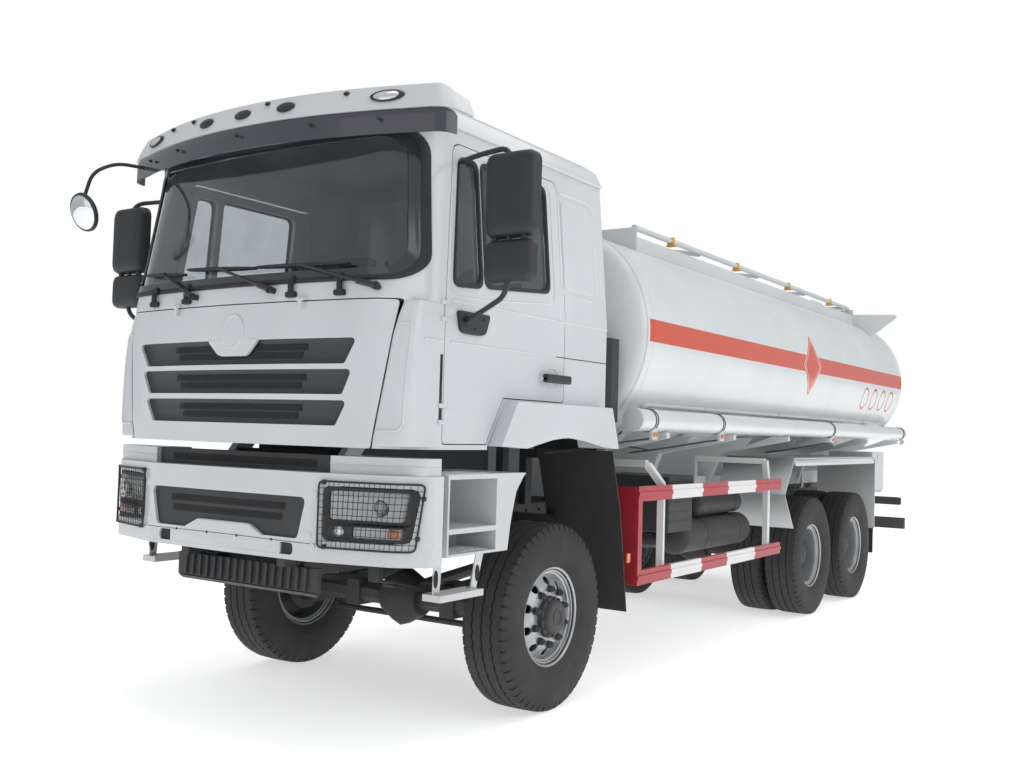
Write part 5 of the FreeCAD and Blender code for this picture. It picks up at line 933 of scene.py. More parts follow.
def grid_tree() -> bpy.types.NodeTree:
    """Builds the layout of copies in staggered rows; Returns: the tree."""
    tree, wiring = layout_tree("RowLayout", ("Columns", "Int"), ("Rows", "Int"), ("Start", "Vector"),
                               ("Column Step", "Vector"), ("Row Step", "Vector"), ("Stagger", "Float"),
                               ("Seed", "Int"), ("Unevenness", "Float"))
    if wiring is None:
        return tree
    enter, leave = wiring.ends()
    total = wiring.times(enter["Columns"], enter["Rows"])
    index = wiring.node("GeometryNodeInputIndex").outputs[0]
    row = wiring.math("FLOOR", wiring.math("DIVIDE", index, enter["Columns"]))
    column = wiring.math("SUBTRACT", index, wiring.times(row, enter["Columns"]))
    odd = wiring.times(wiring.math("MODULO", row, 2.0), enter["Stagger"])
    along = wiring.vectors("SCALE", {0: enter["Column Step"], "Scale": wiring.math("ADD", column, odd)})
    up = wiring.vectors("SCALE", {0: enter["Row Step"], "Scale": row})
    place = wiring.vectors("ADD", {0: wiring.vectors("ADD", {0: along, 1: up}), 1: enter["Start"]})
    points = wiring.node("GeometryNodePoints", {"Count": total, "Position": place})
    loose = wiring.node("FunctionNodeRandomValue", {"Seed": enter["Seed"]}, data_type="FLOAT")
    size = wiring.math("SUBTRACT", 1.0, wiring.times(loose.outputs[1], enter["Unevenness"]))
    set_copies(wiring, points, {"Scale": wiring.joined({0: size, 1: size, 2: size})}, enter, leave)
    return tree


def ring_of(unit: Shape, count: int, finish: Finish, wobble: float = 0.0) -> Shape:
    """Repeats a unit round the Y axis; Args: unit, count, finish, wobble; Returns: the copies."""
    return repeated(unit, ring_tree(), {"Count": count, "Seed": 11, "Wobble": wobble}, finish)


def rows_of(unit: Shape, columns: int, rows: int, start: Point, step: Point, row_step: Point, finish: Finish,
            stagger: float = 0.0) -> Shape:
    """Repeats a unit in rows.

    Args:
        unit: the shape to repeat.
        columns: copies in a row.
        rows: number of rows.
        start: place of the first copy.
        step: way from one copy to the next.
        row_step: way from one row to the next.
        finish: finish of the copies.
        stagger: share of a step by which every second row is moved.
    Returns:
        The copies.
    """
    values = {"Columns": columns, "Rows": rows, "Start": tuple(map(float, start)),
              "Column Step": tuple(map(float, step)), "Row Step": tuple(map(float, row_step)),
              "Stagger": stagger, "Seed": 5, "Unevenness": 0.01}
    return repeated(unit, grid_tree(), values, finish)


@dataclass(frozen=True)
class PressedMesh:
    """A band of pressed mesh: two rows of open diamonds, staggered."""

    wide: float = 34.0
    high: float = 17.0
    bar: float = 2.6
    deep: float = 3.0
    pitch: float = 32.0
    rows: int = 2

    def unit(self) -> Shape:
        """Draws one open diamond, facing X; Returns: the shape."""
        unit = Shape()
        rings = []
        for depth in (0.0, -self.deep):
            for size in (1.0, 1.0 - 2.0 * self.bar / self.high):
                rings.append([(depth, self.wide * 0.5 * size * a, self.high * 0.5 * size * b)
                              for a, b in ((1, 0), (0, 1), (-1, 0), (0, -1))])
        unit.loft([rings[0], rings[1], rings[3]], caps=False)
        unit.loft([rings[0], rings[2]], caps=False)
        return unit

    def band(self, half: float, middle: float, finish: Finish) -> Shape:
        """Lays the diamonds across; Args: half width, middle height, finish; Returns: the band."""
        columns = int(2.0 * half / self.pitch)
        rise = 0.5 * self.pitch
        start = (0.0, -rise * (columns - 1), middle - 0.5 * rise * (self.rows - 1))
        return rows_of(self.unit(), columns, self.rows, start, (0.0, self.pitch, 0.0), (0.0, 0.0, rise),
                       finish, 0.5)


def hex_unit(across: float, low: float, high: float, radius: float) -> Shape:
    """Draws a nut whose axis is Y, at a radius above the axis; Args: its sizes; Returns: the shape."""
    unit = Shape()
    unit.loft([[(across * 0.5 * size * c, y, radius + across * 0.5 * size * s) for c, s in compass(6)]
               for y, size in ((low, 1.0), (high - 3.0, 1.0), (high, 0.82))])
    return unit


@dataclass
class Assembly:
    """A sub-assembly: it draws its pieces and sets each one on its body."""

    truck: Checked
    title: str = "assembly"
    pieces: list[bpy.types.Object] = field(default_factory=list)

    def show(self, shape: Shape, name: str, body: str, finishes: Sequence[Finish], slot: Slot,
             stands_for: Sequence[str] = (), bevel: float = 0.0, sharp: float = 35.0) -> bpy.types.Object:
        """Turns a drawn shape into a finished piece.

        Args:
            shape: the drawn shape.
            name: name of the piece.
            body: body it rides on.
            finishes: its finishes by number.
            slot: material slot of the record; not used.
            stands_for: checked nodes it replaces.
            bevel: width of its softened edges.
            sharp: angle above which an edge stays hard, in degrees.
        Returns:
            The piece.
        """
        return self.place(shape.mesh(name), name, body, finishes, slot, stands_for, bevel, sharp)

    def place(self, mesh: bpy.types.Mesh, name: str, body: str, finishes: Sequence[Finish], slot: Slot,
              stands_for: Sequence[str], bevel: float, sharp: float) -> bpy.types.Object:
        """Softens, dresses and mounts a mesh; Args: as for show; Returns: the piece."""
        for finish in finishes:
            mesh.materials.append(finish.material())
        mesh.polygons.foreach_set("use_smooth", [True] * len(mesh.polygons))
        piece = linked(name, mesh)
        if bevel > 0:
            edge = piece.modifiers.new("Edge", "BEVEL")
            edge.width = bevel * MM
            edge.segments = 2
            edge.limit_method = "ANGLE"
            edge.angle_limit = math.radians(sharp)
        else:
            mesh.set_sharp_from_angle(angle=math.radians(sharp))
        weighted = piece.modifiers.new("Faces", "WEIGHTED_NORMAL")
        weighted.keep_sharp = True
        settle(piece)
        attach(piece, body)
        if stands_for:
            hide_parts(*stands_for)
        self.pieces.append(piece)
        return piece

    def carry(self, node: str, body: str, finish: Finish, slot: Slot, bevel: float,
              below: Optional[tuple[float, Finish]] = None, sharp: float = 35.0) -> bpy.types.Object:
        """Refines a checked node and puts it in the node's place.

        Args:
            node: the node.
            body: its body.
            finish: its finish.
            slot: material slot of the record; not used.
            bevel: width of its softened edges.
            below: a height and the finish of everything under it.
            sharp: angle above which an edge is softened, in degrees.
        Returns:
            The piece.
        """
        name = "fine_" + node
        mesh = self.truck.mesh(node, name)
        finishes = [finish]
        if below is not None:
            finishes.append(below[1])
            for polygon in mesh.polygons:
                if polygon.center.z < below[0] * MM:
                    polygon.material_index = 1
        return self.place(mesh, name, body, finishes, slot, (node,), bevel, sharp)

    def report(self) -> None:
        """Names each piece with its faces in the log."""
        for piece in self.pieces:
            LOG.info("%s: %s, %d faces", self.title, piece.name, len(piece.data.polygons))


@dataclass
class Tyre:
    """One tyre: carcass, bead and tread."""

    radius: float = 562.5
    half_width: float = 157.5
    tread_half: float = 136.0
    bead_radius: float = 281.0
    groove_depth: float = 15.0
    pitches: int = 54
    zigzag: float = 8.0
    crown_fall: float = 0.6
    crown_reach: float = 60.0
    foot_spread: float = 2.5
    lug_depth: float = 13.0
    lug_lean: float = 9.0
    wobble: float = 0.003

    def half_pitch(self) -> float:
        """Gives half the length of one pitch of the tread; Returns: the length."""
        return math.pi * self.radius / self.pitches

    def carcass(self) -> list[Point]:
        """Gives the section of the carcass as distance and radius; Returns: the closed profile."""
        base = self.radius - self.groove_depth
        outer = [(self.tread_half - 6, base), (self.half_width - 10, base - 24),
                 (self.half_width - 3, base - 66),
                 (self.half_width, 452), (self.half_width - 1, 418), (self.half_width - 6, 384), (148, 362),
                 (146, 357), (140, 338), (129, 312), (119, 296), (110, self.bead_radius)]
        return [(60.0, base + 2), *outer, *[(-w, r) for w, r in reversed(outer)], (-60.0, base + 2)]

    def rib(self, unit: Shape, low: float, high: float, waved: tuple[bool, bool]) -> None:
        """Draws one tread block of a pitch; Args: unit, low, high and which edges follow the zigzag."""
        half = self.half_pitch()
        top = []
        for edge, start, follows in ((low, -half, waved[0]), (high, half, waved[1])):
            for along, wave in ((start, 0.0), (0.0, 1.0), (-start, 0.0)):
                top.append((along, edge + self.zigzag * (wave - 0.5) * follows))
        crown = [(x, y, self.radius - self.crown_fall * (abs(y) / self.crown_reach) ** 2) for x, y in top]
        floor = self.radius - self.groove_depth - 3
        foot = [(x, y + math.copysign(self.foot_spread, y - 0.5 * (low + high)), floor) for x, y in top]
        unit.loft([foot, crown], caps=False)
        size = len(unit.points)
        unit.faces.append((size - 6, size - 5, size - 2, size - 1))
        unit.faces.append((size - 5, size - 4, size - 3, size - 2))
        unit.finishes.extend([0, 0])

    def shoulder(self, unit: Shape, side: float) -> None:
        """Draws the lug at the tread's shoulder; Args: unit, side."""
        half = self.half_pitch()
        stations = ((self.tread_half - 22, self.radius - 3.4, 1.0),
                    (self.tread_half, self.radius - 6.0, 0.74),
                    (self.half_width - 9, self.radius - 36, 0.66), (self.half_width - 4, 488, 0.5))
        rings = []
        for y, r, reach in stations:
            inner = (side * (y - self.lug_lean), r - self.lug_depth)
            rings.append([(-half * reach, side * y, r), (half * reach, side * y, r), (half * reach, *inner),
                          (-half * reach, *inner)])
        unit.loft(rings)

    def tread(self) -> Shape:
        """Repeats one pitch of the tread round the tyre; Returns: the tread."""
        unit = Shape()
        for _, side in SIDES:
            for low, high, waved in ((6.0, 60.0, (True, True)), (71.0, self.tread_half - 20, (True, False))):
                edges = sorted((side * low, side * high))
                marks = waved if side > 0 else (waved[1], waved[0])
                self.rib(unit, edges[0], edges[1], marks)
            self.shoulder(unit, side)
        return ring_of(unit, self.pitches, TYRE_RUBBER, self.wobble)


@dataclass
class Wheels(Assembly):
    """The ten tyres and discs in their six groups."""

    title: str = "wheels"
    tyre: Tyre = field(default_factory=Tyre)
    axle_height: float = 562.5
    twin_offset: float = 172.0
    stud_circle: float = 167.5
    stud_count: int = 10
    hole_count: int = 10
    hole_border: float = 9.0
    disc_inner: float = 120.0
    disc_outer: float = 256.0
    disc_thick: float = 11.0
    front_y: float = 1015.0
    rear_y: float = 920.0
    axles: tuple[tuple[str, float], ...] = (("front", 0.0), ("mid", -4660.0), ("rear", -6060.0))

    def barrel(self, shape: Shape, centre: Point, side: float) -> None:
        """Draws a rim's barrel with its flanges; Args: shape, centre, side."""
        section = [(-123, 299), (-119, 303), (-114, 300), (-108, 288), (-102, 277), (-58, 262), (58, 262),
                   (102, 277), (108, 288), (114, 300), (119, 303), (123, 299), (117, 288), (106, 285), (103,
                                                                                                        272),
                   (90, 269), (86, 258), (62, 252), (-62, 252), (-86, 258), (-90, 269), (-103, 272), (-106,
                                                                                                      285),
                   (-117, 288)]
        shape.turned(section, centre, side, 56, 0, whole=True)

    def disc(self, shape: Shape, centre: Point, side: float, depth: Callable[[float], float],
             hole_radius: float, hole: Pair) -> None:
        """Draws a wheel disc with hand holes.

        Args:
            shape: the drawing.
            centre: middle of the disc.
            side: the way out.
            depth: distance along the axle at a radius.
            hole_radius: radius of the ring of holes.
            hole: half height and half width of a hole.
        """
        low = hole_radius - hole[0] - self.hole_border
        high = hole_radius + hole[0] + self.hole_border
        half = math.pi / self.hole_count
        border = [(k / 4 * 2 - 1, -1.0) for k in range(4)] + [(1.0, k / 4 * 2 - 1) for k in range(4)]
        border += [(1 - k / 4 * 2, 1.0) for k in range(4)] + [(-1.0, 1 - k / 4 * 2) for k in range(4)]

        def at(angle: float, radius: float, thick: float) -> Point:
            """Gives a point of the disc."""
            return (centre[0] + radius * math.cos(angle), centre[1] + side * (depth(radius) - thick),
                    centre[2] + radius * math.sin(angle))

        for number in range(self.hole_count):
            middle = (number + 0.5) * 2 * half
            outside = [(middle + a * half, between(low, high, (b + 1) / 2)) for a, b in border]
            turns = [math.atan2(b, a) for a, b in border]
            inside = [(middle + hole[1] * math.cos(t) / hole_radius, hole_radius + hole[0] * math.sin(t))
                      for t in turns]
            loops = ((outside, 0.0), (inside, 0.0), (inside, self.disc_thick), (outside, self.disc_thick))
            shape.loft([[at(a, r, thick) for a, r in loop] for loop, thick in loops], caps=False)
        steps = self.hole_count * 4
        for start, end, count in ((self.disc_inner, low, 4), (high, self.disc_outer, 3)):
            radii = [between(start, end, k / count) for k in range(count + 1)]
            for thick in (0.0, self.disc_thick):
                rings = [[at(k * TURN / steps, r, thick) for k in range(steps)] for r in radii]
                shape.loft(rings, caps=False)

    def front(self, shape: Shape, centre: Point, side: float) -> None:
        """Draws the front rim, its convex disc and the hub; Args: shape, centre, side."""
        self.barrel(shape, centre, side)
        self.disc(shape, centre, side, lambda r: 104.0 - 46.0 * eased(r, 172.0, self.disc_outer), 214.0,
                  (25.0, 27.0))
        shape.turned([(30, 120), (38, 240), (30, 247), (18, 247), (14, 240), (14, 120)], centre, side, 40, 1)
        hub = [(70, 140), (93, 139), (97, 136), (101, 128), (103, 127), (132, 124), (136, 118), (138, 108),
               (158, 102), (166, 94), (169, 84), (170, 52), (173, 50), (173, 42), (169, 40), (168, 0.01)]
        shape.turned(hub, centre, side, 40, 1)
        self.nuts(shape, ((98.0, 107.0, 26.0), (107.0, 132.0, 22.0), (132.0, 142.0, 17.0),
                          (142.0, 147.0, 9.0)),
                  centre, side)
        self.ring(shape, hex_unit(15.0, 136.0, 146.0, 115.0), 12, centre, side)

    def nuts(self, shape: Shape, levels: Sequence[Triple], centre: Point, side: float) -> None:
        """Adds the wheel nuts; Args: shape, low, high and radius of each level of a nut, centre, side."""
        nut = Shape()
        for low, high, radius in levels:
            nut.take(hex_unit(radius * 2.0, low, high, self.stud_circle))
        self.ring(shape, nut, self.stud_count, centre, side)

    def ring(self, shape: Shape, unit: Shape, count: int, centre: Point, side: float) -> None:
        """Adds a ring of small parts round an axle; Args: shape, unit, count, centre, side."""
        ring = ring_of(unit, count, HUB_GREY)
        shape.take(ring, lambda p: (centre[0] + p.x, centre[1] + side * p.y, centre[2] + p.z), 1)

    def rear(self, shape: Shape, centre: Point, side: float) -> None:
        """Draws the twin rear rims, the dished disc and the hub; Args: shape, centre, side."""
        for offset in (self.twin_offset, -self.twin_offset):
            self.barrel(shape, (centre[0], centre[1] + side * offset, centre[2]), side)
        for facing in (side, -side):
            drum = (centre[0], centre[1] + (facing - side) * 8.0, centre[2])
            self.disc(shape, drum, facing, lambda r: 28.0 + 54.0 * eased(r, 190.0, self.disc_outer), 222.0,
                      (22.0, 24.0))
            shape.turned([(-2, 120), (2, 240), (-2, 247), (-7, 247), (-8, 240), (-8, 120)], drum, facing, 40,
                         1)
        hub = [(-10, 140), (30, 139), (34, 128), (150, 124), (160, 118), (164, 104), (200, 96), (216, 86),
               (222, 70), (224, 40), (229, 36), (229, 0.01)]
        shape.turned(hub, centre, side, 40, 1)
        self.nuts(shape, ((24.0, 32.0, 25.0), (32.0, 58.0, 21.0), (58.0, 76.0, 17.0)), centre, side)
        self.ring(shape, hex_unit(15.0, 160.0, 170.0, 110.0), 10, centre, side)

    def build(self) -> None:
        """Draws all wheel groups."""
        tread = self.tyre.tread()
        for axle, x in self.axles:
            for label, side in SIDES:
                twin = axle != "front"
                centre = (x, side * (self.rear_y if twin else self.front_y), self.axle_height)
                rubber = Shape()
                for offset in ((self.twin_offset, -self.twin_offset) if twin else (0.0,)):
                    middle = (centre[0], centre[1] + side * offset, centre[2])
                    rubber.turned(self.tyre.carcass(), middle, side, 72, 0, whole=True)
                    rubber.take(tread, lambda p, m=middle: (m[0] + p.x, m[1] + p.y, m[2] + p.z))
                name = axle + "_" + label
                self.show(rubber, "tyres_" + name, "wheel_" + name, [TYRE_RUBBER], Slot.TYRE,
                          ["tyre_" + name])
                metal = Shape()
                draw = self.rear if twin else self.front
                draw(metal, centre, side)
                self.show(metal, "rims_" + name, "wheel_" + name, [RIM_SILVER, HUB_GREY], Slot.RIM,
                          ["rim_" + name])


@dataclass
class Carried(Assembly):
    """Checked nodes that keep their form and get softened edges and a finish."""

    title: str = "refined nodes"
    plan: tuple[tuple[str, str, Finish, Slot, float], ...] = (
        ("chassis_frame", "chassis", CHASSIS_PAINT, Slot.CHASSIS, 3.0),
        ("front_axle", "chassis", CAST_IRON, Slot.CAST, 3.0),
        ("rear_axles", "chassis", CAST_IRON, Slot.CAST, 3.0),
        ("leaf_springs", "chassis", CHASSIS_PAINT, Slot.CHASSIS, 2.0),
        ("engine", "chassis", CAST_IRON, Slot.CAST, 6.0),
        ("subframe", "chassis", TRIM_WHITE, Slot.TRIM, 3.0),
        ("walkway", "chassis", TRIM_WHITE, Slot.ALUMINIUM, 2.0),
        ("side_guards", "chassis", GUARD_PAINT, Slot.GUARD, 3.0),
        ("rear_fenders", "chassis", TRIM_WHITE, Slot.TRIM, 3.0),
        ("mudflaps", "chassis", SEAL_RUBBER, Slot.RUBBER, 2.0),
        ("fuel_tank", "chassis", ALUMINIUM, Slot.ALUMINIUM, 6.0),
        ("underrun_bar", "chassis", CHASSIS_PAINT, Slot.CHASSIS, 3.0),
        ("rear_ladder", "chassis", TRIM_WHITE, Slot.TRIM, 2.0),
        ("locker", "chassis", TRIM_WHITE, Slot.TRIM, 3.0),
        ("bumper", "chassis", CAB_WHITE, Slot.CAB_WHITE, 5.0),
        ("bumper_grille", "chassis", BLACK_PLASTIC, Slot.BLACK_PLASTIC, 2.0),
        ("cab_steps", "chassis", TRIM_WHITE, Slot.CAB_WHITE, 2.0),
        ("air_intake", "chassis", BLACK_PLASTIC, Slot.BLACK_PLASTIC, 4.0),
        ("cab_shell", "cab", CAB_WHITE, Slot.CAB_WHITE, 4.0),
        ("cab_roof", "cab", CAB_WHITE, Slot.CAB_WHITE, 4.0),
        ("windscreen", "cab", SCREEN_GLASS, Slot.GLASS, 0.0),
        ("cab_fenders", "cab", CAB_WHITE, Slot.CAB_WHITE, 5.0),
        ("dashboard", "cab", GREY_PLASTIC, Slot.GREY_PLASTIC, 6.0),
        ("door_left", "door_left", CAB_WHITE, Slot.CAB_WHITE, 4.0),
        ("door_right", "door_right", CAB_WHITE, Slot.CAB_WHITE, 4.0),
        ("glass_door_left", "door_left", SCREEN_GLASS, Slot.GLASS, 0.0),
        ("glass_door_right", "door_right", SCREEN_GLASS, Slot.GLASS, 0.0),
        ("front_lid", "front_lid", CAB_WHITE, Slot.CAB_WHITE, 3.0),
        ("knuckle_left", "knuckle_left", CAST_IRON, Slot.CAST, 4.0),
        ("knuckle_right", "knuckle_right", CAST_IRON, Slot.CAST, 4.0),
        ("tie_rod", "tie_rod", CAST_IRON, Slot.CAST, 2.0),
        ("manhole_lid", "manhole_lid", TRIM_WHITE, Slot.TANK_WHITE, 4.0),
        ("locker_door", "locker_door", TRIM_WHITE, Slot.TRIM, 3.0),
        ("handrail", "handrail", TRIM_WHITE, Slot.ALUMINIUM, 2.0),
    )

    step_line: float = 1021.0
    rail_posts: int = 4

    def build(self) -> None:
        """Refines every node of the plan and the rail posts, and leaves the low steps bare metal."""
        for node, body, finish, slot, bevel in self.plan:
            below = (self.step_line, ALUMINIUM) if node == "cab_steps" else None
            self.carry(node, body, finish, slot, bevel, below)
        for number in range(1, self.rail_posts + 1):
            node = f"rail_post_{number}"
            self.carry(node, node, TRIM_WHITE, Slot.ALUMINIUM, 2.0)


@dataclass(frozen=True)
class CabForm:
    """The cab's outer face at any height."""

    stations: tuple[Triple, ...] = ((1574.0, 1150.0, 1555.0), (2150.0, 1150.0, 1582.0),
                                    (2400.0, 1150.0, 1560.0), (3330.0, 1068.0, 1422.0))
    corner: float = 300.0
    bow: float = 55.0
    bow_span: float = 850.0
    probe_step: float = 4.0

    def level(self, z: float) -> tuple[float, float]:
        """Gives half width and front at a height; Args: z; Returns: both."""
        last = len(self.stations) - 2
        for i, (low, high) in enumerate(zip(self.stations, self.stations[1:])):
            if z <= high[0] or i == last:
                share = (z - low[0]) / (high[0] - low[0])
                return between(low[1], high[1], share), between(low[2], high[2], share)
        return self.stations[0][1], self.stations[0][2]

    def front_x(self, y: float, z: float) -> float:
        """Gives X of the face at a width and height; Args: y, z; Returns: X."""
        half, front = self.level(z)
        span = half - self.corner
        bow = self.bow * span / self.bow_span
        radius = (span * span + bow * bow) / (2.0 * bow)
        away = abs(y)
        if away <= span:
            return front - radius + math.sqrt(radius * radius - y * y)
        reach = min(away - span, self.corner)
        return front - bow - self.corner + math.sqrt(self.corner ** 2 - reach ** 2)

    def on_front(self, y: float, z: float, lift: float) -> Point:
        """Gives a point lifted off the front face.

        Args:
            y: place across.
            z: height.
            lift: distance off the face, negative inwards.
        Returns:
            The point.
        """
        step = self.probe_step
        across = (self.front_x(y + step, z) - self.front_x(y - step, z)) / (2.0 * step)
        upward = (self.front_x(y, z + step) - self.front_x(y, z - step)) / (2.0 * step)
        normal = Vector((1.0, -across, -upward)).normalized()
        return Vector((self.front_x(y, z), y, z)) + normal * lift

    def beside(self, side: float) -> Place:
        """Gives the placing on one flat side by X, Z and lift; Args: side; Returns: the placing."""
        return lambda x, z, lift: (x, side * (self.level(z)[0] + lift), z)


CAB = CabForm()


def grown(outline: Sequence[Vector], reach: float) -> list[Vector]:
    """Widens a closed outline about its middle.

    Args:
        outline: its points in two dimensions.
        reach: distance it grows on each side, negative inwards.
    Returns:
        The moved points.
    """
    low = Vector((min(p.x for p in outline), min(p.y for p in outline)))
    high = Vector((max(p.x for p in outline), max(p.y for p in outline)))
    middle = (low + high) * 0.5
    half = (high - low) * 0.5
    wide = max(0.02, (half.x + reach) / half.x)
    tall = max(0.02, (half.y + reach) / half.y)
    return [Vector((middle.x + (p.x - middle.x) * wide, middle.y + (p.y - middle.y) * tall)) for p in outline]


def frame_round(shape: Shape, outline: Sequence[Vector], place: Place, section: Sequence[Point],
                finish: int = 0) -> None:
    """Runs a section round an outline.

    Args:
        shape: the drawing.
        outline: closed outline in two dimensions.
        place: turns the two places and the lift into a point.
        section: pairs of reach outwards and lift.
        finish: finish number.
    """
    loops = [[place(p.x, p.y, lift) for p in grown(outline, reach)] for reach, lift in section]
    shape.loft(loops, finish, looped=True)


def pad(shape: Shape, outline: Sequence[Vector], place: Place, steps: Sequence[Point],
        finish: int = 0) -> None:
    """Draws a raised or sunk panel from its rim inwards.

    Args:
        shape: the drawing.
        outline: closed outline in two dimensions.
        place: turns the two places and the lift into a point.
        steps: pairs of reach and lift, the last one filled.
        finish: finish number.
    """
    rings = [[place(p.x, p.y, lift) for p in grown(outline, reach)] for reach, lift in steps]
    shape.loft(rings, finish)


def rounded_box(shape: Shape, low: Point, high: Point, radius: float, axis: int = 0, finish: int = 0,
                dome: float = 0.0) -> None:
    """Draws a box whose edges along one axis are round and whose ends are eased.

    Args:
        shape: the drawing.
        low: lowest corner.
        high: highest corner.
        radius: radius of the long edges.
        axis: the axis the round edges follow.
        finish: finish number.
        dome: how far the far end narrows.
    """
    others = [i for i in range(3) if i != axis]
    a, b = others
    corner_points = [(low[a], low[b]), (high[a], low[b]), (high[a], high[b]), (low[a], high[b])]
    outline = rounded(corner_points, radius, True, 4)
    ease = min(radius * 0.35, (high[axis] - low[axis]) * 0.3)
    rings = []
    for depth, reach in ((low[axis], -ease), (low[axis] + ease * 0.3, -ease * 0.3), (low[axis] + ease, 0.0),
                         (high[axis] - ease, -dome * 0.5), (high[axis] - ease * 0.3,
                                                            -dome * 0.8 - ease * 0.3),
                         (high[axis], -dome - ease)):
        ring = []
        for p in grown(outline, reach):
            point = [0.0, 0.0, 0.0]
            point[axis] = depth
            point[a] = p.x
            point[b] = p.y
            ring.append(tuple(point))
        rings.append(ring)
    shape.loft(rings, finish)


@dataclass
class Tank(Assembly):
    """The oval tank with its head band, manhole neck and side pipe."""

    title: str = "tank"
    half_width: float = 1220.0
    half_height: float = 850.0
    corner_radius: float = 480.0
    corner_y: float = 633.0
    corner_z: float = 239.0
    centre_z: float = 2400.0
    front: float = -1060.0
    rear: float = -8000.0
    manhole_x: float = -4500.0
    pipe_y: float = 1058.0
    pipe_z: float = 1900.0
    clamp_x: float = -2350.0
    clamp_step: float = 1410.0
    steps: int = 7

    def quadrant(self) -> list[Pair]:
        """Gives a quarter of the section from the side to the top; Returns: pairs of Y and Z."""
        w, h, r = self.half_width, self.half_height, self.corner_radius
        y, z = self.corner_y, self.corner_z
        side = ((y - w) ** 2 + z * z - r * r) / (2.0 * (w - y - r))
        top = ((z - h) ** 2 + y * y - r * r) / (2.0 * (h - z - r))
        first = math.atan2(z, y - w + side)
        second = math.atan2(z - h + top, y)
        made = []
        for centre, radius, start, end in (((w - side, 0.0), side, 0.0, first), ((y, z), r, first, second),
                                           ((0.0, h - top), top, second, math.pi / 2)):
            for k in range(self.steps):
                angle = between(start, end, k / self.steps)
                made.append((centre[0] + radius * math.cos(angle), centre[1] + radius * math.sin(angle)))
        made.append((0.0, h))
        return made

    def ring(self, x: float, scale: float = 1.0, grow: float = 0.0) -> list[Point]:
        """Gives the whole section at a station; Args: x, scale, grow; Returns: the points."""
        quarter = self.quadrant()
        turns = [*quarter, *[(-y, z) for y, z in reversed(quarter[:-1])]]
        turns += [(y, -z) for y, z in reversed(turns[1:-1])]
        points = []
        for y, z in turns:
            length = math.hypot(y, z)
            share = scale + grow / length
            points.append((x, y * share, self.centre_z + z * share))
        return points

    def build(self) -> None:
        """Draws the tank and its fittings."""
        heads = ((1.0, 0.0), (0.992, 20.0), (0.975, 42.0), (0.945, 64.0), (0.88, 90.0), (0.76, 118.0),
                 (0.55, 148.0), (0.3, 168.0), (0.12, 174.0))
        shape = Shape()
        rings = [self.ring(self.rear - depth, scale) for scale, depth in reversed(heads)]
        rings += [self.ring(x) for x in (-6600.0, -5200.0, -3800.0, -2400.0)]
        rings += [self.ring(self.front + depth, scale) for scale, depth in heads]
        shape.loft(rings)
        section = ((-1.0, -0.6), (-0.5, 1.0), (0.5, 1.0), (1.0, -0.6))
        for x, wide, high in ((self.front - 4.0, 14.0, 4.0), (self.front - 82.0, 7.0, 2.5),
                              (self.rear + 4.0, 14.0, 4.0), (self.rear + 82.0, 7.0, 2.5)):
            shape.loft([self.ring(x + a * wide, 1.0, b * high) for a, b in section], caps=False)
        top = self.centre_z + self.half_height
        neck = [(-60, 262), (-45, 300), (-38, 302), (-33, 268), (60, 268), (62, 304), (80, 305), (80, 240),
                (-90, 240)]
        shape.turned(neck, (self.manhole_x, 0.0, top), 1.0, 48, 0, whole=True, axis=UPWARDS)
        hinge = self.manhole_x - 332.0
        shape.block((hinge - 22, -60, top + 64), (hinge + 40, 60, top + 80))
        for y in (-60.0, 44.0):
            shape.block((hinge - 20, y, top + 70), (hinge + 20, y + 16, top + 120))
        shape.tube([(hinge, -62, top + 100), (hinge, 62, top + 100)], 8)
        for _, side in SIDES:
            y, z = side * self.pipe_y, self.pipe_z
            ends = side * 1000, 1840
            pipe = [(-1350, *ends), (-1350, y, z), (-7900, y, z), (-7900, *ends)]
            shape.tube(rounded(pipe, 60), 17, 10)
            for x in (-2400.0, -4100.0, -5300.0, -6900.0):
                shape.tube([(x - 9, y, z), (x + 9, y, z)], 24, 12)
        self.show(shape, "tank_shell", "chassis", [TANK_WHITE], Slot.TANK_WHITE, ["tank"], sharp=38.0)
        clamps = Shape()
        for number in range(4):
            x = self.clamp_x - self.clamp_step * number
            for shift in (-9.0, 9.0):
                clamps.block((x - 34 + shift, 717, 3246), (x - 20 + shift, 773, 3314))
            clamps.block((x - 44, 715, 3238), (x + 10, 800, 3250))
        self.show(clamps, "rail_clamps", "chassis", [MARKER_YELLOW], Slot.TRIM, bevel=3.0)


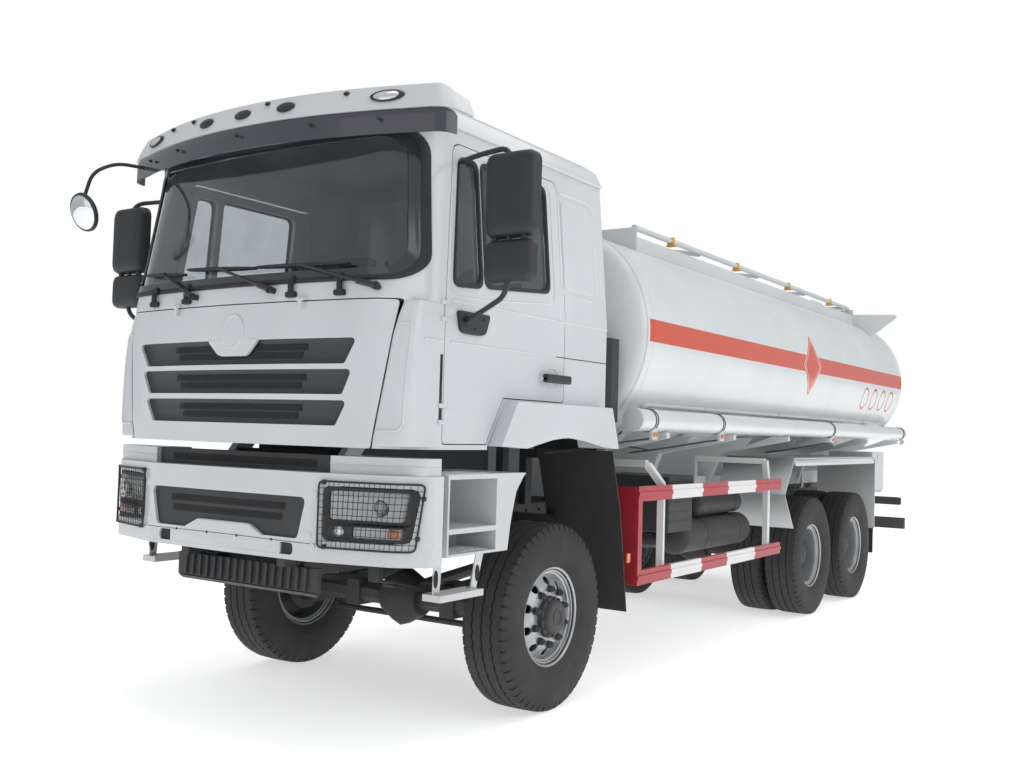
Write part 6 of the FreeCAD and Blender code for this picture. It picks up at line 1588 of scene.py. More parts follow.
@dataclass
class HoseTubes(Assembly):
    """Hose tubes on both sides with straps and marker lamps."""

    title: str = "hose tubes"
    y: float = 1165.0
    z: float = 1785.0
    radius: float = 82.0
    front: float = -960.0
    rear: float = -8200.0
    strap_places: tuple[float, ...] = (-1180.0, -2380.0, -5270.0, -8080.0)

    def build(self) -> None:
        """Draws tubes, caps, straps and lamps."""
        shape = Shape()
        button = [(0, 17), (7, 16), (10, 11), (11, 0.01)]
        for _, side in SIDES:
            centre = (0.0, side * self.y, self.z)
            r = self.radius
            end = [(0, 1.0), (0, r - 8), (4, r), (40, r), (44, r - 3)]
            body = [(self.rear + x, radius) for x, radius in end]
            body += [(self.front - x, radius) for x, radius in reversed(end)]
            shape.turned(body, centre, 1.0, 48, 0, axis=FORWARDS)
            for x in self.strap_places:
                for middle in (x - 16.0, x + 16.0):
                    strap = [(middle - 5, r - 4), (middle - 5, r + 1), (middle + 5, r + 1),
                             (middle + 5, r - 4)]
                    shape.turned(strap, centre, 1.0, 40, 1, whole=True, axis=FORWARDS)
                inner, outer = side * (self.y + 40), side * (self.y + 60)
                shape.block((x - 20, inner, self.z - 135), (x + 20, outer, self.z - 50))
                rounded_box(shape, (x - 40, min(inner, outer) - 2, self.z - 135),
                            (x + 40, max(inner, outer) + 3, self.z - 68), 8, 1, 2)
                for shift in (16, -18):
                    shape.turned(button, (x + shift, outer + side * 2, self.z - 100), side, 16, 3)
            cables = [[(x, side * 1203, self.z - 126), (x + 210, side * 1130, self.z - 150),
                       (x + 620, side * 930, self.z - 215), (x + 760, side * 800, self.z - 240)]
                      for x in self.strap_places[:3]]
            cables.append([(-1330, side * 880, 1700), (-1500, side * 700, 1610), (-2300, side * 620, 1560)])
            for cable in cables:
                shape.tube(rounded(cable, 90), 7, 8, 1)
        self.show(shape, "hose_tube_set", "chassis", [TANK_WHITE, SEAL_RUBBER, TRIM_WHITE, AMBER],
                  Slot.TANK_WHITE, ["hose_tubes"], sharp=38.0)


@dataclass
class Visor(Assembly):
    """Sun visor with its smoked lip, lamps and screws, and the round mirror on its arm."""

    title: str = "visor"
    radius: float = 3190.0
    half_width: float = 1280.0
    low: float = 3196.0
    split: float = 3330.0
    high: float = 3465.0
    face_x: float = 1601.0
    lean: float = 72.0
    lean_from: float = 3300.0
    lean_rise: float = 165.0
    lean_power: float = 1.25
    bend_y: int = 960
    bend_x: float = 1353.0
    end_x: float = 1120.0

    def bow(self, y: float) -> float:
        """Gives how far the visor's front lies before its centre; Args: y; Returns: the distance."""
        return math.sqrt(self.radius ** 2 - y * y)

    def leaned(self, z: float) -> float:
        """Gives how far the visor leans back; Args: z; Returns: the distance."""
        return self.lean * max(0.0, (z - self.lean_from) / self.lean_rise) ** self.lean_power

    def plan(self) -> list[Vector]:
        """Gives the visor's plan with its returned ends; Returns: points of X and Y."""
        middle = [Vector((self.face_x - self.radius + self.bow(y), float(y)))
                  for y in range(-self.bend_y, self.bend_y + 1, 80)]
        end = rounded([middle[-1], (self.bend_x, self.half_width - 2.0), (self.end_x, self.half_width)],
                      300.0, False, 12)
        start = [Vector((p.x, -p.y)) for p in reversed(end)]
        return [*start[:-1], *middle, *end[1:]]

    def face(self, y: float, z: float, depth: float) -> Point:
        """Gives a point behind the visor's curved front; Args: y, z, depth; Returns: the point."""
        return (self.face_x - self.leaned(z) - depth - self.radius + self.bow(y), y, z)

    def band(self, shape: Shape, low: float, high: Pair, reach: Pair, skip: int, finish: int) -> None:
        """Draws one band of the visor as a closed shell.

        Args:
            shape: the drawing.
            low: its lower edge.
            high: its upper edge in the middle and at the ends.
            reach: depths of its outer and inner face.
            skip: points of the plan left off at each end.
            finish: finish number.
        """
        plan = self.plan()
        count = len(plan)
        rings = []
        for i in range(skip, count - skip):
            along = plan[min(i + 1, count - 1)] - plan[max(i - 1, 0)]
            inward = Vector((-along.y, along.x)).normalized()
            into = min(1.0, min(i - skip, count - 1 - skip - i) / 11.0)
            top = between(high[1], high[0], math.sqrt(into * (2.0 - into)))
            ring = []
            for face, order in ((reach[0], range(7)), (reach[1], range(6, -1, -1))):
                for k in order:
                    z = between(low, top, k / 6)
                    back = face + self.leaned(z)
                    ring.append((plan[i].x + inward.x * back, plan[i].y + inward.y * back, z))
            rings.append(ring)
        shape.loft(rings, finish)

    def oval(self, shape: Shape, y: float, z: float, wide: float, tall: float,
             finishes: tuple[int, int]) -> None:
        """Draws a lamp set in the visor.

        Args:
            shape: the drawing.
            y: place across.
            z: height.
            wide: half width.
            tall: half height.
            finishes: finish numbers of housing and lens.
        """
        for finish, rings in ((finishes[0], ((1.0, -4.0), (1.0, 8.0), (0.9, 14.0), (0.8, 13.0))),
                              (finishes[1], ((0.8, 11.0), (0.6, 18.0), (0.3, 21.0), (0.08, 21.5)))):
            shape.loft([[self.face(y + wide * scale * c, z + tall * scale * s, -lift) for c, s in compass(24)]
                        for scale, lift in rings], finish)

    def build(self) -> None:
        """Draws the visor."""
        shape = Shape()
        self.band(shape, self.split - 6.0, (self.high, self.split + 84.0), (0.0, 24.0), 0, 0)
        self.band(shape, self.low, (self.split + 2.0, self.split - 40.0), (14.0, 22.0), 2, 1)
        for y in (-900.0, -300.0, 300.0, 900.0):
            shape.block((1262.0, y - 12, 3335), (self.face(y, 3340, 24)[0], y + 12, 3390))
        lamps = [(y, 3397.0, 60.0, 30.0, 2) for y in (-320.0, 0.0, 320.0)]
        lamps += [(y, 3402.0, 92.0, 36.0, 3) for y in (-930.0, 930.0)]
        screws = [(y, z, 13.0, 13.0, 2) for y, z in ((-720, 3436), (-480, 3438), (170, 3440), (690, 3436))]
        screws += [(y, 3270.0, 9.0, 9.0, 2) for y in (-920.0, -560.0, 0.0, 520.0, 920.0)]
        for y, z, wide, tall, lens in lamps + screws:
            self.oval(shape, y, z, wide, tall, (2, lens))
        arm_x = self.face(-1080.0, 3262.0, 10.0)[0]
        arm = [(arm_x, -1080, 3262), (1560, -1130, 3262), (1700, -1165, 3180), (1762, -1169, 2960)]
        shape.tube(rounded(arm, 70), 11, 12, 2)
        rim = [(-2, 112), (4, 118), (14, 118), (24, 114), (26, 106), (12, 100)]
        dish = [(20, 108), (30, 100), (44, 82), (54, 56), (60, 26), (61, 0.01)]
        back = [(-3, 0.01), (-3, 108), (0, 112)]
        for profile, finish in ((rim, 2), (dish, 3), (back, 3)):
            shape.turned(profile, (1730.0, -1168.0, 2930.0), 1.0, 40, finish, axis=(65.0, 0.0, -25.0))
        self.show(shape, "visor_set", "cab", [CAB_WHITE, SMOKED, BLACK_PLASTIC, MIRROR_FACE], Slot.CAB_WHITE,
                  ["visor"], sharp=38.0)


@dataclass
class Mirrors(Assembly):
    """Two-part door mirrors on their bent arms."""

    title: str = "mirrors"
    door_y: float = 1150.0
    mount_thick: float = 22.0

    def head(self, shape: Shape, low: Pair, high: Pair, front: float, rear: float, radius: float,
             side: float) -> None:
        """Draws one housing with its glass.

        Args:
            shape: the drawing.
            low: lowest Y and Z.
            high: highest Y and Z.
            front: X of its front.
            rear: X of its rear.
            radius: radius of its corners.
            side: the side of the truck.
        """
        corner_points = [(low[0], low[1]), (high[0], low[1]), (high[0], high[1]), (low[0], high[1])]
        outline = rounded(corner_points, radius, True, 5)

        def place(y: float, z: float, x: float) -> Point:
            """Turns the housing's own sizes into a point."""
            return (x, side * y, z)

        depth = front - rear
        steps = [(-16, rear + 8), (-13, rear + 1), (-5, rear), (0, rear + 8), (0, rear + depth * 0.5),
                 (-8, rear + depth * 0.78), (-24, rear + depth * 0.93), (-52, front - 1), (-80, front)]
        pad(shape, outline, place, steps)
        pad(shape, outline, place, [(-15, rear + 7.5), (-17, rear + 5.5), (-24, rear + 5.0)], 1)

    def build(self) -> None:
        """Draws both sets."""
        for label, side in SIDES:
            shape = Shape()
            self.head(shape, (1385.0, 2660.0), (1690.0, 3100.0), 1190.0, 1095.0, 62.0, side)
            self.head(shape, (1385.0, 2430.0), (1680.0, 2650.0), 1185.0, 1100.0, 52.0, side)
            arm = [(1000, 1160, 2262), (1050, 1300, 2300), (1145, 1530, 2370), (1145, 1530, 3125),
                   (1060, 1260, 3135), (985, 1086, 3135)]
            shape.tube(rounded([(x, side * y, z) for x, y, z in arm], 95, steps=7), 14, 14)
            shape.tube([(995, side * 1158, 2235), (995, side * 1158, 2300)], 26, 14)
            mount = rounded([(772, 2315), (1066, 2315), (1040, 2210), (1000, 2195), (850, 2195), (808, 2210)],
                            22, True)
            face = self.door_y + self.mount_thick
            pad(shape, mount, lambda x, z, y: (x, side * y, z),
                [(0, self.door_y + 0.5), (0, face - 4), (-5, face)])
            for x, z in ((840, 2285), (1000, 2285), (920, 2225)):
                shape.take(hex_unit(16.0, 0.0, 6.0, 0.0), lambda p: (x + p.x, side * (face + p.y), z + p.z))
            for y in (1440.0, 1620.0):
                shape.tube([(1140, side * y, 2640), (1140, side * y, 2672)], 18, 12)
            self.show(shape, "mirror_set_" + label, "door_" + label, [BLACK_PLASTIC, MIRROR_FACE],
                      Slot.BLACK_PLASTIC, ["mirrors_" + label], sharp=40.0)


@dataclass
class CabTrim(Assembly):
    """Window rubbers, wipers, cowl brackets, vents and the pressed panels of the cab."""

    title: str = "cab trim"
    screen: tuple[Pair, ...] = ((-1105.0, 2480.0), (1105.0, 2480.0), (1000.0, 3235.0), (-1000.0, 3235.0))
    rubber: tuple[Pair, ...] = ((-1126.0, 2446.0), (1126.0, 2446.0), (1034.0, 3262.0), (-1034.0, 3262.0))
    wiper_pivots: tuple[Pair, ...] = ((964.0, 2394.0), (284.0, 2399.0), (-340.0, 2391.0))
    blades: tuple[tuple[Pair, Pair], ...] = (((785.0, 2523.0), (150.0, 2534.0)),
                                             ((141.0, 2530.0), (-443.0, 2558.0)),
                                             ((-461.0, 2532.0), (-883.0, 2557.0)))
    blade_steps: int = 12
    door_lines: Pair = (2362.0, 2142.0)
    handle: Pair = (90.0, 2003.0)

    def screen_frame(self) -> None:
        """Draws the rubber round the windscreen and the dark band printed on it."""
        shape = Shape()
        inside = dense(rounded(self.screen, 130, True, 9), 60.0)
        outside = dense(rounded(self.rubber, 150, True, 9), 60.0)
        frame_round(shape, outside, CAB.on_front, [(12, -4), (14, 5), (8, 11), (-2, 12), (-12, 8), (-14, -4)])
        frame_round(shape, outside, CAB.on_front, [(-8, 5), (-52, 5), (-54, -6), (-8, -6)], 1)
        frame_round(shape, inside, CAB.on_front, [(6, 4), (-4, 3), (-9, -13.5), (0, -13.5)], 1)
        for y in (-743.0, -420.0, 420.0, 743.0):
            arm = [CAB.on_front(y, 2470.0, 4.0), CAB.on_front(y, 2425.0, 22.0), CAB.on_front(y, 2372.0, 14.0)]
            shape.tube(rounded(arm, 20), 15, 8)
            low = CAB.on_front(y, 2366.0, -2.0)
            rounded_box(shape, (low[0] - 4, y - 34, 2356), (low[0] + 24, y + 34, 2388), 12, 0)
            span = CAB.on_front(math.copysign(581.0, y), 2448.0, 10.0)
            shape.block((span[0] - 14, y - 30, 2434), (span[0] + 6, y + 30, 2462))
        self.show(shape, "screen_rubber", "cab", [SEAL_RUBBER, SCREEN_BAND], Slot.RUBBER, sharp=50.0)

    def wipers(self) -> None:
        """Draws the wipers resting on the lower edge of the screen."""
        shape = Shape()
        for (y, z), (start, end) in zip(self.wiper_pivots, self.blades):
            middle = (between(start[0], end[0], 0.5), between(start[1], end[1], 0.5))
            base = CAB.on_front(y, z, 0.0)
            shape.tube([CAB.on_front(y, z, -4.0), CAB.on_front(y, z, 34.0)], 17, 16)
            shape.tube([CAB.on_front(y, z, 30.0), CAB.on_front(y, z, 42.0)], 22, 16)
            arm = [CAB.on_front(between(y, middle[0], t), between(z, middle[1], t), between(34, 30, t))
                   for t in (0.0, 0.12, 0.2, 0.45, 0.7, 1.0)]
            shape.tube(arm[:3], 17, 10)
            shape.tube(arm[2:], 9, 8)
            rings = []
            for k in range(self.blade_steps + 1):
                t = k / self.blade_steps
                slim = 1.0 - 0.55 * abs(2 * t - 1) ** 2
                along, up = between(start[0], end[0], t), between(start[1], end[1], t)
                rings.append([CAB.on_front(along, up + a * slim, lift)
                              for a, lift in ((-13, 2), (13, 2), (9, 26), (-9, 26))])
            shape.loft(rings)
            shape.block((base[0] - 30, middle[0] - 20, middle[1] - 12),
                        (base[0] - 6, middle[0] + 20, middle[1] + 12))
        self.show(shape, "wiper_set", "cab", [BLACK_PLASTIC], Slot.BLACK_PLASTIC, ["wipers"], sharp=40.0)

    def doors(self) -> None:
        """Draws window rubbers, pressed frames and the grip of each door."""
        vent = rounded([(835, 2470), (1085, 2450), (1000, 3155), (835, 3155)], 60, True, 6)
        main_pane = rounded([(130, 2530), (790, 2475), (790, 3165), (130, 3165)], 60, True, 6)
        around = rounded([(62, 2462), (805, 2395), (1118, 2385), (1035, 3196), (62, 3196)], 70, True, 6)
        for label, side in SIDES:
            shape = Shape()
            place = CAB.beside(side)
            for outline in (vent, main_pane):
                frame_round(shape, outline, place, [(13, -3), (15, 6), (8, 11), (-6, 9), (-12, -8),
                                                    (-4, -12)], 0)
            frame_round(shape, around, place, [(7, -3), (4, 4), (0, 6), (-4, 4), (-7, -3)], 1)
            cup = circle((90.0, 2004.0), 78.0, 24, 62.0)
            frame_round(shape, cup, place, [(4, -3), (2, 3), (-3, 3), (-8, -3)], 1)
            for z in self.door_lines:
                shape.tube([place(66.0, z, -2.0), place(1108.0, z, -2.0)], 7.0, 8, 1)
            out = abs(self.truck.probe("door_" + label).y_at(*self.handle, side, side * 1180.0)) + 7.0
            y0, y1 = sorted((side * (out - 38.0), side * out))
            rounded_box(shape, (-48, y0, 1976), (228, y1, 2028), 14, 0, 2)
            for x in (-20.0, 200.0):
                shape.tube([(x, side * 1146.0, 2003), (x, side * 1166.0, 2003)], 15, 12, 2)
            self.show(shape, "door_trim_" + label, "door_" + label, [SEAL_RUBBER, CAB_WHITE, BLACK_PLASTIC],
                      Slot.RUBBER, sharp=40.0)

    def panels(self) -> None:
        """Draws the blind quarter panels, the lines along them and the gutters of the cab."""
        shape = Shape()
        quarter = rounded([(-462, 2548), (-42, 2548), (-42, 3166), (-462, 3166)], 75, True, 6)
        upper, lower = self.door_lines
        for _, side in SIDES:
            place = CAB.beside(side)
            frame_round(shape, quarter, place, [(26, -3), (22, 4), (14, 6), (6, 1), (0, -3)], 0)
            pad(shape, grown(quarter, -14), place, [(0, -3), (-6, 7), (-14, 9), (-30, 9.5)], 0)
            for z, radius, lift, finish in ((upper, 7.0, -2.0, 0), (lower, 3.0, -0.5, 1)):
                shape.tube([place(-588.0, z, lift), place(44.0, z, lift)], radius, 8, finish)
            gutter = [Vector((x, side * (CAB.level(3318.0)[0] + 9.0), 3322.0)) for x in (-585.0, 300.0,
                                                                                         1080.0)]
            shape.tube(gutter, 11, 8, 0)
        self.show(shape, "cab_panels", "cab", [CAB_WHITE, SEAL_RUBBER], Slot.CAB_WHITE, sharp=40.0)

    def build(self) -> None:
        """Draws all the cab's trim."""
        self.screen_frame()
        self.wipers()
        self.doors()
        self.panels()


@dataclass
class FrontLid(Assembly):
    """Dark trays with their pressed mesh behind the slots of the front lid, and the lid's blank shield."""

    title: str = "front lid"
    slots: tuple[tuple[float, float, float, float], ...] = ((2004.0, 2137.0, 789.0, 870.0),
                                                            (1846.0, 1976.0, 774.0, 837.0),
                                                            (1684.0, 1815.0, 731.0, 806.0))
    rim_lift: float = -19.0
    tray_depth: float = 12.0
    mesh_lift: float = -24.5
    # Depth and height of the near-black sheet of painted shade behind the mesh.
    shade_sheet_lift: float = -28.8
    shade_sheet_height: float = 35.0

    def tray(self, shape: Shape, low: float, high: float, low_half: float, high_half: float) -> None:
        """Draws one tray with a sloped rim.

        Args:
            shape: the drawing.
            low: lower edge.
            high: upper edge.
            low_half: half width of the lower edge.
            high_half: half width of the upper edge.
        """
        border = [0.95, 0.995, 1.012]
        columns = [*[-u for u in reversed(border)], *[k / 14 for k in range(-13, 14)], *border]
        rows = [-0.10, 0.0, 0.12, 0.35, 0.65, 0.88, 1.0, 1.10]
        points = []
        for v in rows:
            z = between(low, high, v)
            half = between(low_half, high_half, v)
            for u in columns:
                edge = min(1.0, min(abs(v), abs(1.0 - v)) / 0.12) * min(1.0, (1.0 - min(abs(u), 1.0)) / 0.05)
                inside = 1.0 if 0.0 < v < 1.0 and abs(u) < 1.0 else 0.0
                points.append(CAB.on_front(u * half, z, self.rim_lift - self.tray_depth * edge * inside))
        wide = len(columns)
        faces = [(r * wide + c, r * wide + c + 1, (r + 1) * wide + c + 1, (r + 1) * wide + c)
                 for r in range(len(rows) - 1) for c in range(wide - 1)]
        base = len(points)
        back = [Vector(p) - Vector((8.0, 0.0, 0.0)) for p in points]
        faces += [(base + a, base + d, base + c, base + b) for a, b, c, d in faces]
        rim = [*range(wide), *[r * wide + wide - 1 for r in range(1, len(rows))],
               *[(len(rows) - 1) * wide + c for c in range(wide - 2, -1, -1)],
               *[r * wide for r in range(len(rows) - 2, 0, -1)]]
        faces += [(a, b, base + b, base + a) for a, b in zip(rim, [*rim[1:], rim[0]])]
        shape.add([*points, *back], faces)

    def mesh_band(self, shape: Shape, half: float, middle: float) -> None:
        """Lays pressed mesh across a tray on a near-black sheet of painted shade; Args: shape, half width,
        middle height.
        """
        steps = 24
        reach = half + 12
        low, high = middle - 0.5 * self.shade_sheet_height, middle + 0.5 * self.shade_sheet_height
        back = self.shade_sheet_lift - 1.5
        corner_points = ((low, self.shade_sheet_lift), (high, self.shade_sheet_lift), (high, back), (low, back))
        # Near-black sheet behind the mesh: painted shade of the space behind the slot.
        rings = [[CAB.on_front(between(-reach, reach, k / steps), z, lift) for z, lift in corner_points]
                 for k in range(steps + 1)]
        shape.loft(rings, 1)
        grid = PressedMesh().band(half, middle, GREY_PLASTIC)
        shape.take(grid, lambda p: CAB.on_front(p.y, p.z, self.mesh_lift + p.x), 0)

    def build(self) -> None:
        """Draws trays, mesh, shield and the lid's pressed edge."""
        shape = Shape()
        for low, high, low_half, high_half in self.slots:
            self.tray(shape, low, high, low_half, high_half)
            middle = 0.5 * (low + high)
            for offset, share in ((22.0, 0.66), (-20.0, 0.62)):
                self.mesh_band(shape, low_half * share, middle + offset)
        self.show(shape, "grille_trays", "front_lid", [GREY_PLASTIC, SHADE_BLACK], Slot.GREY_PLASTIC,
                  ["grille_inserts"], sharp=40.0)
        shield = Shape()
        outline = rounded([(-208, 2143), (-112, 2050), (112, 2050), (208, 2143)], 30, True, 5)
        pad(shield, outline, CAB.on_front, [(2, -16), (0, -2.5), (-3, 0.4), (-8, 0.6)])
        disc = circle((0.0, 2186.0), 86.0, 40, 96.0)
        pad(shield, disc, CAB.on_front, [(2, -3), (0, 4), (-5, 6), (-12, 3.2), (-20, 2.6)])
        self.show(shield, "lid_shield", "front_lid", [CAB_WHITE], Slot.CAB_WHITE, sharp=40.0)


def dense(outline: Sequence[Vector], step: float) -> list[Vector]:
    """Adds points along a closed outline; Args: outline, step between points; Returns: the points."""
    made: list[Vector] = []
    for a, b in zip(outline, [*outline[1:], outline[0]]):
        pieces = max(1, int((b - a).length / step))
        made.extend(a.lerp(b, k / pieces) for k in range(pieces))
    return made


@dataclass
class Bumper(Assembly):
    """Headlights with their cages, and the bumper's mesh, step, plugs and skid plate."""

    title: str = "bumper"
    lamp_window: tuple[Pair, ...] = ((742.0, 1208.0), (1136.0, 1208.0), (1158.0, 1354.0), (742.0, 1354.0))
    low_window: tuple[Pair, ...] = ((872.0, 1120.0), (1126.0, 1120.0), (1132.0, 1174.0), (872.0, 1174.0))
    bezel: tuple[Pair, ...] = ((710.0, 1103.0), (1160.0, 1103.0), (1199.0, 1373.0), (710.0, 1373.0))
    cage: tuple[Pair, ...] = ((698.0, 1064.0), (1190.0, 1064.0), (1224.0, 1400.0), (698.0, 1400.0))
    fog: Pair = (793.0, 1148.0)
    prism_z: float = 1397.0
    plan_step: float = 5.0
    plan_end: int = 1246
    wire: float = 1.7
    wire_lift: float = 15.0
    brow_z: float = 1484.0
    ground_lift: float = 3.5

    def prepare(self) -> None:
        """Reads the bumper's plan from the checked node."""
        probe = self.truck.probe("bumper")
        self.plan = [probe.x_at(y, self.prism_z, 1260.0) for y in range(0, self.plan_end,
                                                                        int(self.plan_step))]

    def face_x(self, y: float) -> float:
        """Gives X of the bumper's outer face; Args: y; Returns: X."""
        place = min(abs(y) / self.plan_step, len(self.plan) - 1.001)
        low = int(place)
        return between(self.plan[low], self.plan[low + 1], place - low)

    def at(self, side: float) -> Place:
        """Gives the placing for one lamp, its depth measured inwards; Args: side; Returns: the placing."""
        return lambda y, z, depth: (self.face_x(y) - depth, side * y, z)

    def room(self, shape: Shape, window: Sequence[Pair], radius: float, side: float, deep: float) -> None:
        """Draws the chamber behind one window and its glass; Args: shape, window, radius, side, deep."""
        outline = dense(rounded(window, radius, True, 4), 30.0)
        place = self.at(side)
        pad(shape, outline, place, ((0.0, 20.0), (-3.0, deep * 0.6), (-12.0, deep)), 4)
        pad(shape, outline, place, ((-0.5, 21.0), (-0.5, 14.0), (-3.0, 11.0), (-14.0, 8.5), (-40.0, 7.5)), 3)

    def lamp(self, shape: Shape, side: float) -> None:
        """Draws one headlight; Args: shape, side."""
        place = self.at(side)
        windows = ((self.lamp_window, 20, 86.0), (self.low_window, 12, 60.0))
        holes = [dense(rounded(window, radius, True, 4), 26.0) for window, radius, _ in windows]
        holes.append(circle(self.fog, 27.0, 20))
        outline = dense(rounded(self.bezel, 34, True, 5), 26.0)
        shape.sheet(outline, place, 12.0, 24.0, holes, 0)
        frame_round(shape, outline, place, [(0, 9), (-3, 6), (-12, 7), (-16, 12), (-10, 20), (0, 20)], 0)
        for hole in holes[:2]:
            frame_round(shape, hole, place, [(9, 13), (7, 8), (1, 8), (-1, 20), (6, 20)], 0)
        for window, radius, deep in windows:
            self.room(shape, window, radius, side, deep)
        bowl = place(838.0, 1281.0, 24.0)
        projector = place(1010.0, 1281.0, 24.0)
        lower = place(920.0, 1147.0, 20.0)
        fog = place(*self.fog, 14.0)
        round_parts = (
            ([(-52, 0.01), (-50, 20), (-42, 40), (-28, 56), (-10, 64), (-6, 66)], bowl, 36, 1, False),
            ([(-50, 0.01), (-50, 9), (-18, 9), (-14, 6), (-13, 0.01)], bowl, 16, 1, False),
            ([(-50, 0.01), (-46, 30), (-30, 58), (-14, 62), (-12, 58), (-24, 52)], projector, 36, 1, False),
            ([(-30, 50), (-10, 49), (-6, 46), (-10, 42), (-34, 42)], projector, 36, 0, True),
            ([(-34, 42), (-10, 41), (0, 35), (8, 22), (11, 0.01)], projector, 30, 3, False),
            ([(-30, 0.01), (-28, 12), (-18, 24), (-8, 26)], lower, 24, 1, False),
            ([(-34, 0.01), (-30, 14), (-14, 24), (-2, 26), (2, 28), (-2, 32)], fog, 28, 1, False),
            ([(-6, 25), (-2, 22), (2, 12), (3, 0.01)], fog, 24, 3, False))
        for profile, centre, steps, finish, whole in round_parts:
            shape.turned(profile, centre, 1.0, steps, finish, whole, (1.0, side * 0.22, 0.0))
        for number in range(5):
            y = 1085.0 + 13.0 * number
            shape.tube([place(y, 1216.0, 40.0), place(y + 6.0, 1346.0, 40.0)], 4, 6, 1)
        amber = dense(rounded([(1052, 1126), (1108, 1126), (1112, 1168), (1052, 1168)], 8, True, 3), 20.0)
        pad(shape, amber, place, [(0, 44), (-1, 24), (-8, 19)], 2)

    def wires(self, shape: Shape, side: float) -> None:
        """Draws the wire cage over one headlight; Args: shape, side."""
        place = self.at(side)
        outline = dense(rounded(self.cage, 26, True, 4), 30.0)
        lift = -self.wire_lift
        shape.tube([place(p.x, p.y, lift) for p in outline], 5.5, 8, looped=True)
        (near, bottom), (low_far, _), (high_far, top), _ = self.cage
        for number in range(1, 19):
            share = number / 19.0
            ends = (between(near, low_far, share), bottom), (between(near, high_far, share), top)
            shape.tube([place(y, z, lift) for y, z in ends], self.wire, 5)
        for number in range(1, 10):
            share = number / 10.0
            z = between(bottom, top, share)
            far = between(low_far, high_far, share)
            shape.tube([place(between(near, far, k / 16.0), z, lift) for k in range(17)], self.wire, 5)
        for y, z in ((722, 1396), (1216, 1330), (1196, 1130), (730, 1068)):
            middle = place(y, z, -10.0)
            low, high = [[m + way * h for m, h in zip(middle, (8, 10, 12))] for way in (-1, 1)]
            rounded_box(shape, low, high, 5)

    def fronts(self) -> None:
        """Draws the lamps and cages of both sides."""
        shape = Shape()
        cages = Shape()
        for _, side in SIDES:
            self.lamp(shape, side)
            self.wires(cages, side)
        self.show(shape, "headlight_set", "chassis", [BLACK_PLASTIC, CHROME, AMBER, LAMP_GLASS, LAMP_WALL],
                  Slot.LAMP, ["headlights"], sharp=36.0)
        self.show(cages, "headlight_cages", "chassis", [SEAL_RUBBER], Slot.BLACK_PLASTIC, sharp=50.0)

    def mesh_band(self, shape: Shape, panel: Probe, half: float, middle: float, other: float) -> None:
        """Lays a band of mesh on a near-black sheet of painted shade; Args: shape, panel, half, middle, X if
        none is met.
        """
        steps = 20
        grid = PressedMesh().band(half, middle, BLACK_PLASTIC)
        shape.take(grid, lambda p: (panel.x_at(p.y, middle, other) + self.ground_lift + p.x, p.y, p.z), 0)
        # Near-black sheet behind the mesh: painted shade of the space behind the grille.
        rings = []
        for k in range(steps + 1):
            y = between(-half - 18, half + 18, k / steps)
            x = panel.x_at(y, middle, other)
            rings.append([(x + out, y, middle + up) for out,
                          up in ((-2, -19), (0.6, -19), (0.6, 19), (-2, 19))])
        shape.loft(rings, 1)

    def grilles(self) -> None:
        """Draws the mesh of the bumper's grilles and the slats of the skid plate."""
        shape = Shape()
        panel = self.truck.probe("bumper_grille")
        for middle, half, other in ((1256.0, 440.0, 1560.0), (1200.0, 420.0, 1560.0),
                                    (self.brow_z, 560.0, 1480.0)):
            self.mesh_band(shape, panel, half, middle, other)
        slat = Shape()
        slat.loft([[(0, -9, -60), (16, -6, -60), (16, 6, -60), (0, 9, -60)],
                   [(0, -3, 60), (16, 0, 60), (16, 12, 60), (0, 15, 60)]])
        row = rows_of(slat, 17, 1, (0.0, -480.0, 0.0), (0.0, 60.0, 0.0), UPWARDS, BLACK_PLASTIC)
        shape.take(row, lambda p: (1424.0 + p.x, p.y, 862.0 + p.z), 0)
        shape.loft([[(1395, y, 800), (1432, y, 792), (1400, y, 770), (1390, y, 776)] for y in (-545.0,
                                                                                               545.0)], 0)
        self.show(shape, "bumper_mesh", "chassis", [BLACK_PLASTIC, SHADE_BLACK], Slot.BLACK_PLASTIC, sharp=40.0)

    def on_face(self, y: float, z: float, lift: float) -> Point:
        """Gives a point lifted off the bumper's face; Args: y, z, lift; Returns: the point."""
        return (self.face_x(y) + lift, y, z)

    def whites(self) -> None:
        """Draws the step, the plugs, the covers of the brow and of the wide slot, and the lower seam."""
        white = Shape()
        step = dense(rounded([(-322, 1088), (-208, 1150), (208, 1150), (322, 1088)], 24, True, 4), 60.0)
        pad(white, step, self.on_face, [(1, -32), (0, -2), (-4, 3), (-12, 4)])
        for y, z in ((660.0, 1330.0), (632.0, 1120.0), (655.0, 1060.0)):
            for _, side in SIDES:
                white.turned([(-4, 22), (1.6, 22), (2.4, 19), (2.4, 0.01)], self.on_face(side * y, z, 0.0),
                             1.0, 24, axis=(1.0, side * 0.12, 0.0))
        for y in (-380.0, -120.0, 120.0, 380.0):
            white.turned([(-2, 7), (2, 7), (2.5, 0.01)], self.on_face(y, 1079.0, 1.0), 1.0, 12, 1,
                         axis=FORWARDS)
        for _, side in SIDES:
            path = rounded([(1503, 698), (1473, 853), (1371, 1227), (1252, 1228)], 60, False, 5)
            inner = rounded([(1499, 698), (1469, 850), (1367, 1223), (1252, 1224)], 60, False, 5)
            section = [*path, *reversed(inner)]
            white.loft([[(p.x, side * p.y, z) for p in section] for z in (1441.5, 1529.0)])
            white.tube([(p.x + 1.5, side * p.y, 1486.0) for p in path], 3.0, 8)
            back = self.face_x(490.0) - 14.0
            y0, y1 = sorted((side * 436.0, side * 533.5))
            white.block((back - 30.0, y0, 1010.5), (back, y1, 1071.5), 1)
        cover = dense(rounded([(-440, 1002), (440, 1002), (440, 1080), (-440, 1080)], 10, True, 3), 60.0)
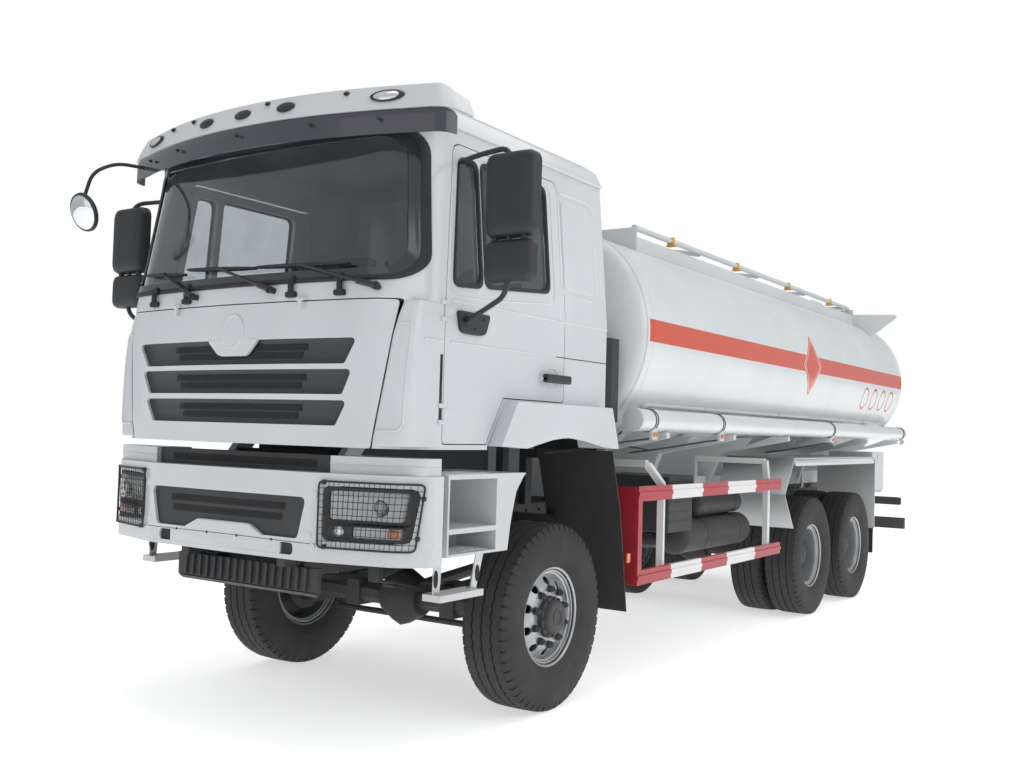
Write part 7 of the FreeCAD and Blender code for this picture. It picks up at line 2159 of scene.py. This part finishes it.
        pad(white, cover, self.on_face, [(0, -26), (0, -3.5), (-3, -1.5), (-14, -1.2)])
        seam = [self.on_face(y, 1082.0 - 5.0 * (abs(y) / 680.0), 0.3) for y in range(-680, 681, 40)]
        white.tube(seam, 1.6, 6, 1)
        self.show(white, "bumper_trim", "chassis", [CAB_WHITE, SEAL_RUBBER], Slot.CAB_WHITE, sharp=36.0)

    def build(self) -> None:
        """Draws everything on the bumper."""
        self.prepare()
        self.fronts()
        self.grilles()
        self.whites()


@dataclass
class CornerPanels(Assembly):
    """Side deflector panels between the front lid and the doors."""

    title: str = "corner panels"
    levels: tuple[float, ...] = (1588.0, 1600.0, 1700.0, 1850.0, 2000.0, 2150.0, 2250.0, 2330.0, 2335.0)
    vent_y: float = 1152.0

    def line(self, z: float) -> list[Vector]:
        """Gives the panel's outer line at a height; Args: z; Returns: points from the seam to the door."""
        seam = between(963.0, 1086.0, (z - 1570.0) / 770.0)
        half = CAB.level(z)[0]
        front = CAB.front_x(seam, z)
        return rounded([Vector((front + 1.0, seam)), Vector((front - 26.0, half + 2.0)),
                        Vector((1172.0, half + 2.0))], 120.0, False, 8)

    def field(self, shape: Shape, side: float) -> None:
        """Draws the pressed edge of the raised field next to the seam; Args: shape, side."""
        stops = ((2212.0, 0), (2212.0, 2), (2206.0, 3), (2180.0, 4), (2020.0, 4), (1860.0, 4), (1700.0, 4),
                 (1672.0, 3), (1666.0, 2), (1666.0, 0))
        points = [(self.line(z)[place], z) for z, place in stops]
        shape.tube([(p.x, side * p.y, z) for p, z in points], 7.0, 8)

    def build(self) -> None:
        """Draws both panels with their pressed field and dark vent."""
        shape = Shape()
        for _, side in SIDES:
            rings = []
            for number, z in enumerate(self.levels):
                ease = 2.5 if number in (0, len(self.levels) - 1) else 0.0
                outer = self.line(z)
                start, end = outer[0], outer[-1]
                bend = Vector((start.x - 27.0, end.y))
                inner = rounded([start + Vector((-16, 0)), bend + Vector((-16, -16)), end + Vector((0, -16))],
                                110.0, False, 8)
                outer = [p + Vector((-ease, -ease)) * (1.0 if 0 < i < len(outer) - 1 else 0.3)
                         for i, p in enumerate(outer)]
                rings.append([(p.x, side * p.y, z) for p in [*outer, *reversed(inner)]])
            shape.loft(rings)
            self.field(shape, side)
            shape.tube([(x, side * 1151.0, 2142.0) for x in (1176.0, 1330.0)], 6.0, 8)
            vent = rounded([(1177, 1722), (1189, 1722), (1189, 2068), (1177, 2068)], 5, True, 3)
            pad(shape, vent, lambda x, z, lift: (x, side * (self.vent_y + lift), z),
                [(3, -4), (3, 3), (0, 4), (-3, 1)], 1)
            for number in range(9):
                z = 1745.0 + 37.0 * number
                shape.block((1179, side * self.vent_y, z), (1187, side * (self.vent_y + 5.0), z + 6.0), 1)
        self.show(shape, "corner_panels", "cab", [CAB_WHITE, SEAL_RUBBER], Slot.CAB_WHITE, sharp=38.0)


@dataclass
class Interior(Assembly):
    """Seats, headrests and bunk as stuffed cushions on their bases."""

    title: str = "interior"
    floor: float = 1862.0
    rings: int = 18
    ring_points: int = 36
    crown: float = 0.42
    squareness: float = 0.38
    height_power: float = 0.62
    seam_share: float = 0.995

    def cushion(self, name: str, low: Point, high: Point, lean: float = 0.0) -> bpy.types.Object:
        """Draws one crowned cushion with its seam.

        Args:
            name: name of the piece.
            low: lowest corner.
            high: highest corner.
            lean: how far its top leans back.
        Returns:
            The piece.
        """
        shape = Shape()
        middle = [0.5 * (a + b) for a, b in zip(low, high)]
        half = [0.5 * (b - a) for a, b in zip(low, high)]

        def bent(value: float, power: float) -> float:
            """Raises a sine or cosine to a power, keeping its sign."""
            return math.copysign(abs(value) ** power, value)

        rings = []
        for i in range(1, self.rings):
            rise = math.pi * (i / self.rings - 0.5)
            wide = bent(math.cos(rise), self.crown)
            z = bent(math.sin(rise), self.height_power)
            ring = []
            for c, s in compass(self.ring_points):
                x = bent(c, self.squareness) * wide
                y = bent(s, self.squareness) * wide
                ring.append((middle[0] + half[0] * x - lean * z, middle[1] + half[1] * y,
                             middle[2] + half[2] * z))
            rings.append(ring)
        shape.loft(rings)
        seam = [(between(middle[0], x, self.seam_share), between(middle[1], y, self.seam_share), z)
                for x, y, z in rings[self.rings // 2 - 1]]
        shape.tube(seam, 4, 6, looped=True)
        piece = self.show(shape, name, "cab", [CLOTH], Slot.GREY_PLASTIC, sharp=60.0)
        return piece

    def build(self) -> None:
        """Draws seats and bunk."""
        bases = Shape()
        for label, side in SIDES:
            y0, y1 = sorted((side * 335.0, side * 845.0))
            self.cushion("seat_base_" + label, (70, y0, 2030), (558, y1, 2165))
            self.cushion("seat_back_" + label, (-42, y0 + 8, 2150), (100, y1 - 8, 2735), 44.0)
            self.cushion("seat_head_" + label, (-104, y0 + 110, 2742), (4, y1 - 110, 2880), 8.0)
            rounded_box(bases, (85, y0 + 30, self.floor), (530, y1 - 30, 2040), 30, 2)
            for y in (y0 + 190, y1 - 190):
                bases.tube([(-42, y, 2690), (-50, y, 2780)], 7, 8)
        self.cushion("bunk_mattress", (-524, -985, 2060), (-92, 985, 2188))
        rounded_box(bases, (-524, -990, self.floor), (-96, 990, 2072), 25, 2)
        self.show(bases, "seat_bases", "cab", [CABIN_GREY], Slot.GREY_PLASTIC, ["seats"], sharp=40.0)


@dataclass
class AirTanks(Assembly):
    """Brake reservoirs and the battery box on the left side of the frame."""

    title: str = "air tanks"
    reservoirs: tuple[tuple[float, float, float, float], ...] = ((-3560.0, -2150.0, 880.0, 138.0),
                                                                 (-3440.0, -2500.0, 1120.0, 93.0))
    centre_y: float = 900.0
    dome: float = 0.42
    rail_y: float = 430.0

    def build(self) -> None:
        """Draws the reservoirs with seams and straps, the box with its lid and the guard plates."""
        shape = Shape()
        for rear, front, z, r in self.reservoirs:
            dome = self.dome * r
            end = [(0.0, 0.01), (0.06 * dome, 0.4 * r), (0.3 * dome, 0.75 * r), (0.65 * dome, 0.94 * r),
                   (dome, r), (dome + 6, r + 1.5), (dome + 14, r)]
            profile = [(rear + x, radius) for x, radius in end]
            profile += [(front - x, radius) for x, radius in reversed(end)]
            centre = (0.0, self.centre_y, z)
            shape.turned(profile, centre, 1.0, 40, 0, axis=FORWARDS)
            for x in (-3300.0, -2600.0):
                strap = [(x - 20, r - 2), (x - 20, r + 2), (x + 20, r + 2), (x + 20, r - 2)]
                shape.turned(strap, centre, 1.0, 40, 1, whole=True, axis=FORWARDS)
        for x in (-2400.0, -3300.0):
            shape.block((x - 25, self.rail_y, 1010), (x + 25, 905, 1050), 0)
            shape.block((x - 25, 740, 860), (x + 25, 905, 1050), 0)
        inner = self.rail_y + 120.0
        rounded_box(shape, (-2080, inner, 960), (-1650, 1120, 1302), 22, 2, 0)
        rounded_box(shape, (-2090, inner - 10, 1300), (-1640, 1130, 1380), 26, 2, 0, 4.0)
        for z in (1030.0, 1100.0, 1170.0):
            shape.block((-2060, 1116, z), (-1670, 1124, z + 10), 0)
        for x in (-2030.0, -1720.0):
            rounded_box(shape, (x - 16, 1122, 1240), (x + 16, 1134, 1340), 6, 1, 1)
        shape.block((-1900, self.rail_y, 1040), (-1800, inner + 10, 1110), 0)
        self.show(shape, "air_tank_set", "chassis", [CHASSIS_PAINT, BLACK_PLASTIC], Slot.CHASSIS,
                  ["air_tanks"], sharp=36.0)
        plates = Shape()
        for _, side in SIDES:
            y0, y1 = sorted((side * 1060.0, side * 1192.0))
            plates.block((-984.0, y0, 657.0), (-972.0, y1, 1323.0))
        self.show(plates, "guard_plates", "chassis", [GUARD_PAINT], Slot.GUARD, bevel=2.0)


@dataclass
class Fittings(Assembly):
    """Step treads, marker lamps, bolts, pipes and tail lamps."""

    title: str = "fittings"
    tread_step: float = 28.0
    strap_y: float = 1140.0
    rail_y: float = 430.0
    coil_steps: int = 96
    coil_turns: float = 8.0
    coil_radius: float = 55.0

    def treads(self) -> None:
        """Draws the raised rings on every step."""
        unit = Shape()
        unit.loft([[(r * c, r * s, h) for c, s in compass(8)]
                   for r, h in ((11.0, -1.0), (10.0, 3.0), (7.0, 3.0), (6.0, -1.0))], caps=False)
        shape = Shape()
        along, across = (self.tread_step, 0.0, 0.0), (0.0, self.tread_step, 0.0)
        for low_x, low_y, z, columns, rows in ((778.0, 1010.0, 1151.5, 14, 8), (778.0, 990.0, 1448.0, 14, 8),
                                               (838.0, 1096.0, 826.0, 12, 4), (778.0, 1010.0, 1037.5, 14, 7)):
            grid = rows_of(unit, columns, rows, (0, 0, 0), along, across, ALUMINIUM, 0.5)
            for _, side in SIDES:
                shape.take(grid, lambda p: (low_x + p.x, side * (low_y + p.y), z + p.z), 0)
        # Near-black ovals on both faces of each bracket plate are painted shade where the plates' holes are;
        # the small dome uses the same near-black.
        for _, side in SIDES:
            for x in (802.0, 1168.0):
                oval = circle((x, 905.0), 20.0, 24, 46.0)
                for face in (-1.0, 9.0):
                    pad(shape, oval, lambda a, b, lift: (a, side * (self.strap_y + lift), b),
                        [(0, face - 0.6), (0, face), (-3, face + 0.3)], 1)
            shape.turned([(0, 16), (14, 14), (22, 9), (24, 0.01)], (900.0, side * 894.0, 1290.0), side, 20, 1)
        self.show(shape, "step_treads", "chassis", [ALUMINIUM, SHADE_BLACK], Slot.ALUMINIUM, sharp=40.0)

    def lamps(self) -> None:
        """Draws side markers and the tail lamps' lenses."""
        shape = Shape()
        sides = self.truck.probe("mudflaps", "underrun_bar")
        bar = self.truck.probe("underrun_bar")
        for _, side in SIDES:
            y = sides.y_at(-790.0, 860.0, side, side * 1235.0)
            y0, y1 = sorted((y, y + side * 12.0))
            rounded_box(shape, (-812, y0, 830), (-768, y1, 892), 8, 1, 0)
            for y_low, y_high, finish in ((712.0, 850.0, 1), (862.0, 1000.0, 0), (1012.0, 1138.0, 1)):
                y0, y1 = sorted((side * y_low, side * y_high))
                back = bar.hit((-9500.0, 0.5 * (y0 + y1), 942.0), FORWARDS)
                x = back.x if back is not None else -8290.0
                rounded_box(shape, (x, y0, 906), (x + 9.0, y1, 980), 10, 0, finish)
        self.show(shape, "marker_lamps", "chassis", [AMBER, RED_LENS], Slot.LAMP, sharp=40.0)

    def bolts(self) -> None:
        """Draws the bolts of the frame rails and the hoses along them."""
        shape = Shape()
        nut = hex_unit(24.0, 0.0, 14.0, 0.0)
        nuts = rows_of(nut, 44, 2, (0, 0, 0), (-165.0, 0.0, 0.0), (0.0, 0.0, 210.0), CHASSIS_PAINT)
        for _, side in SIDES:
            shape.take(nuts, lambda p: (-780.0 + p.x, side * (self.rail_y + p.y), 915.0 + p.z), 0)
            for z, y in ((1040.0, 446.0), (1062.0, 444.0)):
                hose = [(700, side * y, z), (-700, side * (y + 8), z - 10), (-2400, side * y, z + 6),
                        (-3900, side * (y + 4), z)]
                shape.tube(rounded(hose, 300), 10, 8, 1)
        coil = []
        for k in range(self.coil_steps + 1):
            turn = self.coil_turns * k / self.coil_steps
            coil.append((-700.0 + 2.0 * math.sin(turn), 300.0 + self.coil_radius * math.cos(TURN * turn),
                         1700.0 + 7.0 * k))
        shape.tube(coil, 6, 6, 1)
        self.show(shape, "frame_bolts", "chassis", [CHASSIS_PAINT, SEAL_RUBBER], Slot.CHASSIS, sharp=40.0)

    def build(self) -> None:
        """Draws all the fittings."""
        self.treads()
        self.lamps()
        self.bolts()


@dataclass
class Studio:
    """Floor, sky, soft lamps and the camera."""

    camera_place: tuple[float, float, float] = (8.7516, 4.5233, 1.6818)
    heading: float = 213.952
    pitch: float = 2.554
    roll: float = 1.639
    lens: float = 37.14
    sensor_width: float = 36.0
    clip_end: float = 200.0
    floor_half: float = 60.0
    sky_light: float = 0.60
    floor_glow: float = 0.55
    sky_low: Triple = (0.72, 0.77, 0.82)

    def build(self) -> None:
        """Builds the studio."""
        self.floor()
        self.sky()
        self.lamps()
        self.camera()

    def floor(self) -> None:
        """Lays the pale floor."""
        mesh = bpy.data.meshes.new("floor")
        h = self.floor_half
        mesh.from_pydata([(-h, -h, 0.0), (h, -h, 0.0), (h, h, 0.0), (-h, h, 0.0)], [], [(0, 1, 2, 3)])
        floor = linked("floor", mesh)
        material, wiring = started_material("FloorWhite")
        shader = material.node_tree.nodes["Principled BSDF"].inputs
        cloud = wiring.noise(wiring.place(), 0.6, 3.0)
        tone = wiring.blend(cloud, (0.90, 0.90, 0.90, 1.0), (0.93, 0.93, 0.93, 1.0))
        wiring.link(tone, shader["Base Color"])
        shader["Roughness"].default_value = 0.9
        shader["Emission Color"].default_value = WHITE
        shader["Emission Strength"].default_value = self.floor_glow
        mesh.materials.append(material)
        floor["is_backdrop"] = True

    def sky(self) -> None:
        """Makes an overcast sky that the camera sees as plain white."""
        world = bpy.data.worlds.new("Overcast")
        bpy.context.scene.world = world
        world.use_nodes = True
        world.node_tree.nodes.clear()
        wiring = Wiring(world.node_tree)
        place = wiring.node("ShaderNodeTexCoord").outputs["Generated"]
        tone = wiring.blend(wiring.ranged(wiring.axes(place)[2], -0.1, 0.9), colour4(self.sky_low), WHITE)
        light = wiring.node("ShaderNodeBackground", {"Color": tone, "Strength": self.sky_light})
        white = wiring.node("ShaderNodeBackground", {"Color": WHITE, "Strength": 1.0})
        path = wiring.node("ShaderNodeLightPath").outputs
        seen = wiring.math("MAXIMUM", path["Is Camera Ray"], path["Is Transmission Ray"])
        both = wiring.node("ShaderNodeMixShader", {0: seen, 1: light.outputs[0], 2: white.outputs[0]})
        wiring.node("ShaderNodeOutputWorld", {0: both.outputs[0]})

    def lamps(self) -> None:
        """Hangs the soft lamps."""
        for name, place, aim, size, power in (
                ("lamp_above", (-1.0, 2.0, 12.0), (-1.0, 0.0, 0.0), (16.0, 9.0), 420.0),
                ("lamp_side", (0.0, 13.0, 7.0), (-1.0, 0.0, 1.8), (16.0, 6.0), 380.0),
                ("lamp_front", (14.0, 1.0, 5.0), (3.0, 0.0, 1.6), (7.0, 5.0), 40.0)):
            data = bpy.data.lights.new(name, "AREA")
            data.shape = "RECTANGLE"
            data.size, data.size_y = size
            data.energy = power
            lamp = linked(name, data)
            lamp.location = place
            lamp.rotation_mode = "QUATERNION"
            lamp.rotation_quaternion = (Vector(aim) - Vector(place)).to_track_quat("-Z", "Y")

    def camera(self) -> None:
        """Sets the camera at the photograph's angle."""
        yaw, pitch, roll = map(math.radians, (self.heading, self.pitch, self.roll))
        ahead = Vector((math.cos(yaw) * math.cos(pitch), math.sin(yaw) * math.cos(pitch), math.sin(pitch)))
        level = Vector((math.sin(yaw), -math.cos(yaw), 0.0))
        above = level.cross(ahead)
        right = level * math.cos(roll) + above * math.sin(roll)
        top = above * math.cos(roll) - level * math.sin(roll)
        data = bpy.data.cameras.new("camera")
        data.lens = self.lens
        data.sensor_width = self.sensor_width
        data.clip_end = self.clip_end
        camera = linked("camera", data)
        turn = Matrix((right, top, -ahead)).transposed().to_4x4()
        camera.matrix_world = Matrix.Translation(self.camera_place) @ turn
        bpy.context.scene.camera = camera


def corners(bounds: tuple[Vector, Vector]) -> list[list[float]]:
    """Gives the two corners of the bounds as plain lists; Args: bounds; Returns: two lists."""
    return [list(bounds[0]), list(bounds[1])]


def main() -> None:
    """Builds every assembly in turn."""
    logging.basicConfig(level=logging.INFO, format="%(name)s: %(message)s")
    bpy.context.scene.view_settings.view_transform = "Standard"
    truck = Checked(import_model())
    sizes = {"before": corners(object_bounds())}
    for kind in (Carried, Wheels, Tank, HoseTubes, Visor, Mirrors, CabTrim, FrontLid, Bumper,
                 CornerPanels, Interior, AirTanks, Fittings):
        assembly = kind(truck)
        assembly.build()
        assembly.report()
    Studio().build()
    sizes["after"] = corners(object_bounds())


if __name__ == "__main__":
    main()
